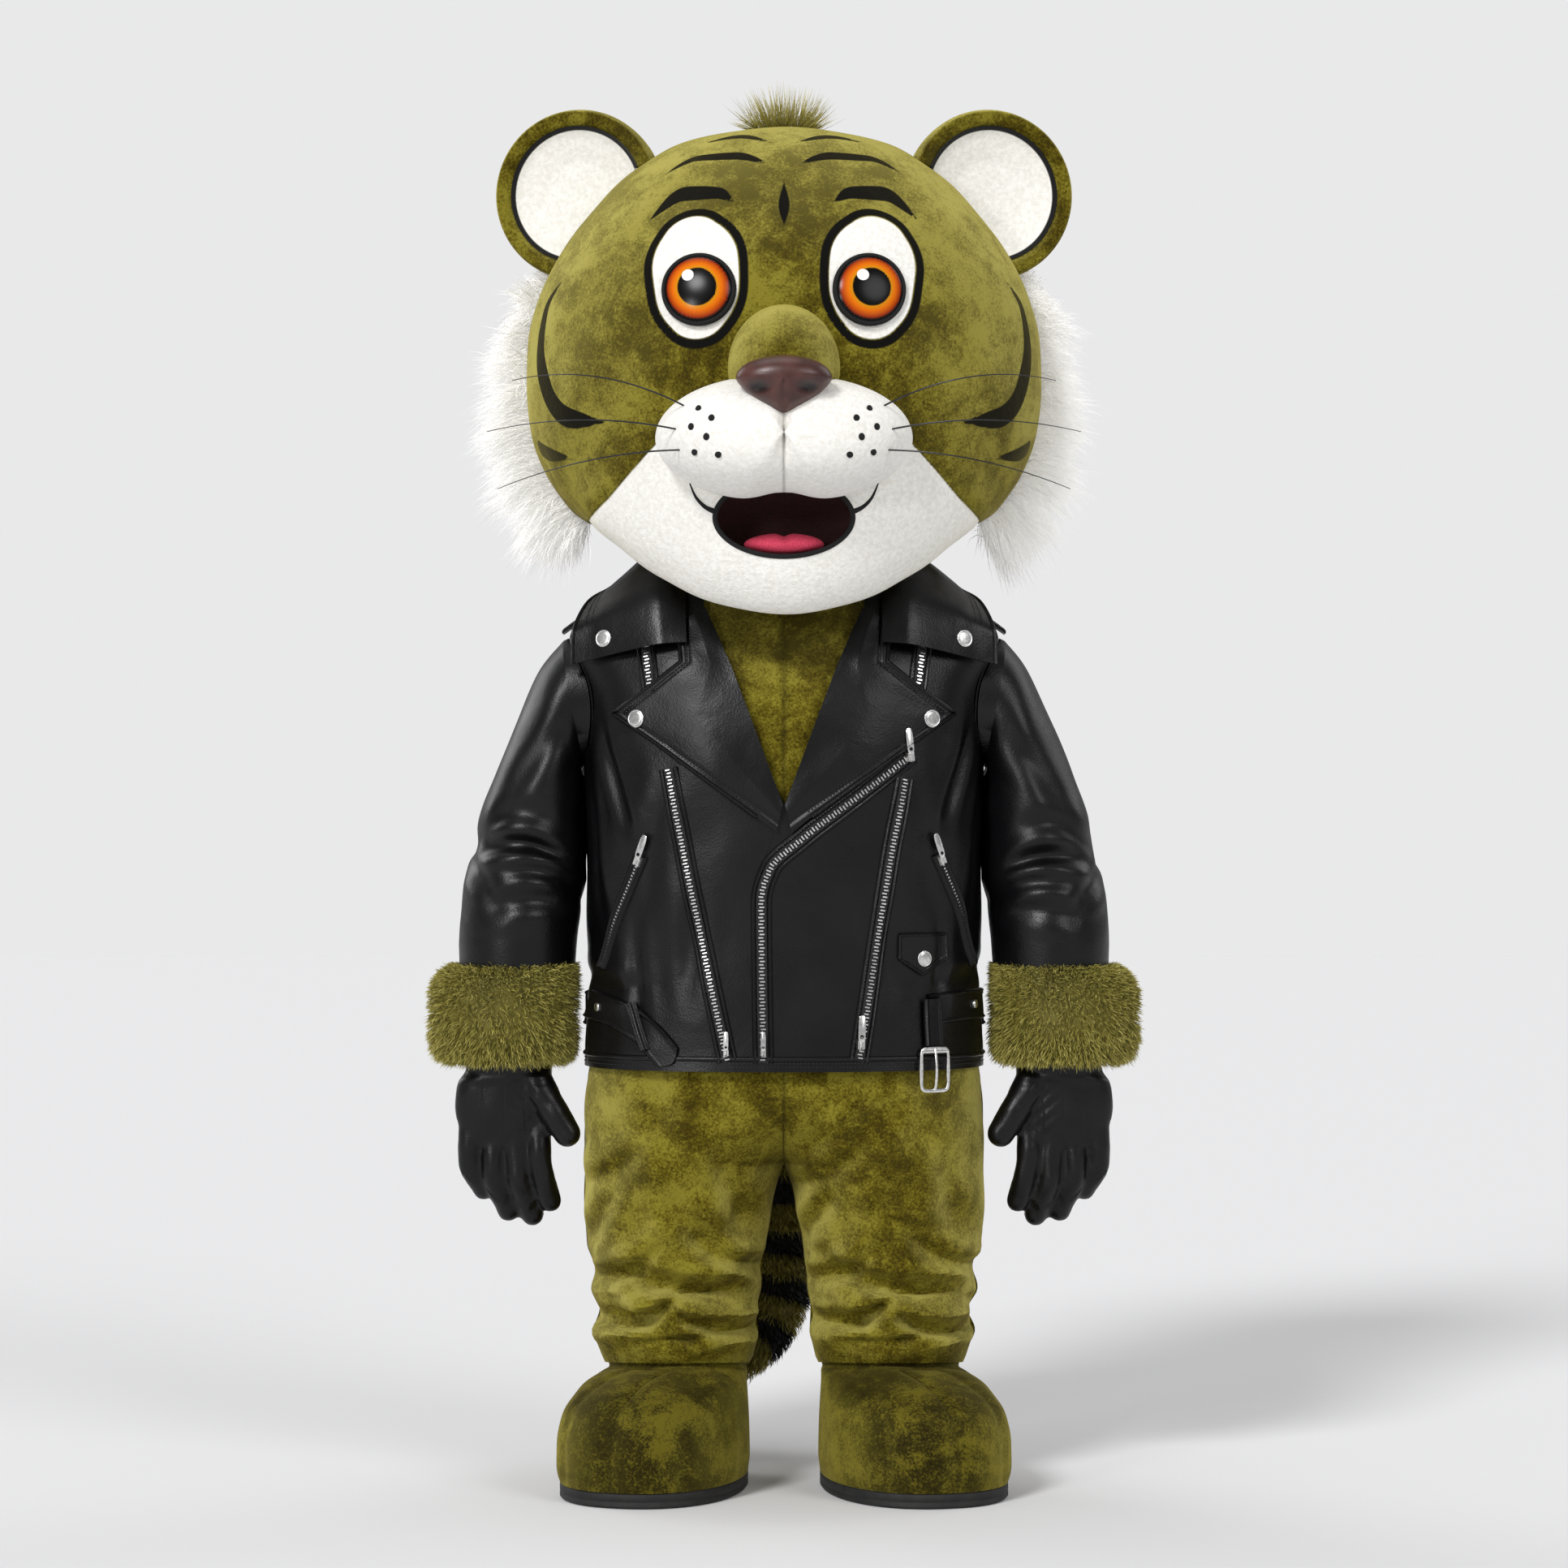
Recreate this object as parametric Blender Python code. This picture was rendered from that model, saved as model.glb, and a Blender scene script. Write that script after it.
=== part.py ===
"""A tiger mascot costume worn as a set: foam and plush head, plush suit with neck band, tail and boots,
a leather biker jacket with fur cuffs, and leather gloves.

Metres, +Z up. The wearer faces -Y and their left side is +X. The soles stand on z = 0.
A turn is an angle about the upright axis: 0 faces -Y, 90 degrees is +X and 180 degrees is +Y.
Grids of points run up in rows and, seen from above, anticlockwise in columns, so that faces point out."""

import math

import bmesh
import bpy
import numpy as np

# ------------------------------------------------------------------ driving dimensions
CENTRE_SHIFT = 0.061  # the whole costume moves back by this, so that its box is centred on y = 0
SEAM_GAP = 0.0003  # between neighbouring pieces
LIFT = 0.0009  # between a panel and what lies on it; their facets differ by less than this
FOAM_WALL = 0.012  # head: foam with plush glued over it
PLUSH = 0.003
LEATHER = 0.002
BOOT_WALL = 0.005
GLOVE_LEATHER = 0.0018
SQUARENESS = 2.4  # the jacket's plan is a superellipse of this power

QUARTER = math.pi / 2
HEAD_QUARTER_COLUMNS = 7
TORSO_QUARTER_COLUMNS = 6
LEG_COLUMNS = 6  # the same as the torso's, so that the suit's facets match the jacket's at the neck
SLEEVE_COLUMNS = 12


class Table:
    """Rows of sizes under named columns. The first column is the key; the others follow a curve over it."""

    def __init__(self, columns, rows):
        self.names = columns.split()
        self.rows = np.array(rows, dtype=float)

    def at(self, key):
        """Every other column at `key`, as a dictionary."""
        values = curve(self.rows[:, 0], self.rows[:, 1:], np.asarray(key, dtype=float))
        return {name: values[..., place] for place, name in enumerate(self.names[1:])}


def curve(keys, values, at):
    """A smooth curve through `values` at `keys` that never overshoots them (monotone cubic)."""
    keys, values = np.asarray(keys, dtype=float), np.asarray(values, dtype=float)
    step = np.diff(keys)[:, None]
    rise = np.diff(values, axis=0) / step
    slope = np.zeros_like(values)
    product = rise[1:] * rise[:-1]
    total = np.where(np.abs(rise[1:] + rise[:-1]) < 1e-12, 1.0, rise[1:] + rise[:-1])
    slope[1:-1] = np.where(product > 0, 2 * product / total, 0.0)
    slope[0], slope[-1] = rise[0], rise[-1]
    at = np.clip(at, keys[0], keys[-1])
    span = np.clip(np.searchsorted(keys, at, side="right") - 1, 0, len(keys) - 2)
    width = step[span, 0][..., None]
    t = (at - keys[span])[..., None] / width
    low, high = values[span], values[span + 1]
    return (
        low * (1 + 2 * t) * (1 - t) ** 2
        + high * t**2 * (3 - 2 * t)
        + width * slope[span] * t * (1 - t) ** 2
        + width * slope[span + 1] * t**2 * (t - 1)
    )


def spaced(points, count):
    """`count` points evenly spaced by parameter on the smooth curve through `points`."""
    points = np.array(points, dtype=float)
    return curve(np.arange(len(points)), points, np.linspace(0, len(points) - 1, count))


def signed_power(base, power):
    return np.sign(base) * np.abs(base) ** power


def grid_of(*coordinates):
    """x, y and z arrays joined into a grid of points."""
    return np.stack(np.broadcast_arrays(*coordinates), axis=-1)


def mirrored(grid):
    """The same grid on the other side of x = 0, its columns turned round so that it still faces out."""
    return grid[:, ::-1] * np.array((-1.0, 1.0, 1.0))


def unit(vectors):
    length = np.linalg.norm(vectors, axis=-1, keepdims=True)
    return vectors / np.where(length < 1e-12, 1.0, length)


def normals_of(grid, round_columns=False, seams=True):
    """Unit normals of a grid, out of its surface. On a seam in the plane x = 0 or y = 0 they lie in that
    plane, so that the walls of two neighbours meet face to face."""
    if round_columns:
        along = np.roll(grid, -1, axis=1) - np.roll(grid, 1, axis=1)
    else:
        along = np.gradient(grid, axis=1)
    normal = np.cross(along, np.gradient(grid, axis=0))
    for row in range(len(grid)):
        if np.abs(normal[row]).max() < 1e-12:
            normal[row] = unit(normal[row - 1 if row else 1]).mean(axis=0)
    if seams and not round_columns:
        for column in (0, -1):
            for axis in (0, 1):
                on_seam = np.abs(grid[:, column, axis]) < SEAM_GAP
                smaller = np.abs(normal[:, column, axis]) < np.abs(normal[:, column]).max(axis=1)
                normal[on_seam & smaller, column, axis] = 0.0
    return unit(normal)


def normals_by(function, rows, columns, small=1e-4):
    """Unit normals of the surface function(rows, columns), from points a small step to each side."""
    along = function(rows, columns + small) - function(rows, columns - small)
    up = function(rows + small, columns) - function(rows - small, columns)
    return unit(np.cross(along, up))


# ------------------------------------------------------------------ objects and materials
def material(name, colour, roughness, metallic=0.0):
    made = bpy.data.materials.new(name)
    made.use_nodes = True
    shader = made.node_tree.nodes["Principled BSDF"]
    shader.inputs["Base Color"].default_value = (*colour, 1.0)
    shader.inputs["Roughness"].default_value = roughness
    shader.inputs["Metallic"].default_value = metallic
    return made


def place(name, mesh, finish, sharp_degrees=40):
    """An object made from a mesh, in its material, smooth but for its sharp edges."""
    mesh.shade_smooth()
    mesh.set_sharp_from_angle(angle=math.radians(sharp_degrees))
    piece = bpy.data.objects.new(name, mesh)
    bpy.context.collection.objects.link(piece)
    piece.location = (0.0, CENTRE_SHIFT, 0.0)
    if finish:
        mesh.materials.append(finish)
    return piece


def quads(rows, columns, round_columns=False, round_rows=False):
    """The faces of a grid; round columns or rows join their last to their first."""
    faces = []
    for row in range(rows if round_rows else rows - 1):
        above = (row + 1) % rows
        for column in range(columns if round_columns else columns - 1):
            after = (column + 1) % columns
            corners = ((row, column), (row, after), (above, after), (above, column))
            faces.append([r * columns + c for r, c in corners])
    return faces


def mesh_from(name, points, faces, closed=True):
    """A mesh whose coincident points, as at a pole, are joined. A closed one is made to face out."""
    mesh = bpy.data.meshes.new(name)
    mesh.from_pydata([tuple(point) for point in points], [], faces)
    work = bmesh.new()
    work.from_mesh(mesh)
    bmesh.ops.remove_doubles(work, verts=work.verts, dist=1e-5)
    if closed:
        bmesh.ops.recalc_face_normals(work, faces=work.faces)
    work.to_mesh(mesh)
    work.free()
    return mesh


def cloth(name, grid, thickness, finish, normals=None, round_columns=False):
    """A wall of cloth: the grid is its outer face, and its thickness goes inward."""
    if normals is None:
        normals = normals_of(grid, round_columns)
    return wall_between(name, grid, grid - normals * thickness, finish, round_columns)


def wall_between(name, outer, inner, finish, round_columns=False):
    """A closed wall between two grids of the same rows and columns, with rims along its open edges."""
    rows, columns = outer.shape[:2]
    count = rows * columns
    faces = quads(rows, columns, round_columns)
    faces += [[count + corner for corner in reversed(four)] for four in faces]
    if round_columns:
        first, last = list(range(columns)), list(range(rows * columns - 1, (rows - 1) * columns - 1, -1))
        is_open = [np.ptp(outer[row], axis=0).max() > SEAM_GAP for row in (0, -1)]
        borders = [border for border, open_here in zip((first, last), is_open) if open_here]
    else:
        rim = [(0, c) for c in range(columns)] + [(r, columns - 1) for r in range(1, rows)]
        rim += [(rows - 1, c) for c in range(columns - 2, -1, -1)]
        rim += [(r, 0) for r in range(rows - 2, 0, -1)]
        borders = [[r * columns + c for r, c in rim]]
    for border in borders:
        for here, after in zip(border, border[1:] + border[:1]):
            faces.append([here, count + here, count + after, after])
    points = np.vstack([outer.reshape(-1, 3), inner.reshape(-1, 3)])
    return place(name, mesh_from(name, points, faces), finish)


def loft(name, rings, finish):
    """A closed solid through rings of points, its two ends closed by fans."""
    rows, columns = rings.shape[:2]
    points = list(rings.reshape(-1, 3)) + [rings[0].mean(axis=0), rings[-1].mean(axis=0)]
    faces = quads(rows, columns, round_columns=True)
    top = (rows - 1) * columns
    for column in range(columns):
        after = (column + 1) % columns
        faces.append([after, column, rows * columns])
        faces.append([top + column, top + after, rows * columns + 1])
    return place(name, mesh_from(name, points, faces), finish)


def hoop(name, grid, finish):
    """A closed ring: the grid joins up along its rows and its columns."""
    rows, columns = grid.shape[:2]
    faces = quads(rows, columns, round_columns=True, round_rows=True)
    return place(name, mesh_from(name, grid.reshape(-1, 3), faces), finish)


def boolean(piece, tool, operation):
    """A Boolean with a hidden tool."""
    tool.hide_render = True
    tool.display_type = "WIRE"
    step = piece.modifiers.new(f"{operation.lower()} {tool.name}", "BOOLEAN")
    step.operation = operation
    step.object = tool


def cut(piece, *tools):
    for tool in tools:
        boolean(piece, tool, "DIFFERENCE")


def ellipse_along(name, axis, centre, half_sizes, reach, sides=24):
    """An elliptical bar along x or y, used as a cutter. It runs by `reach` to each side of its centre."""
    turns = np.arange(sides) * 2 * math.pi / sides
    first, second = half_sizes[0] * np.cos(turns), half_sizes[1] * np.sin(turns)
    ends = np.array((-reach, reach))[:, None]
    if axis == "x":
        rings = grid_of(centre[0] + ends, centre[1] + first, centre[2] + second)
    else:
        rings = grid_of(centre[0] - first, centre[1] + ends, centre[2] + second)
    return loft(name, rings, None)


# ------------------------------------------------------------------ the head's shell
HEAD = Table(
    "ring half_width side_z front_y front_z back_y back_z",
    [
        (0.0, 0.160, 1.392, -0.130, 1.336, 0.150, 1.398),
        (1.0, 0.205, 1.386, -0.185, 1.268, 0.195, 1.395),
        (2.0, 0.262, 1.388, -0.245, 1.253, 0.240, 1.403),
        (3.0, 0.300, 1.405, -0.292, 1.300, 0.275, 1.430),
        (4.0, 0.326, 1.432, -0.313, 1.372, 0.300, 1.468),
        (5.0, 0.345, 1.462, -0.320, 1.450, 0.316, 1.505),
        (6.0, 0.366, 1.520, -0.326, 1.520, 0.333, 1.560),
        (7.0, 0.375, 1.590, -0.329, 1.590, 0.343, 1.625),
        (8.0, 0.371, 1.655, -0.326, 1.660, 0.342, 1.685),
        (9.0, 0.353, 1.726, -0.313, 1.732, 0.327, 1.745),
        (10.0, 0.322, 1.785, -0.288, 1.795, 0.300, 1.802),
        (11.0, 0.278, 1.845, -0.250, 1.855, 0.260, 1.858),
        (12.0, 0.225, 1.897, -0.205, 1.903, 0.213, 1.905),
        (13.0, 0.160, 1.937, -0.150, 1.939, 0.157, 1.940),
        (14.0, 0.080, 1.958, -0.076, 1.959, 0.082, 1.959),
        (15.0, 0.000, 1.965, 0.000, 1.965, 0.000, 1.965),
    ],
)
JAW_RING = 5.0  # the white jaw is sewn to the striped face at this ring
HEAD_SQUARENESS = 2.15


def head_points(rings, turns):
    """The head's outer face at rings (rows) and turns (columns)."""
    sizes = {name: value[:, None] for name, value in HEAD.at(rings).items()}
    across = signed_power(np.sin(turns), 2 / HEAD_SQUARENESS)[None, :]
    ahead = signed_power(np.cos(turns), 2 / HEAD_SQUARENESS)[None, :]
    front = ahead > 0
    end_y = np.where(front, sizes["front_y"], sizes["back_y"])
    end_z = np.where(front, sizes["front_z"], sizes["back_z"])
    x = sizes["half_width"] * across
    y = end_y * np.abs(ahead)
    z = sizes["side_z"] + (end_z - sizes["side_z"]) * ahead**2
    return grid_of(x, y, z)


def head_normals(rings, turns):
    """Unit normals at those points; the crown's points straight up."""
    normals = normals_by(head_points, np.clip(rings, 0.001, 14.999), turns)
    normals[np.asarray(rings) >= 14.99] = (0.0, 0.0, 1.0)
    for column, turn in enumerate(turns):
        quarter = turn / QUARTER
        if abs(quarter - round(quarter)) < 1e-6:
            normals[:, column, 1 if round(quarter) % 2 else 0] = 0.0
    return unit(normals)


def face_point(x, z):
    """The point of the head's front at (x, z), found by halving between the jaw and the crown."""
    low, high = 2.0, 15.0
    for _ in range(40):
        ring = (low + high) / 2
        sizes = HEAD.at(ring)
        share = min(abs(x) / max(float(sizes["half_width"]), 1e-6), 1.0)
        ahead = (1 - share**HEAD_SQUARENESS) ** (1 / HEAD_SQUARENESS)
        height = sizes["side_z"] + (sizes["front_z"] - sizes["side_z"]) * ahead**2
        if share >= 1.0 or height > z:
            high = ring
        else:
            low = ring
    return np.array((x, float(sizes["front_y"]) * ahead, z))


def head_turns(start, end):
    """Even turns between two quarter marks, such as 0 and 2 for the +x half."""
    return np.linspace(start, end, round(abs(end - start)) * HEAD_QUARTER_COLUMNS + 1) * QUARTER


def make_head_shell(plush, white_plush):
    """Upper and lower face and the two back halves, and the hidden core that trims what sits on them."""
    upper_rings = np.arange(JAW_RING, 16.0)
    lower_rings = np.arange(0.0, JAW_RING + 1)
    back_rings = np.arange(0.0, 16.0)
    half = SEAM_GAP / 2

    def panel(name, rings, turns, shift, finish):
        points = head_points(rings, turns)
        normals = head_normals(rings, turns)
        return wall_between(name, points + shift, points - normals * FOAM_WALL + shift, finish)

    panel("face_upper", upper_rings, head_turns(-1, 1), (0, -half, 0), plush)
    lower = panel("face_lower", lower_rings, head_turns(-1, 1), (0, -half, -3 * SEAM_GAP), white_plush)
    panel("head_back_left", back_rings, head_turns(1, 2), (half, half, 0), plush)
    panel("head_back_right", back_rings, head_turns(2, 3), (-half, half, 0), plush)
    core_rings = np.append(back_rings[:-1], 14.99)
    core = head_points(core_rings, head_turns(-2, 2)[:-1])
    core = core + head_normals(core_rings, head_turns(-2, 2)[:-1]) * 3 * SEAM_GAP
    return lower, loft("head_core", core, None)


# ------------------------------------------------------------------ the face
MUZZLE_CENTRE = (0.0, -0.330, 1.492)
MUZZLE_HALF = (0.178, 0.118, 0.088)  # across, forward, up
BRIDGE_CENTRE = (0.0, -0.318, 1.590)
BRIDGE_HALF = (0.078, 0.105, 0.088)
NOSE_CENTRE = (0.0, -0.425, 1.566)
NOSE_HALF = (0.066, 0.040, 0.038)
EYE_CENTRE = (0.118, 1.700)
EYE_RADIUS = 0.050
EYE_BULGE = 0.016
EYE_SEAT = 0.015  # it starts this far inside the face, which trims it
MOUTH_CENTRE_Z = 1.384
MOUTH_HALF = (0.096, 0.054)
MOUTH_DEPTH = 0.070
MOUTH_SPREAD = 0.010  # how far the lining reaches behind the hole's edge
MOUTH_SEAT = 0.0050  # clear of the shell's flat facets
MOUTH_LOWEST = 1.300


def muzzle_point(from_front, around, grow=0.0):
    """Points of the two-lobed muzzle. `from_front` is the angle off its axis and `around` goes round it."""
    across = np.cos(around)
    up = np.sin(around)
    groove = np.exp(-((across / 0.20) ** 2))
    pinch = 1.0 - np.where(up > 0, 0.10, 0.16) * groove
    half = [size + grow for size in MUZZLE_HALF]
    reach = signed_power(np.sin(from_front), 0.85)
    x = MUZZLE_CENTRE[0] - half[0] * reach * signed_power(across, 0.92)
    z = MUZZLE_CENTRE[2] + half[2] * reach * up * pinch
    y = MUZZLE_CENTRE[1] - half[1] * np.cos(from_front) * (1.0 - 0.10 * (1 - np.sin(from_front)) * groove)
    return grid_of(x, y, z)


def round_solid(name, centre, half, finish, rings=7, columns=16, power=1.0):
    """An ellipsoid with its poles along y; a power under 1 squares its sides."""
    angles = np.linspace(0.06, math.pi - 0.06, rings)[:, None]
    turns = (np.arange(columns) * 2 * math.pi / columns)[None, :]
    reach = signed_power(np.sin(angles), power)
    grid = grid_of(
        centre[0] - half[0] * reach * np.cos(turns),
        centre[1] - half[1] * np.cos(angles),
        centre[2] + half[2] * reach * np.sin(turns),
    )
    return loft(name, grid, finish)


def make_muzzle(name, finish, grow=0.0):
    angles = np.linspace(0.10, math.radians(125), 7)[:, None]
    turns = (np.arange(20) * 2 * math.pi / 20)[None, :]
    return loft(name, muzzle_point(angles, turns, grow), finish)


def make_nose(finish):
    """A rounded triangle, wide at its top and drawn in below."""
    angles = np.linspace(0.08, math.pi - 0.08, 6)[:, None]
    turns = (np.arange(14) * 2 * math.pi / 14)[None, :]
    up = np.sin(turns)
    taper = np.where(up < 0, 1.0 - 0.55 * np.abs(up) ** 1.2, 1.0)
    reach = signed_power(np.sin(angles), 0.8)
    grid = grid_of(
        NOSE_CENTRE[0] - NOSE_HALF[0] * reach * np.cos(turns) * taper,
        NOSE_CENTRE[1] - NOSE_HALF[1] * np.cos(angles),
        NOSE_CENTRE[2] + NOSE_HALF[2] * reach * np.where(up < 0, 1.25 * up, 0.85 * up),
    )
    return loft("nose", grid, finish)


def make_eye(name, side, finish):
    """A round domed eye that stands on the face, turned to face the way that the head does there."""
    centre = face_point(side * EYE_CENTRE[0], EYE_CENTRE[1])
    step = 0.03
    across = face_point(side * EYE_CENTRE[0] + step, EYE_CENTRE[1]) - centre
    up = face_point(side * EYE_CENTRE[0], EYE_CENTRE[1] + step) - centre
    across, up = across / np.linalg.norm(across), up / np.linalg.norm(up)
    out = np.cross(across, up)
    angles = np.array((0.10, 0.6, 1.1, math.pi / 2))
    turns = np.arange(14) * 2 * math.pi / 14
    spokes = np.sin(turns)[:, None] * up - np.cos(turns)[:, None] * across
    profile = [(EYE_BULGE * math.cos(angle), EYE_RADIUS * math.sin(angle)) for angle in angles]
    profile.append((-EYE_SEAT, EYE_RADIUS))
    rings = [centre + out * lift + spokes * reach for lift, reach in profile]
    return loft(name, np.array(rings), finish)


def make_mouth(lower, lining_finish, tongue_finish):
    """The open mouth: a hole in the jaw, a bowl of cloth behind it and the tongue lying in the bowl."""
    centre = (0.0, -0.28, MOUTH_CENTRE_Z)
    cut(lower, ellipse_along("mouth_cutter", "y", centre, MOUTH_HALF, 0.14))
    turns = np.arange(18) * 2 * math.pi / 18
    rim = []
    for turn in turns:
        x = -(MOUTH_HALF[0] + MOUTH_SPREAD) * math.cos(turn)
        z = max(MOUTH_CENTRE_Z + (MOUTH_HALF[1] + MOUTH_SPREAD) * math.sin(turn), MOUTH_LOWEST)
        point = face_point(x, z)
        along, up = face_point(x + 0.001, z) - point, face_point(x, z + 0.001) - point
        rim.append(point - unit(np.cross(along, up)) * (FOAM_WALL + MOUTH_SEAT))
    rim = np.array(rim)
    middle = np.array((0.0, rim[:, 1].mean(), MOUTH_CENTRE_Z))
    rings = []
    for share, depth in ((1.0, 0.0), (0.90, 0.5), (0.60, 0.9), (0.0, 1.0)):
        ring = middle + (rim - middle) * share
        ring[:, 1] = rim[:, 1] * share + middle[1] * (1 - share) + MOUTH_DEPTH * depth
        rings.append(ring)
    bowl = np.array(rings)
    cloth("mouth_lining", bowl, -0.002, lining_finish, round_columns=True)
    tongue_centre = (0.0, middle[1] + 0.018, MOUTH_CENTRE_Z - 0.036)
    round_solid("tongue", tongue_centre, (0.056, 0.040, 0.016), tongue_finish, rings=5, columns=12)


# ------------------------------------------------------------------ ears, cheek fur and tuft
EAR_CENTRE = (0.297, 0.020, 1.873)
EAR_RADIUS = 0.124
EAR_TURN_OUT = math.radians(14)
EAR_PROFILE = [  # radius share, depth: the front dish, the rolled rim and the rounded back
    (0.10, 0.006),
    (0.70, -0.009),
    (0.86, -0.026),
    (0.96, -0.028),
    (1.00, -0.010),
    (0.98, 0.018),
    (0.85, 0.040),
    (0.50, 0.052),
    (0.10, 0.056),
]
EAR_LINING_PROFILE = [(0.10, 0.006), (0.70, -0.009)]


def ear_rings(profile, lift=0.0):
    """Turned rings about the ear's axis, which looks forward and a little outward."""
    turns = np.arange(14) * 2 * math.pi / 14
    out = np.array((math.sin(EAR_TURN_OUT), -math.cos(EAR_TURN_OUT), 0.0))
    across = np.array((math.cos(EAR_TURN_OUT), math.sin(EAR_TURN_OUT), 0.0))
    up = np.array((0.0, 0.0, 1.0))
    rings = []
    for share, depth in profile:
        spokes = np.cos(turns)[:, None] * -across + np.sin(turns)[:, None] * up
        rings.append(np.array(EAR_CENTRE) + spokes * share * EAR_RADIUS - out * (depth - lift))
    return np.array(rings)


def make_ears(core, plush, lining):
    for side in ("left", "right"):
        shape = ear_rings(EAR_PROFILE)
        pad = ear_rings(EAR_LINING_PROFILE, lift=LIFT + 0.002)
        back = ear_rings(EAR_LINING_PROFILE, lift=LIFT)
        pad = np.concatenate([pad, back[::-1]])
        if side == "right":
            shape, pad = mirrored(shape), mirrored(pad)
        ear = loft(f"ear_{side}", shape, plush)
        cut(ear, core)
        disc = loft(f"ear_lining_{side}", pad, lining)
        cut(disc, core)


RUFF = Table(  # long white fur on the seam behind the cheek: its root on the head, and its tips
    "place root_z tip_x tip_y tip_z half_width",
    [
        (0.0, 1.745, 0.362, 0.050, 1.752, 0.014),
        (1.0, 1.690, 0.412, 0.055, 1.690, 0.034),
        (2.0, 1.610, 0.436, 0.060, 1.596, 0.042),
        (3.0, 1.530, 0.440, 0.058, 1.505, 0.046),
        (4.0, 1.465, 0.424, 0.050, 1.425, 0.046),
        (5.0, 1.425, 0.385, 0.040, 1.352, 0.040),
        (6.0, 1.405, 0.322, 0.030, 1.312, 0.026),
    ],
)
RUFF_TURN = math.radians(98)


def make_ruffs(core, fur):
    """A curved wedge of fur on each side; its section is a lens from the head out to the fur's tips."""
    rings = []
    for place_along in np.linspace(0.0, 6.0, 10):
        sizes = RUFF.at(place_along)
        row = np.interp(sizes["root_z"], HEAD.rows[:, 2][2:], HEAD.rows[:, 0][2:])
        root = head_points(np.array([row]), np.array([RUFF_TURN]))[0, 0]
        root = root * (0.94, 0.94, 1.0)
        tip = np.array((sizes["tip_x"], sizes["tip_y"], sizes["tip_z"]))
        width = np.array((0.0, float(sizes["half_width"]), 0.0))
        middle = root + (tip - root) * 0.55
        front = (root - width * 0.7, middle - width, tip - width * 0.25)
        back = (tip + width * 0.25, middle + width, root + width * 0.7)
        rings.append(front + back)
    left = np.array(rings)[::-1]
    for side, grid in (("left", left), ("right", mirrored(left))):
        cut(loft(f"cheek_ruff_{side}", grid, fur), core)


def make_tuft(core, fur):
    turns = np.arange(10) * 2 * math.pi / 10
    rings = []
    for share, height in ((1.0, 1.945), (0.95, 1.975), (0.62, 1.998), (0.22, 2.014)):
        rings.append(grid_of(0.052 * share * np.sin(turns), -0.030 - 0.030 * share * np.cos(turns), height))
    cut(loft("tuft", np.array(rings), fur), core)


# ------------------------------------------------------------------ the torso, shared by jacket and suit
TORSO = Table(
    "z half_width half_depth",
    [
        (0.607, 0.290, 0.200),
        (0.665, 0.287, 0.197),
        (0.760, 0.284, 0.195),
        (0.870, 0.286, 0.200),
        (1.000, 0.288, 0.205),
        (1.080, 0.292, 0.200),
        (1.150, 0.303, 0.185),
        (1.205, 0.315, 0.162),
        (1.240, 0.308, 0.142),
        (1.280, 0.225, 0.124),
        (1.318, 0.140, 0.108),
    ],
)
HEM_Z, NECK_Z = 0.607, 1.318
TORSO_ROWS = (0.607, 0.665, 0.760, 0.870, 1.000, 1.080, 1.130, 1.175, 1.210, 1.240, 1.275, 1.297, 1.318)
SUIT_ROWS = (0.665, 0.870, 1.080, 1.175, 1.240, 1.318)
YOKE_Z = 1.175
V_EDGE = ((0.000, 0.985), (0.113, 1.258), (0.120, 1.318))  # (x, z) up the V neck's edge
V_BOTTOM_Z = V_EDGE[0][1]
FRONT_EDGE_X = -0.030  # the closing edge below the V, covered by the main zip
ARMHOLE_Y, ARMHOLE_Z = 0.0, 1.134
ARMHOLE_HALF = (0.0905, 0.0925)


def torso_points(heights, turns):
    """The jacket's outer face. Both are arrays of one shape, or shapes that broadcast."""
    sizes = TORSO.at(heights)
    x = sizes["half_width"] * signed_power(np.sin(turns), 2 / SQUARENESS)
    y = -sizes["half_depth"] * signed_power(np.cos(turns), 2 / SQUARENESS)
    return grid_of(x, y, heights)


def torso_normals(heights, turns):
    """Unit normals there. On the side and centre lines they lie in those planes."""
    heights, turns = np.broadcast_arrays(np.asarray(heights, dtype=float), np.asarray(turns, dtype=float))
    normals = normals_by(torso_points, np.clip(heights, HEM_Z + 0.001, NECK_Z - 0.001), turns)
    quarters = turns / QUARTER
    on_line = np.abs(quarters - np.round(quarters)) < 1e-6
    side_line = on_line & (np.round(quarters) % 2 == 1)
    normals[side_line, 1] = 0.0
    normals[on_line & ~side_line, 0] = 0.0
    return unit(normals)


def on_torso(x, z, lift=LIFT):
    """The point over the jacket's front at (x, z), moved out by `lift`."""
    def face(x, z):
        sizes = TORSO.at(z)
        share = np.clip(np.abs(x) / sizes["half_width"], 0.0, 0.9995)
        y = -sizes["half_depth"] * (1 - share**SQUARENESS) ** (1 / SQUARENESS)
        return grid_of(x, y, z)

    x, z = np.broadcast_arrays(np.asarray(x, dtype=float), np.asarray(z, dtype=float))
    small = 0.001
    along = face(x + small, z) - face(x - small, z)
    up = face(x, z + small) - face(x, z - small)
    out = np.cross(along, up)
    out /= np.linalg.norm(out, axis=-1, keepdims=True)
    return face(x, z) + out * np.asarray(lift)[..., None]


def turn_at(x, z):
    """The turn of the front's point at (x, z)."""
    share = x / TORSO.at(z)["half_width"]
    return np.arcsin(signed_power(share, SQUARENESS / 2))


def v_edge(z):
    """How far from x = 0 the V neck's edge is at height z."""
    return np.interp(z, [point[1] for point in V_EDGE], [point[0] for point in V_EDGE])


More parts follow.
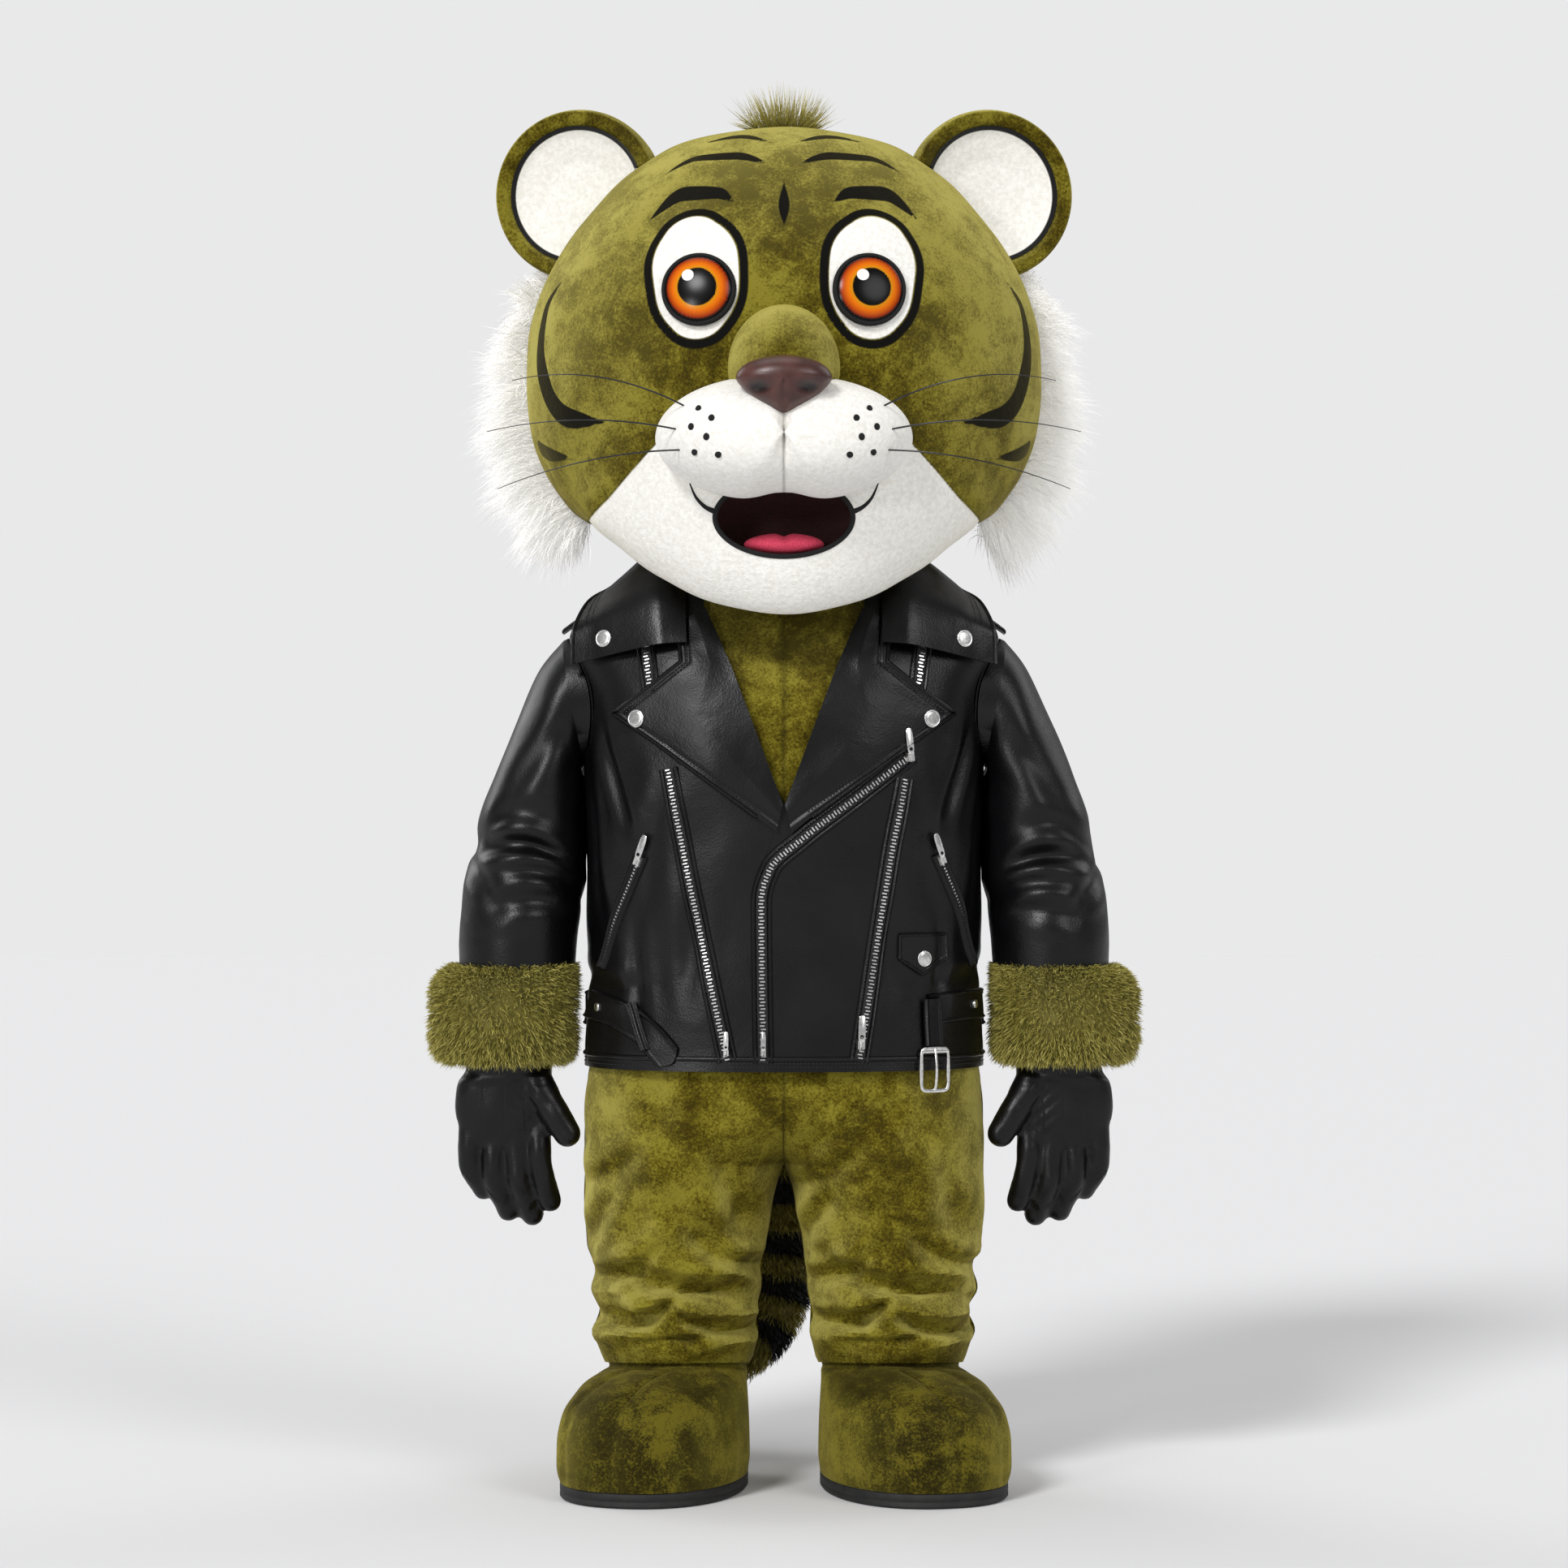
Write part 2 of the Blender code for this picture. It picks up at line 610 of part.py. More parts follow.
def make_jacket_body(leather):
    """Two fronts with the V neck, a yoke, and two backs; all but the yoke start at the hem."""
    rows = np.array(sorted(set(TORSO_ROWS) | {V_BOTTOM_Z}))[:, None]
    shares = np.linspace(0.0, 1.0, TORSO_QUARTER_COLUMNS + 1)[None, :]
    half = SEAM_GAP / 2
    edge = np.where(rows < V_BOTTOM_Z, -FRONT_EDGE_X, 0.0)
    blend = np.clip((rows - 0.90) / (V_BOTTOM_Z - 0.90), 0.0, 1.0)
    start_left = np.where(rows < V_BOTTOM_Z, FRONT_EDGE_X * (1 - blend), v_edge(rows)) + half
    start_right = np.where(rows < V_BOTTOM_Z, edge * (1 - blend), v_edge(rows)) + half
    pieces = []

    def panel(name, heights, turns, shift, flip=False):
        points, normals = torso_points(heights, turns), torso_normals(heights, turns)
        outer, inner = points + shift, points - normals * LEATHER + shift
        if flip:
            outer, inner = mirrored(outer), mirrored(inner)
        pieces.append(wall_between(name, outer, inner, leather))
        return pieces[-1]

    for name, start in (("jacket_front_left", start_left), ("jacket_front_right", start_right)):
        first = turn_at(start, rows)
        panel(name, rows, first + (QUARTER - first) * shares, (0, -half, 0), flip=name.endswith("right"))
    turns = np.linspace(QUARTER, 2 * QUARTER, TORSO_QUARTER_COLUMNS + 1)[None, :]
    back_rows = np.array([z for z in TORSO_ROWS if z <= YOKE_Z])[:, None]
    backs = [
        panel("jacket_back_left", back_rows, turns, (half, half, -SEAM_GAP)),
        panel("jacket_back_right", back_rows, turns, (half, half, -SEAM_GAP), flip=True),
    ]
    yoke_rows = np.array([z for z in TORSO_ROWS if z >= YOKE_Z])[:, None]
    yoke_turns = np.linspace(QUARTER, 3 * QUARTER, 2 * TORSO_QUARTER_COLUMNS + 1)[None, :]
    panel("jacket_yoke", yoke_rows, yoke_turns, (0, half, 0))
    return pieces, backs


# ------------------------------------------------------------------ sleeves and fur cuffs
SLEEVE = Table(  # from the armhole down: its outer and inner edges, and half its depth
    "place outer_x outer_z inner_x inner_z half_depth middle_y",
    [
        (0.0, 0.318, 1.226, 0.290, 1.042, 0.090, 0.000),
        (1.0, 0.352, 1.185, 0.2985, 1.022, 0.094, 0.000),
        (2.0, 0.385, 1.110, 0.2980, 1.000, 0.096, -0.002),
        (3.0, 0.420, 1.030, 0.2965, 0.968, 0.098, -0.005),
        (4.0, 0.443, 0.962, 0.2960, 0.925, 0.098, -0.008),
        (4.6, 0.446, 0.932, 0.2950, 0.905, 0.096, -0.009),
        (5.2, 0.456, 0.902, 0.2950, 0.880, 0.098, -0.010),
        (6.0, 0.466, 0.850, 0.2960, 0.836, 0.098, -0.013),
        (7.0, 0.472, 0.780, 0.3010, 0.780, 0.094, -0.017),
        (8.0, 0.468, 0.700, 0.3060, 0.700, 0.086, -0.020),
    ],
)
CUFF_OUTSIDE = (  # height, edge towards the body, edge away from it, half the depth
    (0.609, 0.322, 0.486, 0.080),
    (0.620, 0.302, 0.508, 0.098),
    (0.652, 0.295, 0.519, 0.108),
    (0.715, 0.295, 0.518, 0.108),
    (0.745, 0.2965, 0.504, 0.103),
    (0.758, 0.2985, 0.484, 0.097),
)
CUFF_MIDDLE_Y = -0.020
CUFF_FOLD, CUFF_WRIST_Z = 0.692, 0.617
WRIST_CENTRE = (0.396, -0.022)
WRIST_HALF = (0.066, 0.052)


def sleeve_points(places, turns, grow=0.0):
    """The left sleeve's outer face; turn 0 is its outer edge and the turns go on to the back."""
    sizes = {name: value[:, None] for name, value in SLEEVE.at(places).items()}
    half_x = (sizes["outer_x"] - sizes["inner_x"]) / 2
    half_z = (sizes["outer_z"] - sizes["inner_z"]) / 2
    length = np.hypot(half_x, half_z)
    stretch = (length + grow) / length
    x = (sizes["outer_x"] + sizes["inner_x"]) / 2 + half_x * stretch * np.cos(turns)[None, :]
    z = (sizes["outer_z"] + sizes["inner_z"]) / 2 + half_z * stretch * np.cos(turns)[None, :]
    y = sizes["middle_y"] + (sizes["half_depth"] + grow) * np.sin(turns)[None, :]
    return grid_of(x, y, z)


def make_sleeves(leather):
    turns = np.arange(SLEEVE_COLUMNS) * 2 * math.pi / SLEEVE_COLUMNS
    places = np.array((0.0, 0.5, 1.0, 2.0, 3.0, 4.0, 4.6, 5.2, 7.0, 8.0))
    grid = sleeve_points(places, turns)
    armhole = grid[0]
    sizes = TORSO.at(armhole[:, 2])
    share = np.clip(np.abs(armhole[:, 1]) / sizes["half_depth"], 0, 1)
    armhole[:, 0] = sizes["half_width"] * (1 - share**SQUARENESS) ** (1 / SQUARENESS) + SEAM_GAP + LIFT
    grid[1, :, 0] = np.maximum(grid[1, :, 0], armhole[:, 0] + 0.004)
    grid = grid[::-1]
    cloth("sleeve_left", grid, LEATHER, leather, round_columns=True)
    cloth("sleeve_right", mirrored(grid), LEATHER, leather, round_columns=True)


def make_cuffs(fur):
    """A turned-back fur cuff: hugging the sleeve above its fold and the glove's wrist below."""
    turns = np.arange(SLEEVE_COLUMNS) * 2 * math.pi / SLEEVE_COLUMNS
    across, along = np.cos(turns), np.sin(turns)

    rings = []
    for z, inner_x, outer_x, half_y in CUFF_OUTSIDE:
        x = (inner_x + outer_x) / 2 + (outer_x - inner_x) / 2 * across
        rings.append(grid_of(x, CUFF_MIDDLE_Y + half_y * along, z))
    gap = SEAM_GAP + 0.0002
    upper, lower = sleeve_points(np.array((7.0, 8.0)), turns, grow=gap)
    for height in (0.748, 0.700):
        share = (upper[0, 2] - height) / (upper[0, 2] - lower[0, 2])
        rings.append(upper * (1 - share) + lower * share)
    wrist_x = WRIST_CENTRE[0] + (WRIST_HALF[0] + gap) * across
    wrist_y = WRIST_CENTRE[1] + (WRIST_HALF[1] + gap) * along
    rings += [grid_of(wrist_x, wrist_y, height) for height in (CUFF_FOLD, CUFF_WRIST_Z)]
    grid = np.array(rings)
    hoop("cuff_left", grid, fur)
    hoop("cuff_right", mirrored(grid), fur)


# ------------------------------------------------------------------ what lies on the jacket
ZIP_WIDTH, ZIP_THICKNESS = 0.014, 0.0025
ROUTES = {  # (x, z) on the jacket's front
    "zip_main": (
        (0.181, 1.056),
        (0.105, 0.997),
        (0.030, 0.940),
        (-0.020, 0.893),
        (-0.032, 0.845),
        (-0.031, 0.740),
        (-0.029, 0.620),
    ),
    "zip_left": ((0.171, 1.022), (0.147, 0.890), (0.125, 0.750), (0.106, 0.622)),
    "zip_right": ((-0.164, 1.036), (-0.138, 0.900), (-0.107, 0.750), (-0.080, 0.622)),
    "pocket_zip_left": ((0.219, 0.914), (0.250, 0.835), (0.272, 0.755)),
    "pocket_zip_right": ((-0.203, 0.912), (-0.234, 0.835), (-0.260, 0.752)),
}
LAPEL = Table(  # its fold, along the V's edge, and its outer edge
    "place fold_x fold_z edge_x edge_z",
    [
        (0.0, 0.0015, 0.985, 0.0105, 0.947),  # bottom
        (1.0, 0.0460, 1.105, 0.2380, 1.114),  # tip
        (2.0, 0.0740, 1.178, 0.1450, 1.184),  # notch
        (3.0, 0.1110, 1.262, 0.1500, 1.240),  # under the collar
    ],
)
LAPEL_PLACES = (0.0, 0.2, 0.4, 0.6, 0.8, 1.0, 1.5, 2.0, 2.5, 3.0)
LAPEL_THICKNESS = 0.003
LAPEL_LIFT = 0.0051
LAPEL_TOUCH = 0.4  # the share of its width over which it rises from the front's edge to that lift
LAPEL_ROLL = 0.004  # how much thicker it is at its fold
FLAP_CORNERS = ((0.163, 0.800), (0.229, 0.800))
FLAP_SIDE_Z, FLAP_POINT_Z = 0.766, 0.744


def ribbon(name, route, width, thickness, finish, rows=12, lift=LIFT, columns=2):
    """A strip along a route on the jacket."""
    centre = spaced(route, rows)
    along = np.gradient(centre, axis=0)
    along /= np.linalg.norm(along, axis=1, keepdims=True)
    side = np.stack([along[:, 1], -along[:, 0]], axis=1)
    offsets = np.linspace(-0.5, 0.5, columns) * width
    x = centre[:, 0:1] + side[:, 0:1] * offsets
    z = centre[:, 1:2] + side[:, 1:2] * offsets
    return laid(name, x, z, thickness, finish, lift)


def laid(name, x, z, thickness, finish, lift=LIFT):
    """A piece that lies on the jacket's front: both its faces follow the jacket."""
    lower = np.broadcast_to(lift, x.shape)
    return wall_between(name, on_torso(x, z, lower + thickness), on_torso(x, z, lower), finish)


def make_zips(metal):
    for name, route in ROUTES.items():
        rows = 18 if name == "zip_main" else 10
        width = ZIP_WIDTH if name.startswith("zip") else 0.012
        lift = LIFT if name.startswith("zip") else 1.5 * LIFT
        ribbon(name, route, width, ZIP_THICKNESS, metal, rows=rows, lift=lift)


def make_lapels(leather):
    """Each lapel is the front's top turned back along the V's edge."""
    corners = LAPEL.rows.T
    lines = [np.interp(LAPEL_PLACES, corners[0], line)[:, None] for line in corners[1:]]
    fold_x, fold_z, edge_x, edge_z = lines
    shares = np.linspace(0.0, 1.0, 6)[None, :]
    x = fold_x * (1 - shares) + edge_x * shares
    z = fold_z * (1 - shares) + edge_z * shares
    lift = LIFT + (LAPEL_LIFT - LIFT) * np.clip(shares / LAPEL_TOUCH, 0.0, 1.0) + np.zeros_like(x)
    roll = LAPEL_ROLL * (1 - shares) ** 2
    laid("lapel_left", x, z, LAPEL_THICKNESS + roll, leather, lift)
    laid("lapel_right", -x, z, LAPEL_THICKNESS + roll, leather, lift)


def make_coin_flap(leather):
    (left_x, top_z), (right_x, _) = FLAP_CORNERS
    shares = np.linspace(0.0, 1.0, 7)[None, :]
    x = left_x + (right_x - left_x) * shares
    bottom = FLAP_SIDE_Z - (FLAP_SIDE_Z - FLAP_POINT_Z) * (1 - np.abs(2 * shares - 1))
    rows = np.linspace(0.0, 1.0, 4)[:, None]
    z = bottom + (top_z - bottom) * rows
    x = np.broadcast_to(x, z.shape)
    laid("coin_flap", x, z, 0.004, leather)


# ------------------------------------------------------------------ collar, epaulettes and belt
COLLAR = Table(  # from the centre back round to the front point: neck seam, fold and outer edge
    "place seam_x seam_y seam_z fold_x fold_y fold_z edge_x edge_y edge_z",
    [
        (0.00, 0.000, 0.1086, 1.3186, 0.000, 0.156, 1.383, 0.000, 0.198, 1.333),
        (0.25, 0.084, 0.0900, 1.3186, 0.108, 0.136, 1.383, 0.125, 0.180, 1.332),
        (0.45, 0.126, 0.0470, 1.3186, 0.168, 0.070, 1.377, 0.210, 0.108, 1.323),
        (0.60, 0.1408, 0.000, 1.3186, 0.186, 0.002, 1.353, 0.250, 0.034, 1.301),
        (0.75, 0.145, -0.052, 1.320, 0.190, -0.060, 1.332, 0.284, -0.046, 1.276),
        (0.88, 0.140, -0.132, 1.272, 0.178, -0.134, 1.288, 0.302, -0.102, 1.228),
        (1.00, 0.139, -0.166, 1.216, 0.166, -0.165, 1.227, 0.303, -0.104, 1.186),
    ],
)
COLLAR_FRONT_PLACES = (0.70, 0.80, 0.88, 0.94, 1.00)
COLLAR_ROWS = (0.0, 0.5, 1.0, 1.7, 2.0)  # 0 is the seam, 1 the fold and 2 the edge
COLLAR_STUD = (3, -2)  # the row and the column of the grid where the left stud sits
COLLAR_THICKNESS = 0.003
COLLAR_ROUND_NECK = 1.006  # up to place 0.6 the seam follows the jacket's neck, grown by this share
EPAULETTE = {"x": (0.238, 0.322), "half_width": 0.024, "thickness": 0.006, "lift": 0.0006}
EPAULETTE |= {"seam_x": 0.300, "fall": 0.7}  # past the shoulder seam it falls with the sleeve
BELT_BACK_Z = (0.664, 0.714)
BELT_THICKNESS = 0.004
STRAPS = {  # (x, z) on the jacket's front
    "right": ((-0.276, 0.698), (-0.245, 0.690), (-0.196, 0.662), (-0.157, 0.618)),
    "left": ((0.281, 0.698), (0.262, 0.698), (0.206, 0.693)),
    "hanging": ((0.208, 0.708), (0.209, 0.6420)),
    "loop": ((-0.216, 0.702), (-0.193, 0.636)),
}


def collar_grid():
    """The side of the folded collar that shows, from one front point round the neck to the other."""
    neck_places = np.linspace(0.0, 0.6, TORSO_QUARTER_COLUMNS + 1)
    places = np.concatenate([neck_places, COLLAR_FRONT_PLACES])
    sizes = COLLAR.at(places)
    ring = torso_points(NECK_Z, 2 * QUARTER - QUARTER * neck_places / 0.6) * COLLAR_ROUND_NECK
    sizes["seam_x"][: len(ring)], sizes["seam_y"][: len(ring)] = ring[:, 0], ring[:, 1]
    half = []
    for index in range(len(places)):
        section = [[sizes[f"{line}_{axis}"][index] for axis in "xyz"] for line in ("seam", "fold", "edge")]
        half.append(curve(np.arange(3), np.array(section), np.array(COLLAR_ROWS)))
    half = np.array(half)
    other = half[:0:-1] * (-1.0, 1.0, 1.0)
    grid = np.concatenate([other, half]).transpose(1, 0, 2)
    normals = normals_of(grid, seams=False)
    normals[0, :, 2] = 0.0
    return grid, unit(normals)


def make_collar(leather):
    """A stand and a fall in one folded sheet."""
    grid, normals = collar_grid()
    wall_between("collar", grid, grid - normals * COLLAR_THICKNESS, leather)


def roof_height(x, y):
    """The height of the jacket's shoulder at (x, y)."""
    low, high = 1.150, NECK_Z
    for _ in range(40):
        z = (low + high) / 2
        sizes = TORSO.at(z)
        inside = (abs(x) / sizes["half_width"]) ** SQUARENESS + (abs(y) / sizes["half_depth"]) ** SQUARENESS
        low, high = (z, high) if inside < 1 else (low, z)
    return z


def make_epaulettes(leather):
    xs = np.linspace(*EPAULETTE["x"], 5)
    ys = np.linspace(-1, 1, 4) * EPAULETTE["half_width"]
    over = EPAULETTE["lift"] + EPAULETTE["thickness"]

    def point(x, y):
        past = max(x - EPAULETTE["seam_x"], 0.0)
        return x, y, roof_height(x - past, y) + over - past * EPAULETTE["fall"]

    grid = np.array([[point(x, y) for x in xs] for y in ys])
    cloth("epaulette_left", grid, EPAULETTE["thickness"], leather)
    cloth("epaulette_right", mirrored(grid), EPAULETTE["thickness"], leather)


BUCKLE = {"place": (0.210, 0.608), "lift": 0.0075, "half": (0.023, 0.030), "wire": 0.003, "prong": 0.0022}


def frame_on_torso(x, z, lift):
    """A point over the jacket's front, and the directions across, up and out there."""
    centre = on_torso(x, z, lift)
    across = unit(on_torso(x + 0.002, z, lift) - centre)
    up = np.array((0.0, 0.0, 1.0))
    return centre, across, up, np.cross(across, up)


def buckle_rings():
    """A square-cornered frame of square wire, hanging over the hem."""
    centre, across, up, out = frame_on_torso(*BUCKLE["place"], BUCKLE["lift"])
    half_x, half_z = BUCKLE["half"]
    wire = BUCKLE["wire"]
    rings = []
    for side_x, side_z in ((-1, -1), (0, -1), (1, -1), (1, 0), (1, 1), (0, 1), (-1, 1), (-1, 0)):
        inner = centre + across * side_x * (half_x - wire) + up * side_z * (half_z - wire)
        outer = centre + across * side_x * (half_x + wire) + up * side_z * (half_z + wire)
        rings.append((outer + out * wire, outer - out * wire, inner - out * wire, inner + out * wire))
    return np.array(rings)


def make_belt(leather, metal):
    """A fixed band round the back, a strap at each side of the front, and the hanging buckle."""
    low, high = BELT_BACK_Z
    turns = np.linspace(QUARTER, 3 * QUARTER, 2 * TORSO_QUARTER_COLUMNS + 1)[None, :]
    rows = np.array((low, high))[:, None]
    points, normals = torso_points(rows, turns), torso_normals(rows, turns)
    seat = points + (0, SEAM_GAP / 2, 0) + normals * LIFT
    belt = wall_between("belt_back", seat + normals * BELT_THICKNESS, seat, leather)
    ribbon("belt_strap_right", STRAPS["right"], 0.042, BELT_THICKNESS, leather, lift=2 * LIFT)
    strap = ribbon("belt_strap_left", STRAPS["left"], 0.044, BELT_THICKNESS, leather, rows=9)
    hanging = ribbon("hanging_end", STRAPS["hanging"], 0.026, 0.006, None, rows=5, lift=2 * LIFT)
    boolean(strap, hanging, "UNION")
    loop_lift = 2.6 * LIFT + BELT_THICKNESS
    ribbon("belt_loop", STRAPS["loop"], 0.014, 0.003, leather, rows=5, lift=loop_lift)
    frame = hoop("buckle", buckle_rings(), metal)
    centre, across, up, out = frame_on_torso(*BUCKLE["place"], BUCKLE["lift"])
    turns = np.arange(6) * math.pi / 3
    spokes = (np.cos(turns)[:, None] * across + np.sin(turns)[:, None] * out) * BUCKLE["prong"]
    prong = [centre + up * height + spokes for height in (-BUCKLE["half"][1], BUCKLE["half"][1])]
    boolean(frame, loft("prong", np.array(prong), None), "UNION")
    return belt


STUDS = {  # (x, z, height over the jacket, radius)
    "stud_lapel_left": (0.206, 1.106, 0.0088, 0.0105),
    "stud_lapel_right": (-0.206, 1.106, 0.0088, 0.0105),
    "stud_coin_flap": (0.197, 0.766, 0.0051, 0.0095),
}
COLLAR_STUD_RADIUS, COLLAR_STUD_LIFT = 0.0095, 0.0008


def stud_at(name, base, out, radius, metal):
    """A domed cap standing on `base`."""
    across = np.cross(out, (0.0, 0.0, 1.0))
    across /= np.linalg.norm(across)
    up = np.cross(across, out)
    turns = np.arange(10) * 2 * math.pi / 10
    spokes = np.cos(turns)[:, None] * across + np.sin(turns)[:, None] * up
    profile = ((1.0, 0.0), (1.0, 0.0014), (0.60, 0.0036))
    rings = np.array([base + spokes * radius * share + out * height for share, height in profile])
    outward = (np.cross(rings[0][1] - rings[0][0], rings[2][0] - rings[0][0]) * spokes[0]).sum() > 0
    loft(name, rings if outward else rings[:, ::-1], metal)


def make_studs(metal):
    for name, (x, z, height, radius) in STUDS.items():
        base = on_torso(x, z, lift=height)
        stud_at(name, base, unit(base - on_torso(x, z, lift=0.0)), radius, metal)
    grid, normals = collar_grid()
    seat, out = grid[COLLAR_STUD], normals[COLLAR_STUD]
    for name, side in (("stud_collar_left", (1, 1, 1)), ("stud_collar_right", (-1, 1, 1))):
        stud_at(name, (seat + out * COLLAR_STUD_LIFT) * side, out * side, COLLAR_STUD_RADIUS, metal)


# ------------------------------------------------------------------ the plush suit
ANKLE = {"x": 0.155, "y": 0.0, "half_x": 0.102, "half_y": 0.103, "z": 0.168, "tilt": 0.012}
SUIT_INSET = 0.013  # under the jacket
CROTCH_Z, HIP_Z = 0.468, 0.590
LEG = Table(  # hem to hip; inner is 0 where the legs join
    "z outer inner front back",
    [
        (0.195, 0.266, 0.044, 0.112, 0.112),
        (0.220, 0.277, 0.037, 0.124, 0.126),
        (0.250, 0.268, 0.040, 0.118, 0.121),
        (0.280, 0.281, 0.033, 0.129, 0.131),
        (0.312, 0.275, 0.032, 0.124, 0.128),
        (0.345, 0.287, 0.027, 0.132, 0.138),
        (0.400, 0.290, 0.018, 0.140, 0.150),
        (0.440, 0.290, 0.008, 0.148, 0.160),
        (0.468, 0.290, 0.000, 0.154, 0.166),
        (0.500, 0.290, 0.000, 0.160, 0.172),
        (0.545, 0.289, 0.000, 0.168, 0.180),
        (0.590, 0.285, 0.000, 0.178, 0.186),
    ],
)
LEG_ROWS = (0.197, 0.220, 0.235, 0.250, 0.280, 0.312, 0.345, 0.400, 0.440, 0.468)
HIP_ROWS = (0.480, 0.505, 0.540, 0.566, 0.590)
NECK_DROP = 0.066  # the suit's rows below the neck seam are lower in front, by up to this
NECK_SEAM = {"half_width": 0.1335, "half_depth": 0.1025, "z": 1.313}
NECK_SEAM |= {"front_reach": 0.0205, "front_drop": 0.061}  # it comes forward and down in front
NECK_SEAM |= {"back_reach": 0.0034}  # and meets the jacket's neck at the back, which carries the jacket there
GRIP_GAP = 0.0008  # between the neck band and the rim of the head that it carries


def ankle_points(turns, grow=0.0, up=0.0):
    """The ring where the boot's top and the leg's hem meet. `up` raises it."""
    x = ANKLE["x"] + (ANKLE["half_x"] + grow) * np.sin(turns)
    y = ANKLE["y"] - (ANKLE["half_y"] + grow) * np.cos(turns)
    return grid_of(x, y, ANKLE["z"] + ANKLE["tilt"] * np.cos(turns) + up)


def leg_points(z, angles, back):
    """Part of a leg or of the hips at height z. Angles run from the inner or centre seam, 0, to the side, 1.

    Above the crotch the two legs' ovals move apart until they are the halves of one."""
    sizes = LEG.at(z)
    depth = sizes["back"] if back else sizes["front"]
    if z <= CROTCH_Z:
        middle, half = (sizes["outer"] + sizes["inner"]) / 2, (sizes["outer"] - sizes["inner"]) / 2
        first, power = 0.0, 1.0
    else:
        share = min((HIP_Z - z) / (HIP_Z - CROTCH_Z), 1.0)
        half = sizes["outer"] / (1 + share)
        middle = sizes["outer"] - half
        power = 1.0 - (1 - 2 / SQUARENESS) * (1 - share)
        first = math.acos(min((middle / half) ** (1 / power), 1.0))
    angle = first + (math.pi - first) * angles
    x = middle - half * signed_power(np.cos(angle), power)
    y = depth * signed_power(np.sin(angle), power)
    return grid_of(x, y if back else -y, np.full_like(x, z))


def neck_seam(turns):
    """The ring where the suit's neck band is sewn on: inside the jacket's neck, and lower in front."""
    across = signed_power(np.sin(turns), 2 / SQUARENESS)
    ahead = signed_power(np.cos(turns), 2 / SQUARENESS)
    front = np.clip(np.cos(turns), 0.0, 1.0) ** 4
    back = np.clip(-np.cos(turns), 0.0, 1.0) ** 2
    depth = NECK_SEAM["half_depth"] + NECK_SEAM["front_reach"] * front + NECK_SEAM["back_reach"] * back
    height = NECK_SEAM["z"] - NECK_SEAM["front_drop"] * front
    return grid_of(NECK_SEAM["half_width"] * across, -depth * ahead, height)


def suit_grid(back):
    """The left half of the suit's front or back, from the hem to the neck seam."""
    shares = np.linspace(0.0, 1.0, LEG_COLUMNS + 1)
    hem_turns = (-QUARTER + math.pi * shares) if not back else (-QUARTER - math.pi * shares)
    snug = PLUSH + SEAM_GAP
    rows = [ankle_points(hem_turns, grow=snug, up=0.0045)]
    rows += [ankle_points(hem_turns, grow=snug + 0.004, up=0.013)]
    rows += [leg_points(z, shares, back) for z in LEG_ROWS + HIP_ROWS]
    for z in SUIT_ROWS:
        turns = QUARTER * shares if not back else 2 * QUARTER - QUARTER * shares
        level = np.full_like(shares, z)
        rise = max(0.0, (z - YOKE_Z) / (NECK_Z - YOKE_Z))
        if not back:
            level = level - NECK_DROP * rise * np.cos(turns) ** 4
        if z < NECK_Z:
            rows.append(torso_points(level, turns) - torso_normals(level, turns) * SUIT_INSET)
        else:
            rows.append(neck_seam(turns))
    grid = np.array(rows)
    return grid[:, ::-1] if back else grid


def make_suit(plush, arm_cutters):
    half = SEAM_GAP / 2
    front = suit_grid(back=False) + (half, -half, 0)
    back = suit_grid(back=True) + (half, half, 0)
    for name, grid in (("suit_front", front), ("suit_back", back)):
        for side in ("left", "right"):
            panel = cloth(f"{name}_{side}", grid if side == "left" else mirrored(grid), PLUSH, plush)
            cut(panel, arm_cutters[side])


def make_neck_band(plush):
    """A soft tube from the suit's neck seam up into the head's neck hole, where it grips the rim."""
    turns = np.arange(4 * LEG_COLUMNS) * QUARTER / LEG_COLUMNS
    seam = neck_seam(turns)
    rim = head_points(np.array([0.0]), turns)[0]
    shrunk = 1 - GRIP_GAP / HEAD.rows[0, 1]
    grip = rim * (shrunk, shrunk, 1.0)
    rows = [seam + (0, 0, 2 * SEAM_GAP)]
    for up, out in ((0.35, 0.06), (0.72, 0.30)):
        rows.append(seam * (1 - out, 1 - out, 1 - up) + grip * (out, out, up))
    rows += [grip, rim * (0.975, 0.975, 1.0) + (0, 0, 0.013)]
    cloth("suit_neck_band", np.array(rows), PLUSH, plush, round_columns=True)


# ------------------------------------------------------------------ tail
TAIL = Table(  # from the root to the tip
    "place x y z radius",
    [
        (0.0, 0.000, 0.170, 0.612, 0.056),
        (1.0, 0.000, 0.215, 0.616, 0.059),
        (2.0, -0.002, 0.252, 0.598, 0.062),
        (3.0, -0.004, 0.270, 0.545, 0.064),
        (4.0, -0.006, 0.273, 0.450, 0.064),
        (5.0, -0.007, 0.270, 0.350, 0.063),
        (6.0, -0.014, 0.266, 0.265, 0.062),
        (7.0, -0.042, 0.262, 0.195, 0.060),
        (8.0, -0.092, 0.258, 0.160, 0.056),
        (9.0, -0.138, 0.256, 0.158, 0.046),
        (9.6, -0.162, 0.256, 0.162, 0.028),
        (9.9, -0.173, 0.256, 0.164, 0.010),
    ],
)
TAIL_ARCH = (0.0665, 0.069)


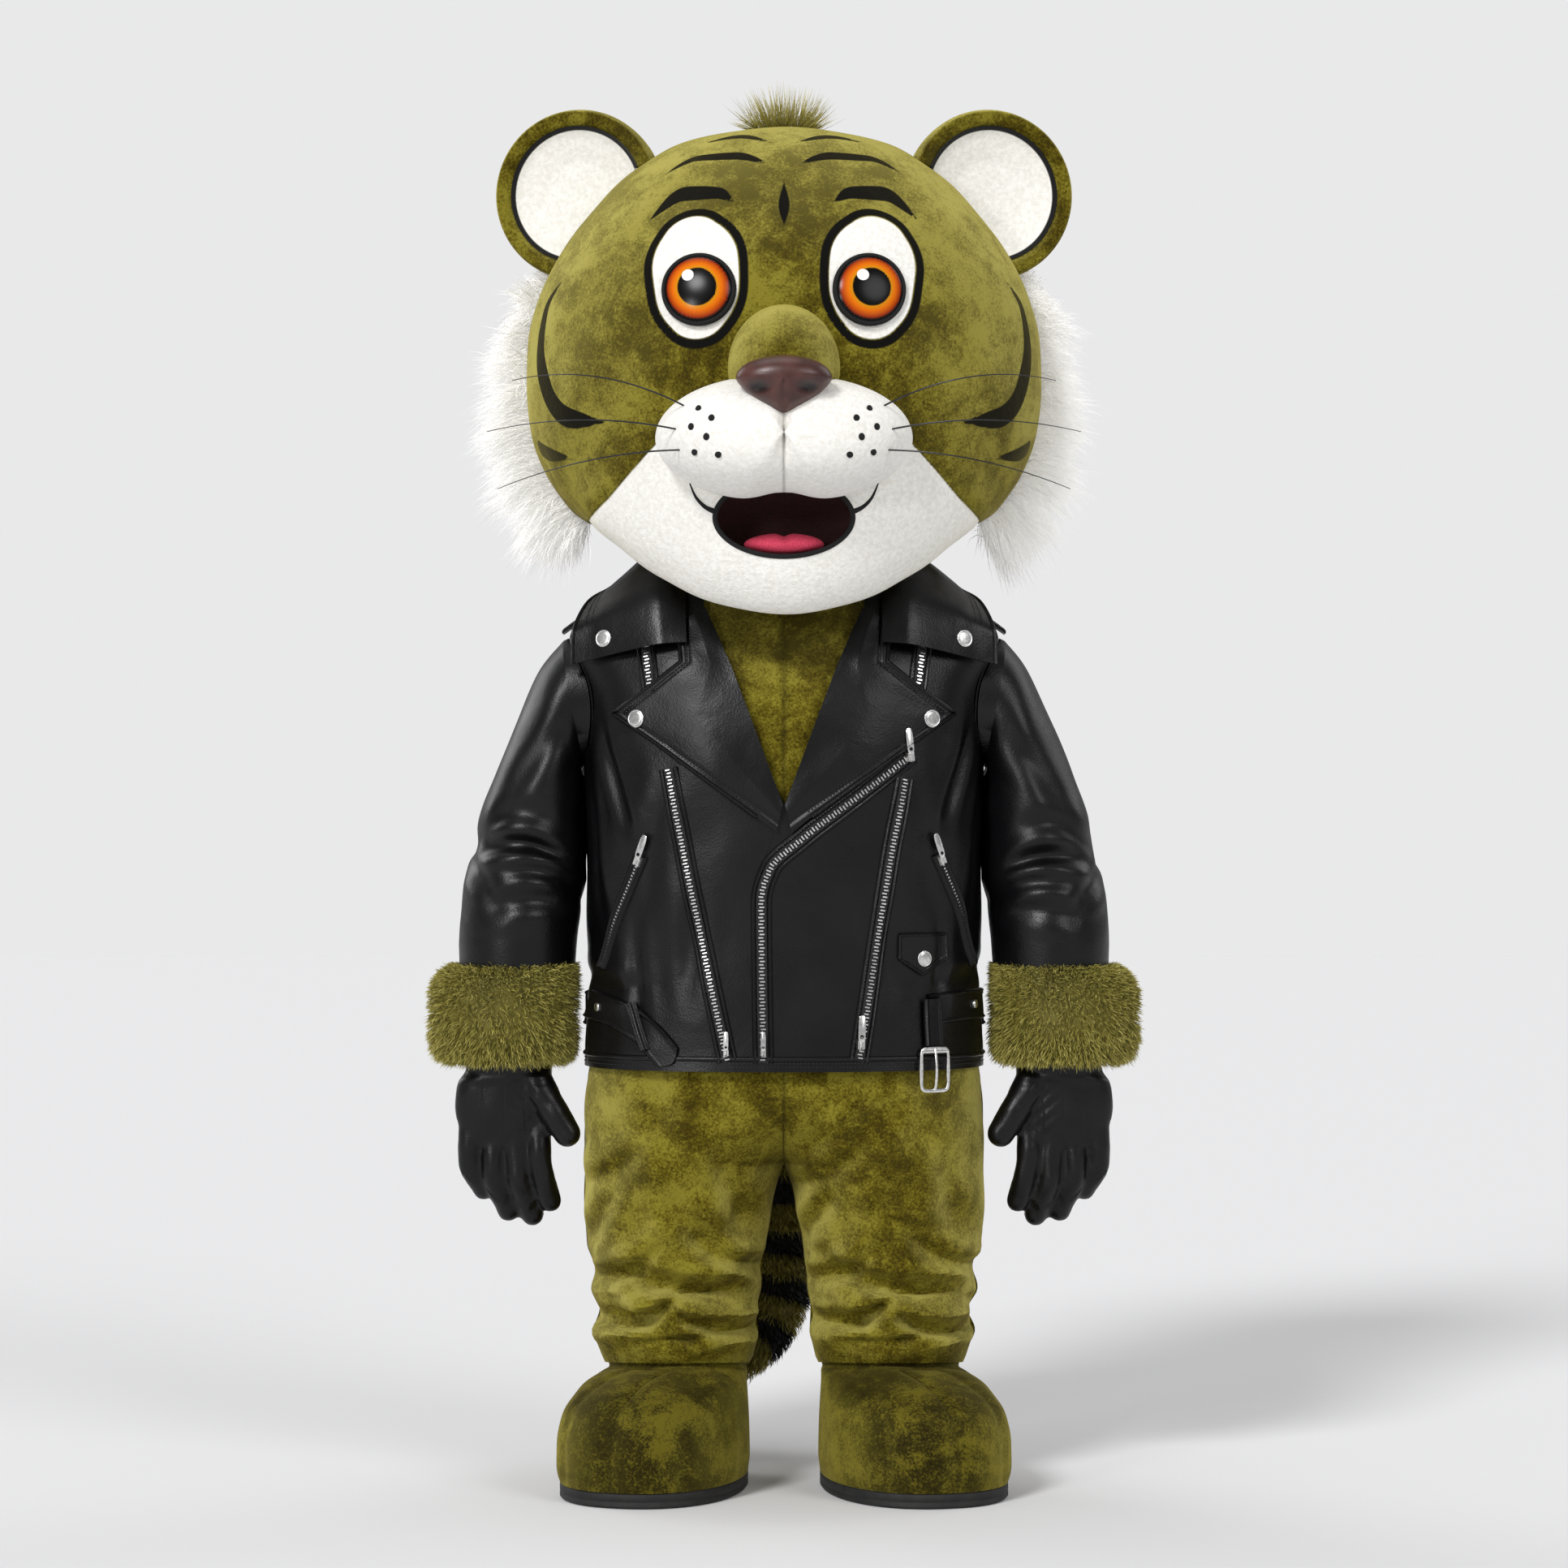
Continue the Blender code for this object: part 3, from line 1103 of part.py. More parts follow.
def limb_rings(path, radii, columns):
    """Rings about a path, each across the way that the path runs there."""
    path = np.asarray(path, dtype=float)
    along = np.gradient(path, axis=0)
    along /= np.linalg.norm(along, axis=1, keepdims=True)
    side = np.cross(along[0], (0.0, 1.0, 0.0))
    if np.linalg.norm(side) < 0.2:
        side = np.cross(along[0], (0.0, 0.0, 1.0))
    turns = np.arange(columns) * 2 * math.pi / columns
    rings = []
    for point, ahead, radius in zip(path, along, radii):
        side = side - ahead * side.dot(ahead)
        side /= np.linalg.norm(side)
        other = np.cross(ahead, side)
        rings.append(point + radius * (np.cos(turns)[:, None] * side + np.sin(turns)[:, None] * other))
    return np.array(rings)


def make_tail(fur, suit_core):
    places = np.array((0.0, 1.0, 1.5, 2.0, 2.5, 3.0, 4.5, 6.0, 6.6, 7.2, 7.8, 8.4, 9.0, 9.35, 9.6, 9.9))
    sizes = TAIL.at(places)
    path = np.stack([sizes["x"], sizes["y"], sizes["z"]], axis=1)
    cut(loft("tail", limb_rings(path, sizes["radius"], 12), fur), suit_core)


# ------------------------------------------------------------------ boots and soles
TOE_OUT = math.radians(17)
FOOT_MIDDLE, FOOT_HALF_LENGTH = 0.0775, 0.1975
SOLE_TOP = 0.022


def foot_outline(turns, share=1.0):
    """The boot's footprint: an egg, wide at the toe, turned out from the ankle. Turn 0 is the toe."""
    ahead = FOOT_MIDDLE + FOOT_HALF_LENGTH * share * np.cos(turns)
    across = (0.124 + 0.020 * np.cos(turns)) * share * signed_power(np.sin(turns), 0.9)
    x = ANKLE["x"] + across * math.cos(TOE_OUT) + ahead * math.sin(TOE_OUT)
    y = ANKLE["y"] + across * math.sin(TOE_OUT) - ahead * math.cos(TOE_OUT)
    return x, y


def make_boots(plush, rubber):
    turns = -QUARTER + np.arange(2 * LEG_COLUMNS) * math.pi / LEG_COLUMNS
    top = ankle_points(turns)
    outline_x, outline_y = foot_outline(turns)
    rows = []
    for z, share in ((SOLE_TOP + SEAM_GAP, 1.0), (0.048, 1.025), (0.080, 1.02)):
        x, y = foot_outline(turns, share)
        rows.append(grid_of(x, y, np.full_like(x, z)))
    belly_z = 0.080
    for angle in (0.45, 0.90, 1.30):
        inward = 1 - math.cos(angle)
        height = math.sin(angle)
        x = outline_x * 1.02 * (1 - inward) + top[:, 0] * inward - 0.02 * ANKLE["x"] * (1 - inward)
        y = outline_y * 1.02 * (1 - inward) + top[:, 1] * inward
        rows.append(grid_of(x, y, belly_z + (top[:, 2] - 0.006 - belly_z) * height))
    rows += [top, ankle_points(turns, up=0.018), ankle_points(turns, grow=-0.001, up=0.036)]
    grid = np.array(rows)
    cloth("boot_left", grid, BOOT_WALL, plush, round_columns=True)
    cloth("boot_right", mirrored(grid), BOOT_WALL, plush, round_columns=True)
    sole_rows = []
    for z, share in ((0.0, 0.965), (0.0035, 1.0), (SOLE_TOP - 0.002, 1.0), (SOLE_TOP, 0.99)):
        x, y = foot_outline(np.arange(28) * 2 * math.pi / 28, share)
        sole_rows.append(grid_of(x, y, np.full_like(x, z)))
    loft("sole_left", np.array(sole_rows), rubber)
    loft("sole_right", mirrored(np.array(sole_rows)), rubber)


# ------------------------------------------------------------------ gloves
FINGERS = {  # knuckle, middle and tip (x, y, z), and the radius at the first and the last
    "little": ((0.4535, -0.020, 0.536), (0.4575, -0.016, 0.470), (0.4370, 0.002, 0.430), 0.0160, 0.0145),
    "ring": ((0.4210, -0.022, 0.536), (0.4220, -0.022, 0.458), (0.4030, 0.002, 0.408), 0.0165, 0.0150),
    "middle": ((0.3890, -0.023, 0.536), (0.3865, -0.026, 0.455), (0.3690, 0.000, 0.402), 0.0165, 0.0155),
    "index": ((0.3565, -0.023, 0.536), (0.3510, -0.026, 0.466), (0.3355, -0.006, 0.424), 0.0160, 0.0150),
    "thumb": ((0.3680, -0.030, 0.600), (0.3400, -0.043, 0.552), (0.3130, -0.047, 0.508), 0.0215, 0.0165),
}
PALM = Table(
    "z x y half_x half_y",
    [
        (0.490, 0.405, -0.022, 0.050, 0.016),
        (0.512, 0.405, -0.022, 0.066, 0.023),
        (0.545, 0.407, -0.023, 0.071, 0.030),
        (0.580, 0.405, -0.023, 0.069, 0.034),
        (0.600, 0.399, -0.022, 0.0625, 0.040),
        (0.640, 0.396, -0.022, 0.066, 0.052),
        (0.690, 0.396, -0.022, 0.066, 0.052),
    ],
)
GLOVE_TOP = 0.690
FINGER_COLUMNS = 6


def finger_solid(name, joints, shrink, columns):
    """A tapered finger with a round tip; `shrink` makes the hollow inside it."""
    knuckle, middle, tip, wide, narrow = joints
    start = np.array(knuckle) - (0.0, 0.0, 3 * shrink)
    path = list(spaced([start, middle, tip], 3))
    ahead = path[-1] - path[-2]
    ahead /= np.linalg.norm(ahead)
    radii = list(np.linspace(wide - shrink, narrow - shrink, 3))
    path.append(np.array(tip) + ahead * radii[-1] * 0.75)
    radii.append(radii[-1] * 0.62)
    return loft(name, limb_rings(path, radii, columns)[:, ::-1], None)


def palm_solid(name, finish, shrink, top, columns=12):
    """The palm and wrist; `shrink` makes the hollow inside them."""
    turns = np.arange(columns) * 2 * math.pi / columns
    rings = []
    for z in (0.490, 0.512, 0.560, 0.605, 0.640, GLOVE_TOP):
        sizes = PALM.at(z)
        height = top if z == GLOVE_TOP else z + (shrink if z < 0.5 else 0.0)
        x = sizes["x"] + (sizes["half_x"] - shrink) * np.cos(turns)
        y = sizes["y"] + (sizes["half_y"] - shrink) * np.sin(turns)
        rings.append(grid_of(x, y, height))
    return loft(name, np.array(rings), finish)


def make_gloves(leather):
    glove = palm_solid("glove_left", leather, 0.0, GLOVE_TOP)
    for finger, joints in FINGERS.items():
        boolean(glove, finger_solid(f"{finger}_outer", joints, 0.0, FINGER_COLUMNS), "UNION")
    cut(glove, palm_solid("palm_hollow", None, GLOVE_LEATHER, GLOVE_TOP + 0.02))
    for finger, joints in FINGERS.items():
        cut(glove, finger_solid(f"{finger}_hollow", joints, GLOVE_LEATHER, FINGER_COLUMNS))
    return glove


def mirror_copy(piece, name):
    """A copy of a finished piece on the other side of x = 0."""
    bpy.context.view_layer.update()
    whole = piece.evaluated_get(bpy.context.evaluated_depsgraph_get())
    mesh = bpy.data.meshes.new_from_object(whole)
    work = bmesh.new()
    work.from_mesh(mesh)
    bmesh.ops.scale(work, vec=(-1, 1, 1), verts=work.verts)
    bmesh.ops.reverse_faces(work, faces=work.faces)
    work.to_mesh(mesh)
    work.free()
    copy = place(name, mesh, None)
    return copy


def suit_core_solid():
    """The seat of the suit as a solid, a seam gap larger, that trims the tail's root."""
    left = suit_grid(back=True)
    first = len(LEG_ROWS) + 2
    seat = left[first : first + len(HIP_ROWS) + 2]
    seat = seat + normals_of(seat) * 8 * SEAM_GAP
    right = seat * (-1.0, 1.0, 1.0)
    inside = seat[:, :1] * (1.0, 0.0, 1.0)
    ring = np.concatenate([inside, seat, right[:, -2::-1], inside * (-1.0, 1.0, 1.0)], axis=1)
    return loft("suit_core", ring, None)


def main():
    for old in list(bpy.data.objects):
        bpy.data.objects.remove(old, do_unlink=True)

    plush = material("olive_plush", (0.16, 0.14, 0.015), 0.85)
    white_plush = material("white_plush", (0.78, 0.76, 0.72), 0.9)
    leather = material("black_leather", (0.012, 0.012, 0.013), 0.42)
    fur = material("olive_fur", (0.20, 0.18, 0.03), 0.9)
    white_fur = material("white_fur", (0.82, 0.80, 0.76), 0.9)
    metal = material("nickel_plated_zinc", (0.62, 0.62, 0.62), 0.3, 1.0)
    rubber = material("black_rubber", (0.01, 0.01, 0.01), 0.7)
    nose_vinyl = material("nose_vinyl", (0.06, 0.02, 0.015), 0.45)
    eye_plastic = material("eye_plastic", (0.80, 0.25, 0.02), 0.1)
    mouth_cloth = material("mouth_cloth", (0.02, 0.01, 0.01), 0.9)
    tongue_fleece = material("tongue_fleece", (0.75, 0.12, 0.16), 0.8)

    lower, core = make_head_shell(plush, white_plush)
    muzzle = make_muzzle("muzzle", white_plush)
    cut(muzzle, core)
    muzzle_core = make_muzzle("muzzle_core", None, grow=0.0016)
    bridge = round_solid("nose_bridge", BRIDGE_CENTRE, BRIDGE_HALF, plush)
    cut(bridge, core, muzzle_core)
    bridge_core = round_solid("bridge_core", BRIDGE_CENTRE, [half + 0.0006 for half in BRIDGE_HALF], None)
    cut(make_nose(nose_vinyl), muzzle_core, bridge_core)
    for side, sign in (("left", 1), ("right", -1)):
        cut(make_eye(f"eye_{side}", sign, eye_plastic), core)
    make_mouth(lower, mouth_cloth, tongue_fleece)
    make_ears(core, plush, white_plush)
    make_ruffs(core, white_fur)
    make_tuft(core, fur)

    pieces, backs = make_jacket_body(leather)
    arm_cutters = {}
    for side, sign in (("left", 1), ("right", -1)):
        centre = (sign * 0.31, ARMHOLE_Y, ARMHOLE_Z)
        arm_cutters[side] = ellipse_along(f"armhole_{side}", "x", centre, ARMHOLE_HALF, 0.14)
    for piece in pieces:
        for side in ("left", "right"):
            if piece.name.endswith(side) or piece.name == "jacket_yoke":
                cut(piece, arm_cutters[side])
    belt = make_belt(leather, metal)
    arch = ellipse_along("tail_arch", "y", (0.0, 0.20, 0.612), TAIL_ARCH, 0.06)
    for piece in backs + [belt]:
        cut(piece, arch)
    make_sleeves(leather)
    make_cuffs(fur)
    make_zips(metal)
    make_lapels(leather)
    make_coin_flap(leather)
    make_collar(leather)
    make_epaulettes(leather)
    make_studs(metal)

    make_suit(plush, arm_cutters)
    make_neck_band(plush)
    make_tail(fur, suit_core_solid())
    make_boots(plush, rubber)
    glove = make_gloves(leather)
    mirror_copy(glove, "glove_right")


main()
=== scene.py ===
import math

import bmesh
import bpy
import numpy as np
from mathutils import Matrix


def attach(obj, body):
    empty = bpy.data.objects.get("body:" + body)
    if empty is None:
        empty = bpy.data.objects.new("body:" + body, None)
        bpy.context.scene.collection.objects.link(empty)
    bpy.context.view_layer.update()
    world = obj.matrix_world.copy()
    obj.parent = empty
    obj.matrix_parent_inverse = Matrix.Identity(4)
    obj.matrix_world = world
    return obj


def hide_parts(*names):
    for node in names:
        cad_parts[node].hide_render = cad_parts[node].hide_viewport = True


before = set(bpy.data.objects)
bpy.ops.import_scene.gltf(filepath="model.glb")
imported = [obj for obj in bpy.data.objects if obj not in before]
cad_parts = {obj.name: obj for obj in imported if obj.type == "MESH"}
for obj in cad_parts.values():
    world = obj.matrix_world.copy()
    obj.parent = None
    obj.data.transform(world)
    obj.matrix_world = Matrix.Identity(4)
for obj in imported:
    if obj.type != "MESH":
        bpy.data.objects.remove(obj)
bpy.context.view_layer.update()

# ---------------------------------------------------------------- camera, floor and light
# A tiger mascot costume worn as a set, on pale seamless paper. The camera stands straight in front at
# mid height, and large softboxes at both sides and above give leather and velvet their soft highlights.
SEEN_HEIGHT = 2.262  # of the upright plane through the costume's middle
SEEN_MIDDLE = 1.014
CAMERA_DISTANCE = 6.5


def linear(code):
    """A colour written as sRGB hex, as the linear red, green, blue and alpha that a shader takes."""
    shares = [int(code[place : place + 2], 16) / 255 for place in (1, 3, 5)]
    return (*(s / 12.92 if s <= 0.04045 else ((s + 0.055) / 1.055) ** 2.4 for s in shares), 1.0)


lens = bpy.data.cameras.new("camera")
lens.lens = lens.sensor_width * CAMERA_DISTANCE / SEEN_HEIGHT
camera = bpy.data.objects.new("camera", lens)
camera.location = (0.0, -CAMERA_DISTANCE, SEEN_MIDDLE)
camera.rotation_euler = (math.radians(90), 0.0, 0.0)
bpy.context.collection.objects.link(camera)
bpy.context.scene.camera = camera
bpy.context.scene.view_settings.view_transform = "Standard"

SOFTBOXES = (  # from where, strength, degrees across; so far off that the paper is evenly lit
    ((-1.9, -3.4, 2.9), 1.85, 14),
    ((-2.4, -3.8, 0.9), 0.60, 9),
    ((2.6, -3.0, 2.2), 0.80, 26),
    ((-0.4, 0.6, 3.2), 0.45, 40),
    ((-3.0, 2.6, 1.6), 0.62, 30),
    ((3.2, 2.2, 2.2), 0.42, 35),
)
for number, (place_at, strength, degrees) in enumerate(SOFTBOXES):
    lamp = bpy.data.lights.new(f"softbox_{number}", "SUN")
    lamp.energy, lamp.angle = strength, math.radians(degrees)
    stand = bpy.data.objects.new(f"softbox_{number}", lamp)
    stand.location = place_at
    x, y, z = place_at
    stand.rotation_euler = (math.atan2(math.hypot(x, y), z), 0.0, math.atan2(y, x) + math.pi / 2)
    bpy.context.collection.objects.link(stand)


def add_node(finish, kind, settings, sockets, ramp=()):
    """A node's outputs, once its settings, sockets (a value or another output each) and ramp are set."""
    made = finish.node_tree.nodes.new(kind)
    for name, value in settings.items():
        setattr(made, name, value)
    for name, value in sockets.items():
        if isinstance(value, bpy.types.NodeSocket):
            finish.node_tree.links.new(value, made.inputs[name])
        else:
            made.inputs[name].default_value = value
    for number, (position, code) in enumerate(ramp):
        stops = made.color_ramp.elements
        stop = stops[number] if number < len(stops) else stops.new(position)
        stop.position, stop.color = position, linear(code)
    return made.outputs


def new_finish(name, **values):
    """A material, its shader's sockets set by name (with _ for each space), and that shader."""
    finish = bpy.data.materials.new(name)
    finish.use_nodes = True
    shader = finish.node_tree.nodes["Principled BSDF"]
    for socket, value in values.items():
        shader.inputs[socket.replace("_", " ")].default_value = value
    return finish, shader


room = bpy.data.worlds.new("studio")
room.use_nodes = True
walls = room.node_tree.nodes["Background"]
walls.inputs["Color"].default_value = linear("#e9e9ea")
seen = add_node(room, "ShaderNodeLightPath", {}, {})["Is Camera Ray"]
WALL_LIGHT = 0.36  # the share of what the walls show that lights the costume
sockets = {"Value": seen, "To Min": WALL_LIGHT, "To Max": 1.0}
shown = add_node(room, "ShaderNodeMapRange", {}, sockets)["Result"]
room.node_tree.links.new(shown, walls.inputs["Strength"])
bpy.context.scene.world = room

paper, paper_shader = new_finish("seamless_paper", Roughness=0.9)
where = add_node(paper, "ShaderNodeTexCoord", {}, {})["Object"]
fibre = add_node(paper, "ShaderNodeTexNoise", {}, {"Vector": where, "Scale": 900.0})["Fac"]
shade = add_node(paper, "ShaderNodeValToRGB", {}, {"Fac": fibre}, ramp=((0.3, "#e0e0e1"), (0.7, "#e4e4e5")))
paper.node_tree.links.new(shade["Color"], paper_shader.inputs["Base Color"])
FLOOR_REACH = 20
floor_mesh = bpy.data.meshes.new("paper_floor")
floor_corners = [(x * FLOOR_REACH, y * FLOOR_REACH, 0) for x, y in ((-1, -1), (1, -1), (1, 1), (-1, 1))]
floor_mesh.from_pydata(floor_corners, [], [(0, 1, 2, 3)])
floor_mesh.materials.append(paper)
floor = bpy.data.objects.new("paper_floor", floor_mesh)
bpy.context.collection.objects.link(floor)

# ---------------------------------------------------------------- the head's shell
# Foam 12 mm thick, covered in crushed velvet plush with black felt stripes and white fleece. It is sewn
# from an upper face, a lower jaw and two back halves, which meet at the sides and up the back.
CENTRE_SHIFT = 0.061  # the costume stands this far back, so that its box is centred
SEAM_GAP = 0.0003
QUARTER = math.pi / 2
FOAM_WALL = 0.012


class Table:
    """Rows of sizes under named columns. The first column is the key; the others follow a curve over it."""

    def __init__(self, columns, rows):
        self.names = columns.split()
        self.rows = np.array(rows, dtype=float)

    def at(self, key):
        """Every other column at `key`, as a dictionary."""
        values = curve(self.rows[:, 0], self.rows[:, 1:], np.asarray(key, dtype=float))
        return {name: values[..., place] for place, name in enumerate(self.names[1:])}


def curve(keys, values, at):
    """A smooth curve through `values` at `keys` that never overshoots them (monotone cubic)."""
    keys, values = np.asarray(keys, dtype=float), np.asarray(values, dtype=float)
    step = np.diff(keys)[:, None]
    rise = np.diff(values, axis=0) / step
    slope = np.zeros_like(values)
    product = rise[1:] * rise[:-1]
    total = np.where(np.abs(rise[1:] + rise[:-1]) < 1e-12, 1.0, rise[1:] + rise[:-1])
    slope[1:-1] = np.where(product > 0, 2 * product / total, 0.0)
    slope[0], slope[-1] = rise[0], rise[-1]
    at = np.clip(at, keys[0], keys[-1])
    span = np.clip(np.searchsorted(keys, at, side="right") - 1, 0, len(keys) - 2)
    width = step[span, 0][..., None]
    t = (at - keys[span])[..., None] / width
    low, high = values[span], values[span + 1]
    return (
        low * (1 + 2 * t) * (1 - t) ** 2
        + high * t**2 * (3 - 2 * t)
        + width * slope[span] * t * (1 - t) ** 2
        + width * slope[span + 1] * t**2 * (t - 1)
    )


def spaced(points, count):
    """`count` points evenly spaced by parameter on the smooth curve through `points`."""
    points = np.array(points, dtype=float)
    return curve(np.arange(len(points)), points, np.linspace(0, len(points) - 1, count))


def signed_power(base, power):
    """A power of a number's size, with the number's own sign."""
    return np.sign(base) * np.abs(base) ** power


def bell(offset, width):
    """A soft bump: 1 where the offset is 0, and 0.37 one width from there."""
    return np.exp(-((offset / width) ** 2))


def grid_of(*coordinates):
    """x, y and z arrays joined into a grid of points."""
    return np.stack(np.broadcast_arrays(*coordinates), axis=-1)


def mirrored(grid):
    """The same grid on the other side of x = 0, its columns turned round so that it still faces out."""
    return grid[:, ::-1] * np.array((-1.0, 1.0, 1.0))


def unit(vectors):
    """The vectors at length 1; those with no length stay as they are."""
    length = np.linalg.norm(vectors, axis=-1, keepdims=True)
    return vectors / np.where(length < 1e-12, 1.0, length)


def normals_of(grid, round_columns=False):
    """Unit normals of a grid of points, out of its surface."""
    if round_columns:
        along = np.roll(grid, -1, axis=1) - np.roll(grid, 1, axis=1)
    else:
        along = np.gradient(grid, axis=1)
    normal = np.cross(along, np.gradient(grid, axis=0))
    for row in (0, -1):
        if np.abs(normal[row]).max() < 1e-12:
            normal[row] = unit(normal[1 if row == 0 else -2]).mean(axis=0)
    return unit(normal)


def quads(rows, columns, round_columns=False, round_rows=False):
    """The faces of a grid of points, as rows of four point numbers."""
    numbers = np.arange(rows * columns).reshape(rows, columns)
    if round_columns:
        numbers = np.concatenate([numbers, numbers[:, :1]], axis=1)
    if round_rows:
        numbers = np.concatenate([numbers, numbers[:1]], axis=0)
    corners = (numbers[:-1, :-1], numbers[:-1, 1:], numbers[1:, 1:], numbers[1:, :-1])
    return np.stack(corners, axis=-1).reshape(-1, 4)


def piece_from(name, points, faces, finishes, marks=None, closed=True, finish_of=None, sharp_degrees=50):
    """A smooth object on the root body. `marks` are float attributes, one value for each point."""
    mesh = bpy.data.meshes.new(name)
    points = np.asarray(points, dtype=float).reshape(-1, 3)
    mesh.from_pydata((points + (0.0, CENTRE_SHIFT, 0.0)).tolist(), [], [list(map(int, f)) for f in faces])
    for mark, values in (marks or {}).items():
        layer = mesh.attributes.new(mark, "FLOAT", "POINT")
        layer.data.foreach_set("value", np.ascontiguousarray(values, dtype=np.float32).ravel())
    if finish_of is not None:
        mesh.polygons.foreach_set("material_index", np.asarray(finish_of, dtype=np.int32))
    if closed:
        work = bmesh.new()
        work.from_mesh(mesh)
        bmesh.ops.remove_doubles(work, verts=work.verts, dist=1e-6)
        bmesh.ops.recalc_face_normals(work, faces=work.faces)
        work.to_mesh(mesh)
        work.free()
    mesh.shade_smooth()
    mesh.set_sharp_from_angle(angle=math.radians(sharp_degrees))
    for finish in finishes if isinstance(finishes, (list, tuple)) else [finishes]:
        mesh.materials.append(finish)
    piece = bpy.data.objects.new(name, mesh)
    bpy.context.collection.objects.link(piece)
    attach(piece, "root")
    return piece


def wall(name, outer, inward, finish, round_columns=False, marks=None):
    """A closed wall of cloth: the grid `outer` is its outer face, and its inner face has every second point
    of outer + inward. Rows, and columns that aren't round, are odd in number."""
    rows, columns = outer.shape[:2]
    inner = (outer + inward)[::2, ::2]
    low_rows, low_columns = inner.shape[:2]
    count = rows * columns
    faces = quads(rows, columns, round_columns).tolist()
    faces += (quads(low_rows, low_columns, round_columns)[:, ::-1] + count).tolist()
    numbers = np.arange(count).reshape(rows, columns)
    low = np.arange(low_rows * low_columns).reshape(low_rows, low_columns) + count
    borders = [(numbers[0], low[0], True), (numbers[-1], low[-1], False)]
    if round_columns:
        borders = [(np.append(a, a[0]), np.append(b, b[0]), first) for a, b, first in borders]
    else:
        borders += [(numbers[:, 0], low[:, 0], False), (numbers[:, -1], low[:, -1], True)]
    for outside, inside, first in borders:
        if np.ptp(outer.reshape(-1, 3)[outside], axis=0).max() < SEAM_GAP:
            continue  # a pole
        for step in range(len(inside) - 1):
            a, m, b = outside[2 * step : 2 * step + 3]
            near, far = inside[step], inside[step + 1]
            strip = [(m, a, near), (m, near, far), (b, m, far)]
            faces += strip if first else [face[::-1] for face in strip]
    both = {mark: np.append(values, values[::2, ::2]) for mark, values in (marks or {}).items()}
    return piece_from(name, np.vstack([outer.reshape(-1, 3), inner.reshape(-1, 3)]), faces, finish, both)


def solid(name, rings, finish, marks=None, sharp_degrees=50):
    """A closed solid through rings of points, its two ends closed by fans."""
    rows, columns = rings.shape[:2]
    ends = [rings[0].mean(axis=0), rings[-1].mean(axis=0)]
    points = np.vstack([rings.reshape(-1, 3), ends])
    faces = quads(rows, columns, round_columns=True).tolist()
    top = (rows - 1) * columns
    for column in range(columns):
        after = (column + 1) % columns
        faces += [(after, column, rows * columns), (top + column, top + after, rows * columns + 1)]
    full = {}
    for mark, values in (marks or {}).items():
        full[mark] = np.concatenate([values.ravel(), [values[0].mean(), values[-1].mean()]])
    return piece_from(name, points, faces, finish, full, sharp_degrees=sharp_degrees)


def carve(piece, tool):
    """Cuts a tool out of a piece for good. The tool stays, as other pieces may need it."""
    step = piece.modifiers.new("carve", "BOOLEAN")
    step.operation, step.object = "DIFFERENCE", tool
    bpy.context.view_layer.update()
    whole = piece.evaluated_get(bpy.context.evaluated_depsgraph_get())
    mesh = bpy.data.meshes.new_from_object(whole)
    piece.modifiers.clear()
    piece.data = mesh


HEAD = Table(
    "ring half_width side_z front_y front_z back_y back_z",
    [
        (0.0, 0.160, 1.392, -0.130, 1.336, 0.150, 1.398),
        (1.0, 0.205, 1.386, -0.185, 1.268, 0.195, 1.395),
        (2.0, 0.262, 1.388, -0.245, 1.253, 0.240, 1.403),
        (3.0, 0.300, 1.405, -0.292, 1.300, 0.275, 1.430),
        (4.0, 0.326, 1.432, -0.313, 1.372, 0.300, 1.468),
        (5.0, 0.345, 1.462, -0.320, 1.450, 0.316, 1.505),
        (6.0, 0.366, 1.520, -0.326, 1.520, 0.333, 1.560),
        (7.0, 0.375, 1.590, -0.329, 1.590, 0.343, 1.625),
        (8.0, 0.371, 1.655, -0.326, 1.660, 0.342, 1.685),
        (9.0, 0.353, 1.726, -0.313, 1.732, 0.327, 1.745),
        (10.0, 0.322, 1.785, -0.288, 1.795, 0.300, 1.802),
        (11.0, 0.278, 1.845, -0.250, 1.855, 0.260, 1.858),
        (12.0, 0.225, 1.897, -0.205, 1.903, 0.213, 1.905),
        (13.0, 0.160, 1.937, -0.150, 1.939, 0.157, 1.940),
        (14.0, 0.080, 1.958, -0.076, 1.959, 0.082, 1.959),
        (15.0, 0.000, 1.965, 0.000, 1.965, 0.000, 1.965),
    ],
)
JAW_RING, CROWN_RING = 5.0, 15.0
HEAD_SQUARENESS = 2.15


def head_points(rings, turns):
    """The head's outer face at rings (rows) and turns (columns): 0 faces -Y and 90 degrees is +X."""
    sizes = {name: value[:, None] for name, value in HEAD.at(rings).items()}
    across = signed_power(np.sin(turns), 2 / HEAD_SQUARENESS)[None, :]
    ahead = signed_power(np.cos(turns), 2 / HEAD_SQUARENESS)[None, :]
    end_y = np.where(ahead > 0, sizes["front_y"], sizes["back_y"])
    end_z = np.where(ahead > 0, sizes["front_z"], sizes["back_z"])
    z = sizes["side_z"] + (end_z - sizes["side_z"]) * ahead**2
    return grid_of(sizes["half_width"] * across, end_y * np.abs(ahead), z)


def head_normals(rings, turns):
    """Unit normals there; the crown's points straight up."""
    small = 1e-4
    rows = np.clip(rings, 0.001, CROWN_RING - 0.001)
    along = head_points(rows, turns + small) - head_points(rows, turns - small)
    up = head_points(rows + small, turns) - head_points(rows - small, turns)
    normals = unit(np.cross(along, up))
    normals[np.asarray(rings) > CROWN_RING - 0.01] = (0.0, 0.0, 1.0)
    return normals


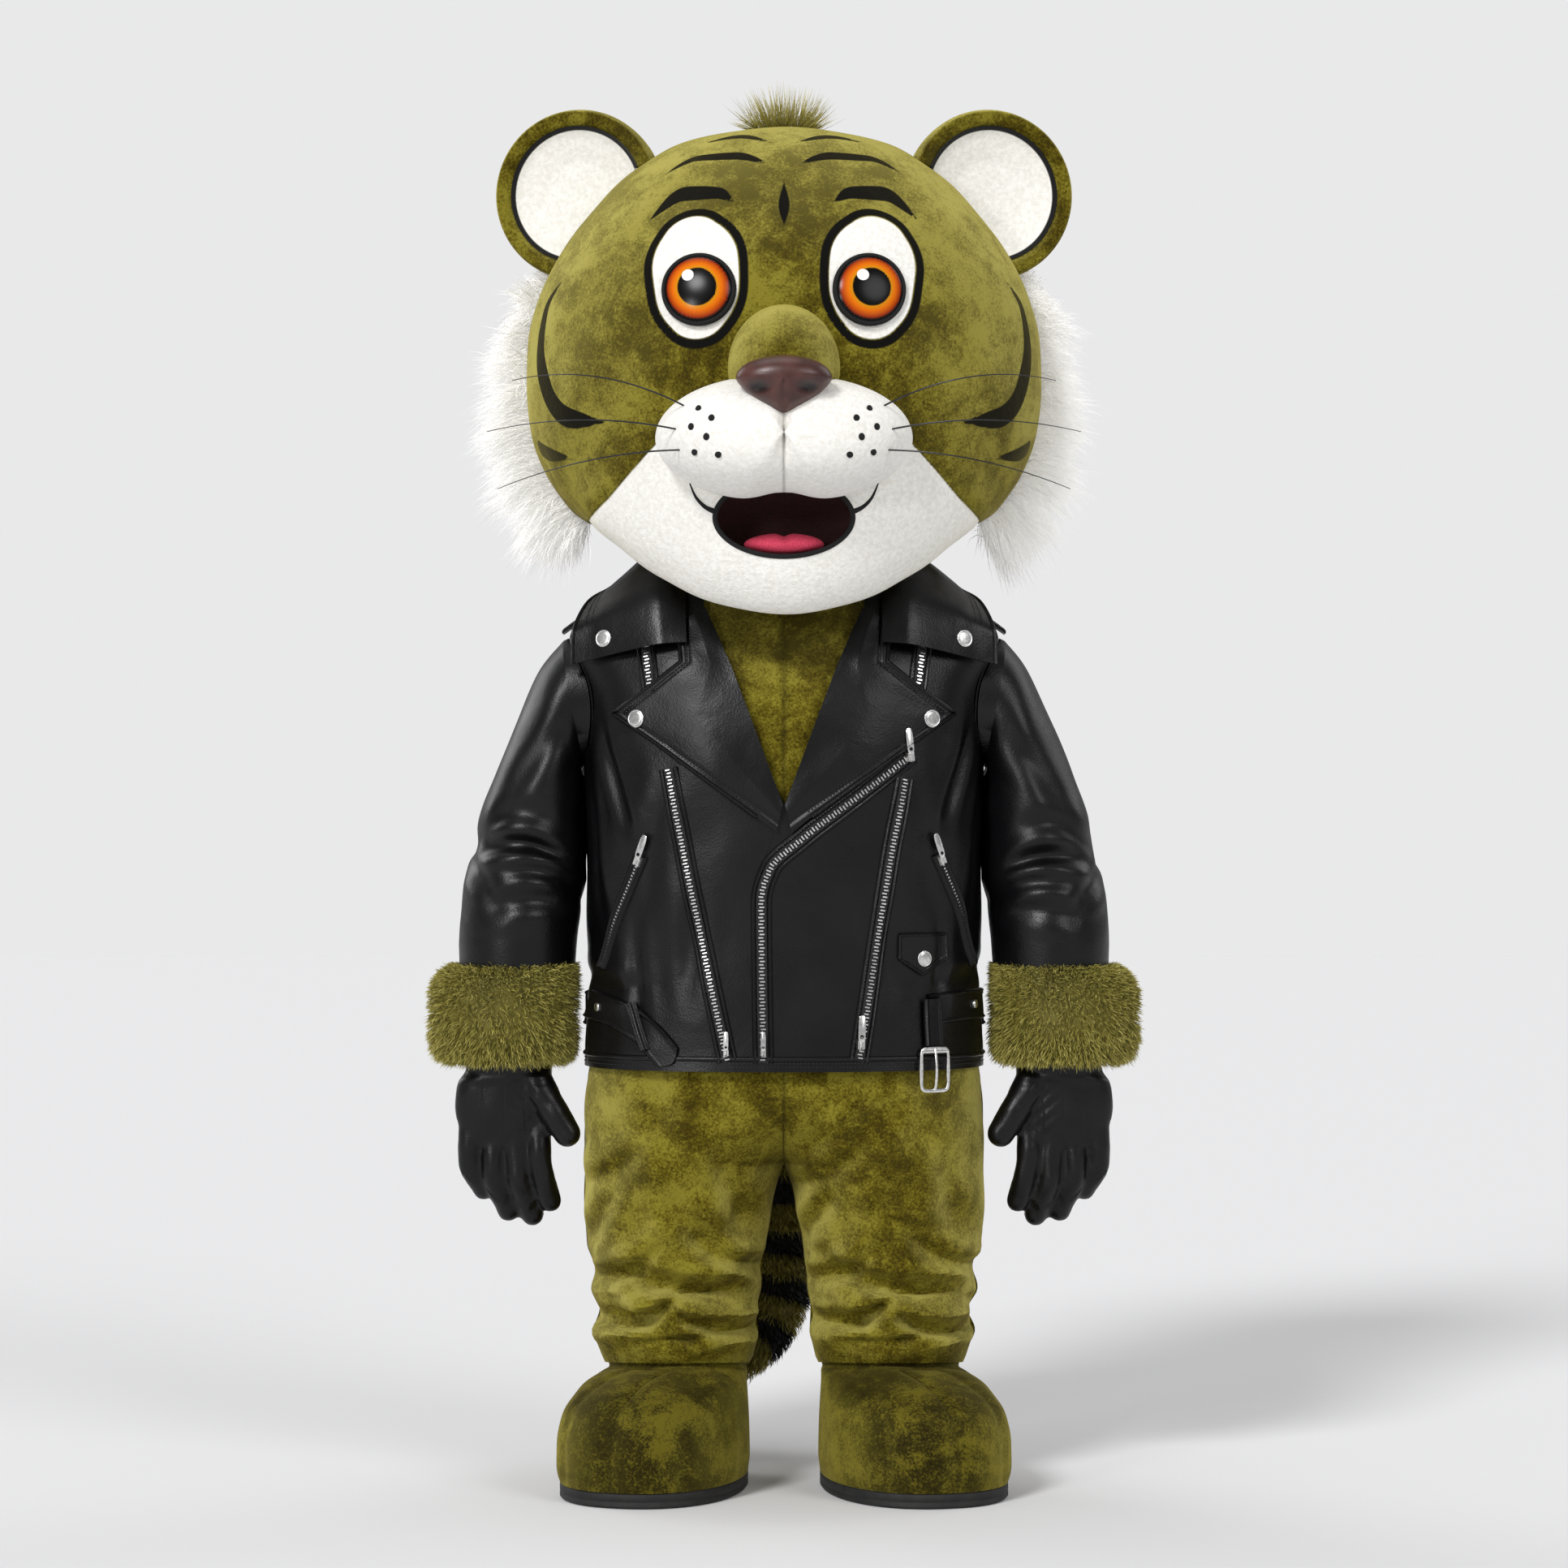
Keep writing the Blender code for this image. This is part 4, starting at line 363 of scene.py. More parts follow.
def on_head(x, z, side="front"):
    """The point of the head's front or back at (x, z), found by halving between the jaw and the crown."""
    low, high = 2.0, CROWN_RING
    for _ in range(40):
        ring = (low + high) / 2
        sizes = HEAD.at(ring)
        share = min(abs(x) / max(float(sizes["half_width"]), 1e-6), 1.0)
        ahead = (1 - share**HEAD_SQUARENESS) ** (1 / HEAD_SQUARENESS)
        height = sizes["side_z"] + (sizes[f"{side}_z"] - sizes["side_z"]) * ahead**2
        low, high = (low, ring) if share >= 1.0 or height > z else (ring, high)
    return np.array((x, float(sizes[f"{side}_y"]) * ahead, z))


# Appliques cut from felt and fleece: each is a brush stroke through (x, z, half its width), on both sides
# of the head unless its x is 0. The forehead has short slanted bars, and each cheek has two crescents.
FRONT_STRIPES = (
    ((0.068, 1.826, 0.001), (0.096, 1.842, 0.012), (0.140, 1.844, 0.015), (0.192, 1.804, 0.001)),  # the brows
    ((0.016, 1.884, 0.001), (0.070, 1.902, 0.0105), (0.120, 1.900, 0.0090), (0.176, 1.872, 0.001)),
    ((0.014, 1.922, 0.001), (0.062, 1.934, 0.0085), (0.120, 1.926, 0.001)),
    ((0.000, 1.790, 0.001), (0.000, 1.822, 0.0085), (0.000, 1.862, 0.001)),
    ((0.310, 1.738, 0.001), (0.340, 1.690, 0.011), (0.348, 1.632, 0.016), (0.337, 1.572, 0.018))
    + ((0.305, 1.532, 0.016), (0.250, 1.520, 0.002)),
    ((0.371, 1.566, 0.001), (0.364, 1.520, 0.011), (0.343, 1.490, 0.013), (0.300, 1.474, 0.002)),
)
BACK_STRIPES = (
    ((0.000, 1.950, 0.007), (0.080, 1.936, 0.006), (0.145, 1.912, 0.001)),
    ((0.000, 1.915, 0.015), (0.090, 1.898, 0.012), (0.180, 1.862, 0.001)),
    ((0.000, 1.842, 0.022), (0.110, 1.824, 0.017), (0.222, 1.780, 0.001)),
    ((0.000, 1.740, 0.028), (0.130, 1.724, 0.021), (0.255, 1.676, 0.002)),
    ((0.000, 1.622, 0.018), (0.075, 1.612, 0.013), (0.148, 1.588, 0.002)),
    ((0.356, 1.700, 0.002), (0.356, 1.648, 0.016), (0.335, 1.580, 0.022), (0.285, 1.545, 0.016))
    + ((0.225, 1.546, 0.002),),
    ((0.352, 1.530, 0.002), (0.325, 1.482, 0.011), (0.262, 1.462, 0.001)),
)
EYE_PATCH = (((0.121, 1.676, 0.046), (0.122, 1.704, 0.061), (0.125, 1.738, 0.063), (0.129, 1.766, 0.047)),)


def inside_strokes(points, strokes, side="front", samples=48):
    """How far each point is inside the nearest of the strokes, in metres; less than 0 outside them."""
    flat = points.reshape(-1, 3)
    inside = np.full(len(flat), -1.0)
    for stroke in strokes:
        path = spaced(stroke, samples)
        centres = np.array([on_head(x, z, side) for x, z, _ in path])
        for sign in (1, -1) if path[:, 0].max() > 0 else (1,):
            for centre, half in zip(centres * (sign, 1, 1), path[:, 2]):
                inside = np.maximum(inside, half - np.linalg.norm(flat - centre, axis=1))
    return inside.reshape(points.shape[:-1])


# Polyester velvet with its pile crushed: patches lie different ways, so they look light or dark, and a
# painted sheen lightens the colour where the velvet is seen edge-on. The pile is 0.3 mm thick in truth, and
# is drawn as grains of 3.5 mm so that it shows.
PATCH, MOTTLE, PILE = 1 / 0.110, 1 / 0.026, 1 / 0.0035
MULTIPLY_ADD = {"operation": "MULTIPLY_ADD"}


def mixed(finish, factor, first, second):
    """Two colours, mixed by a factor."""
    sockets = {0: factor, 6: first, 7: second}
    return add_node(finish, "ShaderNodeMix", {"data_type": "RGBA"}, sockets)[2]


def crushed_velvet(name, dark="#352c00", middle="#544a08", light="#7a7122", painted_light="#a69d50", painted_top_shade="#ffffff"):
    """Velvet whose colour and height follow its crushed pile, with a painted sheen: the colour is mixed
    towards a paler one where the velvet is seen edge-on. Painted shade weakens that painted sheen where the
    surface faces down, as under a fold, and, by the last colour, where it faces up."""
    finish, shader = new_finish(name, Roughness=0.82, Specular_IOR_Level=0.10, Sheen_Weight=0.3)
    shader.inputs["Sheen Roughness"].default_value = 0.40
    shader.inputs["Sheen Tint"].default_value = linear("#c9b95a")
    place = add_node(finish, "ShaderNodeTexCoord", {}, {})["Object"]
    noise = {}
    for size, scale, detail in (("patch", PATCH, 4.0), ("mottle", MOTTLE, 5.0), ("pile", PILE, 2.0)):
        sockets = {"Vector": place, "Scale": scale, "Detail": detail, "Distortion": 0.6}
        noise[size] = add_node(finish, "ShaderNodeTexNoise", {}, sockets)["Fac"]
    sockets = {0: noise["patch"], 1: 1.6, 2: noise["mottle"]}
    mottled = add_node(finish, "ShaderNodeMath", MULTIPLY_ADD, sockets)[0]
    grained = add_node(finish, "ShaderNodeMath", MULTIPLY_ADD, {0: noise["pile"], 1: 1.2, 2: mottled})[0]
    sockets = {"Value": grained, "From Min": 1.42, "From Max": 2.38}
    share = add_node(finish, "ShaderNodeMapRange", {}, sockets)["Result"]
    ramp = ((0.18, dark), (0.85, light), (0.48, middle))
    shade = add_node(finish, "ShaderNodeValToRGB", {}, {"Fac": share}, ramp=ramp)["Color"]
    sockets = {0: noise["pile"], 1: 0.35, 2: noise["mottle"]}
    height = add_node(finish, "ShaderNodeMath", MULTIPLY_ADD, sockets)[0]
    # Painted sheen: the colour is mixed towards a paler one where the velvet is seen edge-on, more in the
    # light patches.
    edge_on = add_node(finish, "ShaderNodeLayerWeight", {}, {"Blend": 0.5})["Facing"]
    sockets = {"Value": share, "From Min": 0.25, "From Max": 0.75, "To Min": 0.55, "To Max": 1.25}
    patchy = add_node(finish, "ShaderNodeMapRange", {}, sockets)["Result"]
    sockets = {"Value": edge_on, "From Min": 0.03, "From Max": 0.72, "To Max": 0.85}
    sheen = add_node(finish, "ShaderNodeMapRange", {}, sockets)["Result"]
    sheen = add_node(finish, "ShaderNodeMath", {"operation": "MULTIPLY"}, {0: sheen, 1: patchy})[0]
    # Painted shade: that painted sheen is weakened where the surface faces down, and on top by the last
    # colour.
    facing = add_node(finish, "ShaderNodeNewGeometry", {}, {})["Normal"]
    rise = add_node(finish, "ShaderNodeSeparateXYZ", {}, {"Vector": facing})["Z"]
    sockets = {"Value": rise, "From Min": -1.0, "From Max": 1.0}
    rise = add_node(finish, "ShaderNodeMapRange", {}, sockets)["Result"]
    stops = ((0.26, "#404040"), (0.50, "#ffffff"), (0.62, "#ffffff"), (0.92, painted_top_shade))
    painted_slope_shade = add_node(finish, "ShaderNodeValToRGB", {}, {"Fac": rise}, ramp=stops)["Color"]
    sheen = add_node(finish, "ShaderNodeMath", {"operation": "MULTIPLY"}, {0: sheen, 1: painted_slope_shade})[0]
    return finish, shader, mixed(finish, sheen, shade, linear(painted_light)), height


def mask_of(finish, mark, low, high):
    """From 0 to 1 as a float attribute goes from low to high."""
    value = add_node(finish, "ShaderNodeAttribute", {"attribute_name": mark}, {})["Fac"]
    return add_node(finish, "ShaderNodeMapRange", {}, {"Value": value, "From Min": low, "From Max": high})[0]


def finish_surface(finish, shader, shade, height, strength, distance):
    """Joins a colour and a height to a shader."""
    sockets = {"Height": height, "Strength": strength, "Distance": distance}
    bump = add_node(finish, "ShaderNodeBump", {}, sockets)["Normal"]
    finish.node_tree.links.new(shade, shader.inputs["Base Color"])
    finish.node_tree.links.new(bump, shader.inputs["Normal"])


SEAM_REACH = 0.020  # the attribute seam_near is this in a seam and falls to 0 this far from it
EDGE_SOFT = 0.0016  # felt is glued down with a slightly fuzzy edge


def seamed(finish, shade, height):
    """The colour and height with a thin dark groove where panels are sewn together."""
    line = mask_of(finish, "seam_near", SEAM_REACH - 0.0030, SEAM_REACH - 0.0006)
    groove = add_node(finish, "ShaderNodeMath", MULTIPLY_ADD, {0: line, 1: -1.5, 2: height})[0]
    line = add_node(finish, "ShaderNodeMath", {"operation": "MULTIPLY"}, {0: line, 1: 0.35})[0]
    return mixed(finish, line, shade, linear("#1e1c04")), groove


plush, plush_shader, plush_shade, plush_height = crushed_velvet("crushed_velvet_plush")
finish_surface(plush, plush_shader, *seamed(plush, plush_shade, plush_height), 0.5, 0.0025)


# White fleece: short dense polyester loops, matt, with soft lumps of 6 mm and loops drawn at 2 mm.
def fleece_look(finish):
    """The colour and height of fleece."""
    place = add_node(finish, "ShaderNodeTexCoord", {}, {})["Object"]
    sockets = {"Vector": place, "Scale": 500.0, "Detail": 2.0}
    loops = add_node(finish, "ShaderNodeTexNoise", {}, sockets)["Fac"]
    sockets = {"Vector": place, "Scale": 160.0, "Detail": 3.0}
    lumps = add_node(finish, "ShaderNodeTexNoise", {}, sockets)["Fac"]
    height = add_node(finish, "ShaderNodeMath", MULTIPLY_ADD, {0: loops, 1: 0.6, 2: lumps})[0]
    ramp = ((0.60, "#e2dfd8"), (1.0, "#f3f1ec"))
    return add_node(finish, "ShaderNodeValToRGB", {}, {"Fac": height}, ramp=ramp)["Color"], height


# Felt stripes and fleece patches on the same velvet, for the head.
head_plush, head_shader, shade, height = crushed_velvet("velvet_with_felt_stripes")
fleece_mask = mask_of(head_plush, "fleece", 0.0, EDGE_SOFT)
fleece_shade, fleece_height = fleece_look(head_plush)
shade = mixed(head_plush, fleece_mask, shade, fleece_shade)
height = add_node(head_plush, "ShaderNodeMix", {}, {0: fleece_mask, 2: height, 3: fleece_height})[0]
felt_mask = mask_of(head_plush, "felt", 0.0, EDGE_SOFT)
shade = mixed(head_plush, felt_mask, shade, linear("#060606"))
covered = add_node(head_plush, "ShaderNodeMath", {"operation": "MAXIMUM"}, {0: fleece_mask, 1: felt_mask})[0]
raised = add_node(head_plush, "ShaderNodeMath", MULTIPLY_ADD, {0: covered, 1: 0.7, 2: height})[0]
finish_surface(head_plush, head_shader, *seamed(head_plush, shade, raised), 0.5, 0.0025)

fleece, fleece_shader = new_finish("white_fleece", Roughness=0.95, Specular_IOR_Level=0.2, Sheen_Weight=0.3)
shade, height = fleece_look(fleece)
shade = mixed(fleece, mask_of(fleece, "felt", 0.0002, EDGE_SOFT), shade, linear("#0b0b0c"))
finish_surface(fleece, fleece_shader, *seamed(fleece, shade, height), 0.45, 0.0016)

MOUTH_CENTRE_Z = 1.384
MOUTH_HALF = (0.096, 0.054)
SEAM_DIP, SEAM_DIP_WIDTH = 0.0022, 0.009  # the velvet is drawn in at each seam
JAW_DART = math.radians(138)  # where a dart goes up the back of the jaw
CHEEK_LINE = (  # (x, z): where the velvet of the face meets the white fleece of the muzzle and jaw
    (0.000, 1.505),
    (0.110, 1.505),
    (0.175, 1.492),
    (0.215, 1.452),
    (0.250, 1.415),
    (0.288, 1.383),
    (0.306, 1.398),
    (0.330, 1.428),
    (0.376, 1.462),
)
LINER = 0.0068  # half the width of the felt line round the eye patches


def below_cheek(points):
    """How far below the cheek line each point is, in metres, measured across the line."""
    x, z = np.array(CHEEK_LINE).T
    drop = np.interp(np.abs(points[..., 0]), x, z) - points[..., 2]
    slope = np.interp(np.abs(points[..., 0]), (x[1:] + x[:-1]) / 2, np.diff(z) / np.diff(x))
    return drop / np.hypot(1.0, slope)


def seam_lines(rings, turns, points):
    """How near each point is to a seam: the sides, the centre back and the cheek line."""
    width = HEAD.at(rings)["half_width"][:, None]
    apart = [np.abs(points[..., 1])]
    apart.append(np.where(points[..., 1] > 0, np.abs(points[..., 0]), 1.0))
    apart.append(np.where(points[..., 1] < 0, np.abs(below_cheek(points)), 1.0))
    dart = np.abs(np.abs(turns) - JAW_DART)[None, :] * width
    apart.append(np.where((rings < JAW_RING + 0.2)[:, None], dart, 1.0))
    return np.min(np.broadcast_arrays(*apart), axis=0)


def head_panel(name, rings, turns, shift, finish):
    """One panel of the head, with its stripes, patches and seams marked and its seams drawn in."""
    points, normals = head_points(rings, turns), head_normals(rings, turns)
    apart = seam_lines(rings, turns, points)
    lumps = 0.0012 * np.sin(points[..., 0] * 41 + 1.3) * np.sin(points[..., 2] * 37 + points[..., 1] * 29)
    relief = lumps - SEAM_DIP * bell(apart, SEAM_DIP_WIDTH)
    marks = {"seam_near": np.clip(SEAM_REACH - apart, 0.0, None)}
    strokes, side = (BACK_STRIPES, "back") if "back" in name else (FRONT_STRIPES, "front")
    marks["felt"], marks["fleece"] = inside_strokes(points, strokes, side), points[..., 0] * 0 - 1
    if side == "front":
        patch = inside_strokes(points, EYE_PATCH)
        marks["fleece"] = np.maximum(patch, below_cheek(points))
        marks["felt"] = np.maximum(marks["felt"], LINER - np.abs(patch + LINER))
    outer = points + normals * relief[..., None] + shift
    return wall(name, outer, -normals * (FOAM_WALL + relief[..., None]), finish, marks=marks)


half = SEAM_GAP / 2
front_turns = np.linspace(-QUARTER, QUARTER, 161)
upper_face = head_panel(
    "upper_face", np.linspace(JAW_RING, CROWN_RING, 109), front_turns, (0, -half, 0), head_plush
)
lower_jaw = head_panel("lower_jaw", np.linspace(0, JAW_RING, 61), front_turns, (0, -half, 0), head_plush)
back_rings = np.linspace(0, CROWN_RING, 111)
head_back_l = head_panel(
    "head_back_l", back_rings, np.linspace(QUARTER, 2 * QUARTER, 65), (half, half, 0), head_plush
)
head_back_r = head_panel(
    "head_back_r", back_rings, np.linspace(2 * QUARTER, 3 * QUARTER, 65), (-half, half, 0), head_plush
)
head_nodes = ((upper_face, "face_upper"), (head_back_l, "head_back_left"), (head_back_r, "head_back_right"))
for piece, node in head_nodes:
    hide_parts(node)
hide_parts("face_lower")


def bar(name, axis, centre, half_sizes, reach, sides=64):
    """An elliptical bar along x or y, used as a cutter."""
    turns = np.arange(sides) * 2 * math.pi / sides
    first, second = half_sizes[0] * np.cos(turns), half_sizes[1] * np.sin(turns)
    ends = np.array((-reach, reach))[:, None]
    if axis == "x":
        rings = grid_of(centre[0] + ends, centre[1] + first, centre[2] + second)
    else:
        rings = grid_of(centre[0] - first, centre[1] + ends, centre[2] + second)
    return solid(name, rings, None)


mouth_cutter = bar("mouth_cutter", "y", (0.0, -0.28, MOUTH_CENTRE_Z), MOUTH_HALF, 0.14)
carve(lower_jaw, mouth_cutter)
bpy.data.objects.remove(mouth_cutter, do_unlink=True)

# ---------------------------------------------------------------- muzzle, nose, eyes and mouth
# Carved foam pads covered in fleece and velvet, glued to the face. The nose is skinned in soft vinyl, the
# eyes are domed plastic painted from behind, and the mouth is a bowl of cloth with a fleece tongue.
MUZZLE_CENTRE = (0.0, -0.330, 1.492)
MUZZLE_HALF = (0.178, 0.118, 0.088)  # across, forward, up
BRIDGE_CENTRE = (0.0, -0.318, 1.590)
BRIDGE_HALF = (0.078, 0.105, 0.088)
NOSE_CENTRE = (0.0, -0.425, 1.566)
NOSE_HALF = (0.066, 0.040, 0.038)


def muzzle_point(from_front, around):
    """Points of the two-lobed muzzle. `from_front` is the angle off its axis and `around` goes round it."""
    across, up = np.cos(around), np.sin(around)
    groove = bell(across, 0.20)
    pinch = 1.0 - np.where(up > 0, 0.10, 0.16) * groove
    reach = signed_power(np.sin(from_front), 0.85)
    x = MUZZLE_CENTRE[0] - MUZZLE_HALF[0] * reach * signed_power(across, 0.92)
    z = MUZZLE_CENTRE[2] + MUZZLE_HALF[2] * reach * up * pinch
    dent = 1.0 - 0.10 * (1 - np.sin(from_front)) * groove
    crease = 0.006 * bell(x, 0.006) * (z < NOSE_CENTRE[2] - 0.03)
    y = MUZZLE_CENTRE[1] - MUZZLE_HALF[1] * np.cos(from_front) * dent + crease
    return grid_of(x, y, z)


def round_turns(count):
    """As many turns, evenly spaced once round."""
    return np.arange(count) * 2 * math.pi / count


from_front = np.linspace(0.01, math.radians(116), 72)[:, None]
muzzle_rings = muzzle_point(from_front, round_turns(128)[None, :])
centre_line = np.where(muzzle_rings[..., 2] < 1.545, SEAM_REACH - np.abs(muzzle_rings[..., 0]), 0.0)
muzzle = solid("muzzle_pad", muzzle_rings, fleece, {"seam_near": np.clip(centre_line, 0, None)})
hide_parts("muzzle")


def ellipsoid(name, centre, half, finish, rings=32, columns=56, shape=None):
    """An ellipsoid with its poles along y. `shape` may move its points."""
    angles = np.linspace(0.02, math.pi - 0.02, rings)[:, None]
    turns = round_turns(columns)[None, :]
    reach = np.sin(angles)
    grid = grid_of(
        centre[0] - half[0] * reach * np.cos(turns),
        centre[1] - half[1] * np.cos(angles),
        centre[2] + half[2] * reach * np.sin(turns),
    )
    return solid(name, shape(grid) if shape else grid, finish)


bridge = ellipsoid("nose_bridge_pad", BRIDGE_CENTRE, BRIDGE_HALF, plush)
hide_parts("nose_bridge")

# Soft vinyl over foam, satin, with a fine moulded grain. It is painted darker in the nostrils, as shade in
# their dents.
vinyl, vinyl_shader = new_finish("moulded_vinyl", Roughness=0.36, Specular_IOR_Level=0.5)
place = add_node(vinyl, "ShaderNodeTexCoord", {}, {})["Object"]
grain = add_node(vinyl, "ShaderNodeTexVoronoi", {}, {"Vector": place, "Scale": 450.0})["Distance"]
clouds = add_node(vinyl, "ShaderNodeTexNoise", {}, {"Vector": place, "Scale": 30.0})["Fac"]
ramp = ((0.35, "#3a1d19"), (0.7, "#54302a"))
shade = add_node(vinyl, "ShaderNodeValToRGB", {}, {"Fac": clouds}, ramp=ramp)["Color"]
# Painted shade: the colour darkens in the nostrils' dents.
shade = mixed(vinyl, mask_of(vinyl, "nostril", 0.15, 0.8), shade, linear("#140807"))
finish_surface(vinyl, vinyl_shader, shade, grain, 0.12, 0.0006)

angles = np.linspace(0.02, math.pi - 0.02, 48)[:, None]
turns = round_turns(80)[None, :]
up = np.sin(turns)
taper = np.where(up < 0, 1.0 - 0.55 * np.abs(up) ** 1.2, 1.0)
reach = signed_power(np.sin(angles), 0.8)
nose_rings = grid_of(
    NOSE_CENTRE[0] - NOSE_HALF[0] * reach * np.cos(turns) * taper,
    NOSE_CENTRE[1] - NOSE_HALF[1] * np.cos(angles),
    NOSE_CENTRE[2] + NOSE_HALF[2] * reach * np.where(up < 0, 1.25 * up, 0.85 * up),
)
nostril = np.hypot((np.abs(nose_rings[..., 0]) - 0.034) / 0.015, (nose_rings[..., 2] - 1.553) / 0.0085)
nostril = np.exp(-(nostril**2))
middle_groove = bell(nose_rings[..., 0], 0.004) * (nose_rings[..., 2] < 1.560)
nose_rings[..., 1] += 0.013 * nostril + 0.0035 * middle_groove
nose = solid("nose_tip", nose_rings, vinyl, {"nostril": nostril})
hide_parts("nose")

# Clear plastic dome, painted behind: a black rim, an amber iris with fine spokes and a round black pupil, and
# a painted highlight, a white spot up and to the left of the pupil.
EYE_CENTRE, EYE_RADIUS, EYE_BULGE, EYE_SEAT = (0.118, 1.700), 0.050, 0.016, 0.015
eye_paint, eye_shader = new_finish("painted_plastic_eye", Roughness=0.22, Specular_IOR_Level=0.14)
across_eye = add_node(eye_paint, "ShaderNodeAttribute", {"attribute_name": "from_pupil"}, {})["Fac"]
around_eye = add_node(eye_paint, "ShaderNodeAttribute", {"attribute_name": "spoke"}, {})["Fac"]
sockets = {"W": around_eye, "Scale": 9.0, "Detail": 4.0}
spokes = add_node(eye_paint, "ShaderNodeTexNoise", {"noise_dimensions": "1D"}, sockets)["Fac"]
offset = add_node(eye_paint, "ShaderNodeMath", MULTIPLY_ADD, {0: spokes, 1: 0.10, 2: across_eye})[0]
stops = ((0.600, "#050505"), (0.615, "#c9850f"), (0.74, "#d8690a"), (0.90, "#9a3208"), (0.955, "#060505"))
shade = add_node(eye_paint, "ShaderNodeValToRGB", {}, {"Fac": offset}, ramp=stops)["Color"]
# Painted highlight: a white spot mixed into the eye's colour.
shade = mixed(eye_paint, mask_of(eye_paint, "painted_highlight", -0.01, 0.01), shade, linear("#f6f4ef"))
eye_paint.node_tree.links.new(shade, eye_shader.inputs["Base Color"])


def speckled(name, scale, detail, ramp, strength, distance, **values):
    """A material of one fine noise, which gives it both its two colours and its relief."""
    finish, shader = new_finish(name, **values)
    place = add_node(finish, "ShaderNodeTexCoord", {}, {})["Object"]
    sockets = {"Vector": place, "Scale": scale, "Detail": detail}
    noise = add_node(finish, "ShaderNodeTexNoise", {}, sockets)["Fac"]
    shade = add_node(finish, "ShaderNodeValToRGB", {}, {"Fac": noise}, ramp=ramp)["Color"]
    finish_surface(finish, shader, shade, noise, strength, distance)
    return finish


# Black felt, needled and matt, for the thin edge round each eye.
ramp = ((0.3, "#060606"), (0.8, "#18181a"))
felt = speckled("black_felt", 600.0, 4.0, ramp, 0.4, 0.001, Roughness=0.95)


def tube(path, radii, sides=8):
    """The rings of points of a tube along a path."""
    path = np.asarray(path, dtype=float)
    along = unit(np.gradient(path, axis=0))
    side = np.cross(along[0], (0.0, 1.0, 0.0))
    if np.linalg.norm(side) < 0.2:
        side = np.cross(along[0], (0.0, 0.0, 1.0))
    turns = round_turns(sides)
    rings = []
    for point, ahead, radius in zip(path, along, radii):
        side = unit(side - ahead * side.dot(ahead))
        other = np.cross(ahead, side)
        rings.append(point + radius * (np.cos(turns)[:, None] * side + np.sin(turns)[:, None] * other))
    return np.array(rings)


def joined(parts):
    """Several (points, faces) made into one."""
    points, faces, count = [], [], 0
    for part_points, part_faces in parts:
        part_points = np.asarray(part_points, dtype=float).reshape(-1, 3)
        points.append(part_points)
        faces += [[number + count for number in face] for face in np.asarray(part_faces).tolist()]
        count += len(part_points)
    return np.vstack(points), faces


for side, sign in (("left", 1), ("right", -1)):
    centre = on_head(sign * EYE_CENTRE[0], EYE_CENTRE[1])
    step = 0.03
    across = unit(on_head(sign * EYE_CENTRE[0] + step, EYE_CENTRE[1]) - centre)
    up = unit(on_head(sign * EYE_CENTRE[0], EYE_CENTRE[1] + step) - centre)
    out = np.cross(across, up)
    turns = round_turns(96)
    rays = np.sin(turns)[:, None] * up - np.cos(turns)[:, None] * across
    angles = np.linspace(0.015, math.pi / 2, 40)
    profile = [(EYE_BULGE * math.cos(angle), EYE_RADIUS * math.sin(angle)) for angle in angles]
    profile.append((-EYE_SEAT, EYE_RADIUS))
    rings = np.array([centre + out * lift + rays * reach for lift, reach in profile])
    share = np.array([reach / EYE_RADIUS for _, reach in profile])[:, None]
    marks = {"from_pupil": share + 0 * turns, "spoke": 6 * np.cos(turns) + 3 * np.sin(3 * turns) + 0 * share}
    # The painted highlight's spot lies up and to the left of the pupil, as seen from the front.
    marks["painted_highlight"] = 0.17 - np.hypot(0.26 - share * np.cos(turns), share * np.sin(turns) - 0.34)
    eye = solid(f"eye_dome_{side}", rings, eye_paint, marks)
    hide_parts(f"eye_{side}")
    rim = round_turns(12)
    ring = centre + rays[None] * (EYE_RADIUS + 0.0035 * np.cos(rim))[:, None, None]
    ring = ring + out * (0.0015 + 0.0045 * np.sin(rim))[:, None, None]
    edge = piece_from(f"eye_edge_{side}", ring, quads(12, 96, True, True), felt)

# Dark red velvet cloth in the mouth, and a pink fleece tongue with a crease along its middle.
ramp = ((0.3, "#1a0505"), (0.7, "#380b0a"))
mouth_cloth = speckled("mouth_velvet", 400.0, 2.0, ramp, 0.3, 0.001, Roughness=0.9)
ramp = ((0.3, "#bf2a48"), (0.7, "#df4a66"))
tongue_fleece = speckled("tongue_fleece", 450.0, 2.0, ramp, 0.35, 0.001, Roughness=0.85)

MOUTH_SPREAD, MOUTH_SEAT, MOUTH_LOWEST, MOUTH_DEPTH = 0.010, 0.0050, 1.300, 0.070
rim = []
for turn in round_turns(64):
    x = -(MOUTH_HALF[0] + MOUTH_SPREAD) * math.cos(turn)
    z = max(MOUTH_CENTRE_Z + (MOUTH_HALF[1] + MOUTH_SPREAD) * math.sin(turn), MOUTH_LOWEST)
    point = on_head(x, z)
    along, up = on_head(x + 0.001, z) - point, on_head(x, z + 0.001) - point
    rim.append(point - unit(np.cross(along, up)) * (FOAM_WALL + MOUTH_SEAT))
rim = np.array(rim)
middle = np.array((0.0, rim[:, 1].mean(), MOUTH_CENTRE_Z))
bowl = []
for angle in np.linspace(0.0, math.pi / 2, 17):
    share = math.cos(angle)
    ring = middle + (rim - middle) * share
    ring[:, 1] = rim[:, 1] * share + middle[1] * (1 - share) + MOUTH_DEPTH * math.sin(angle)
    bowl.append(ring)
bowl = np.array(bowl)
lining = wall("mouth_bowl", bowl, normals_of(bowl, True) * 0.002, mouth_cloth, round_columns=True)
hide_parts("mouth_lining")


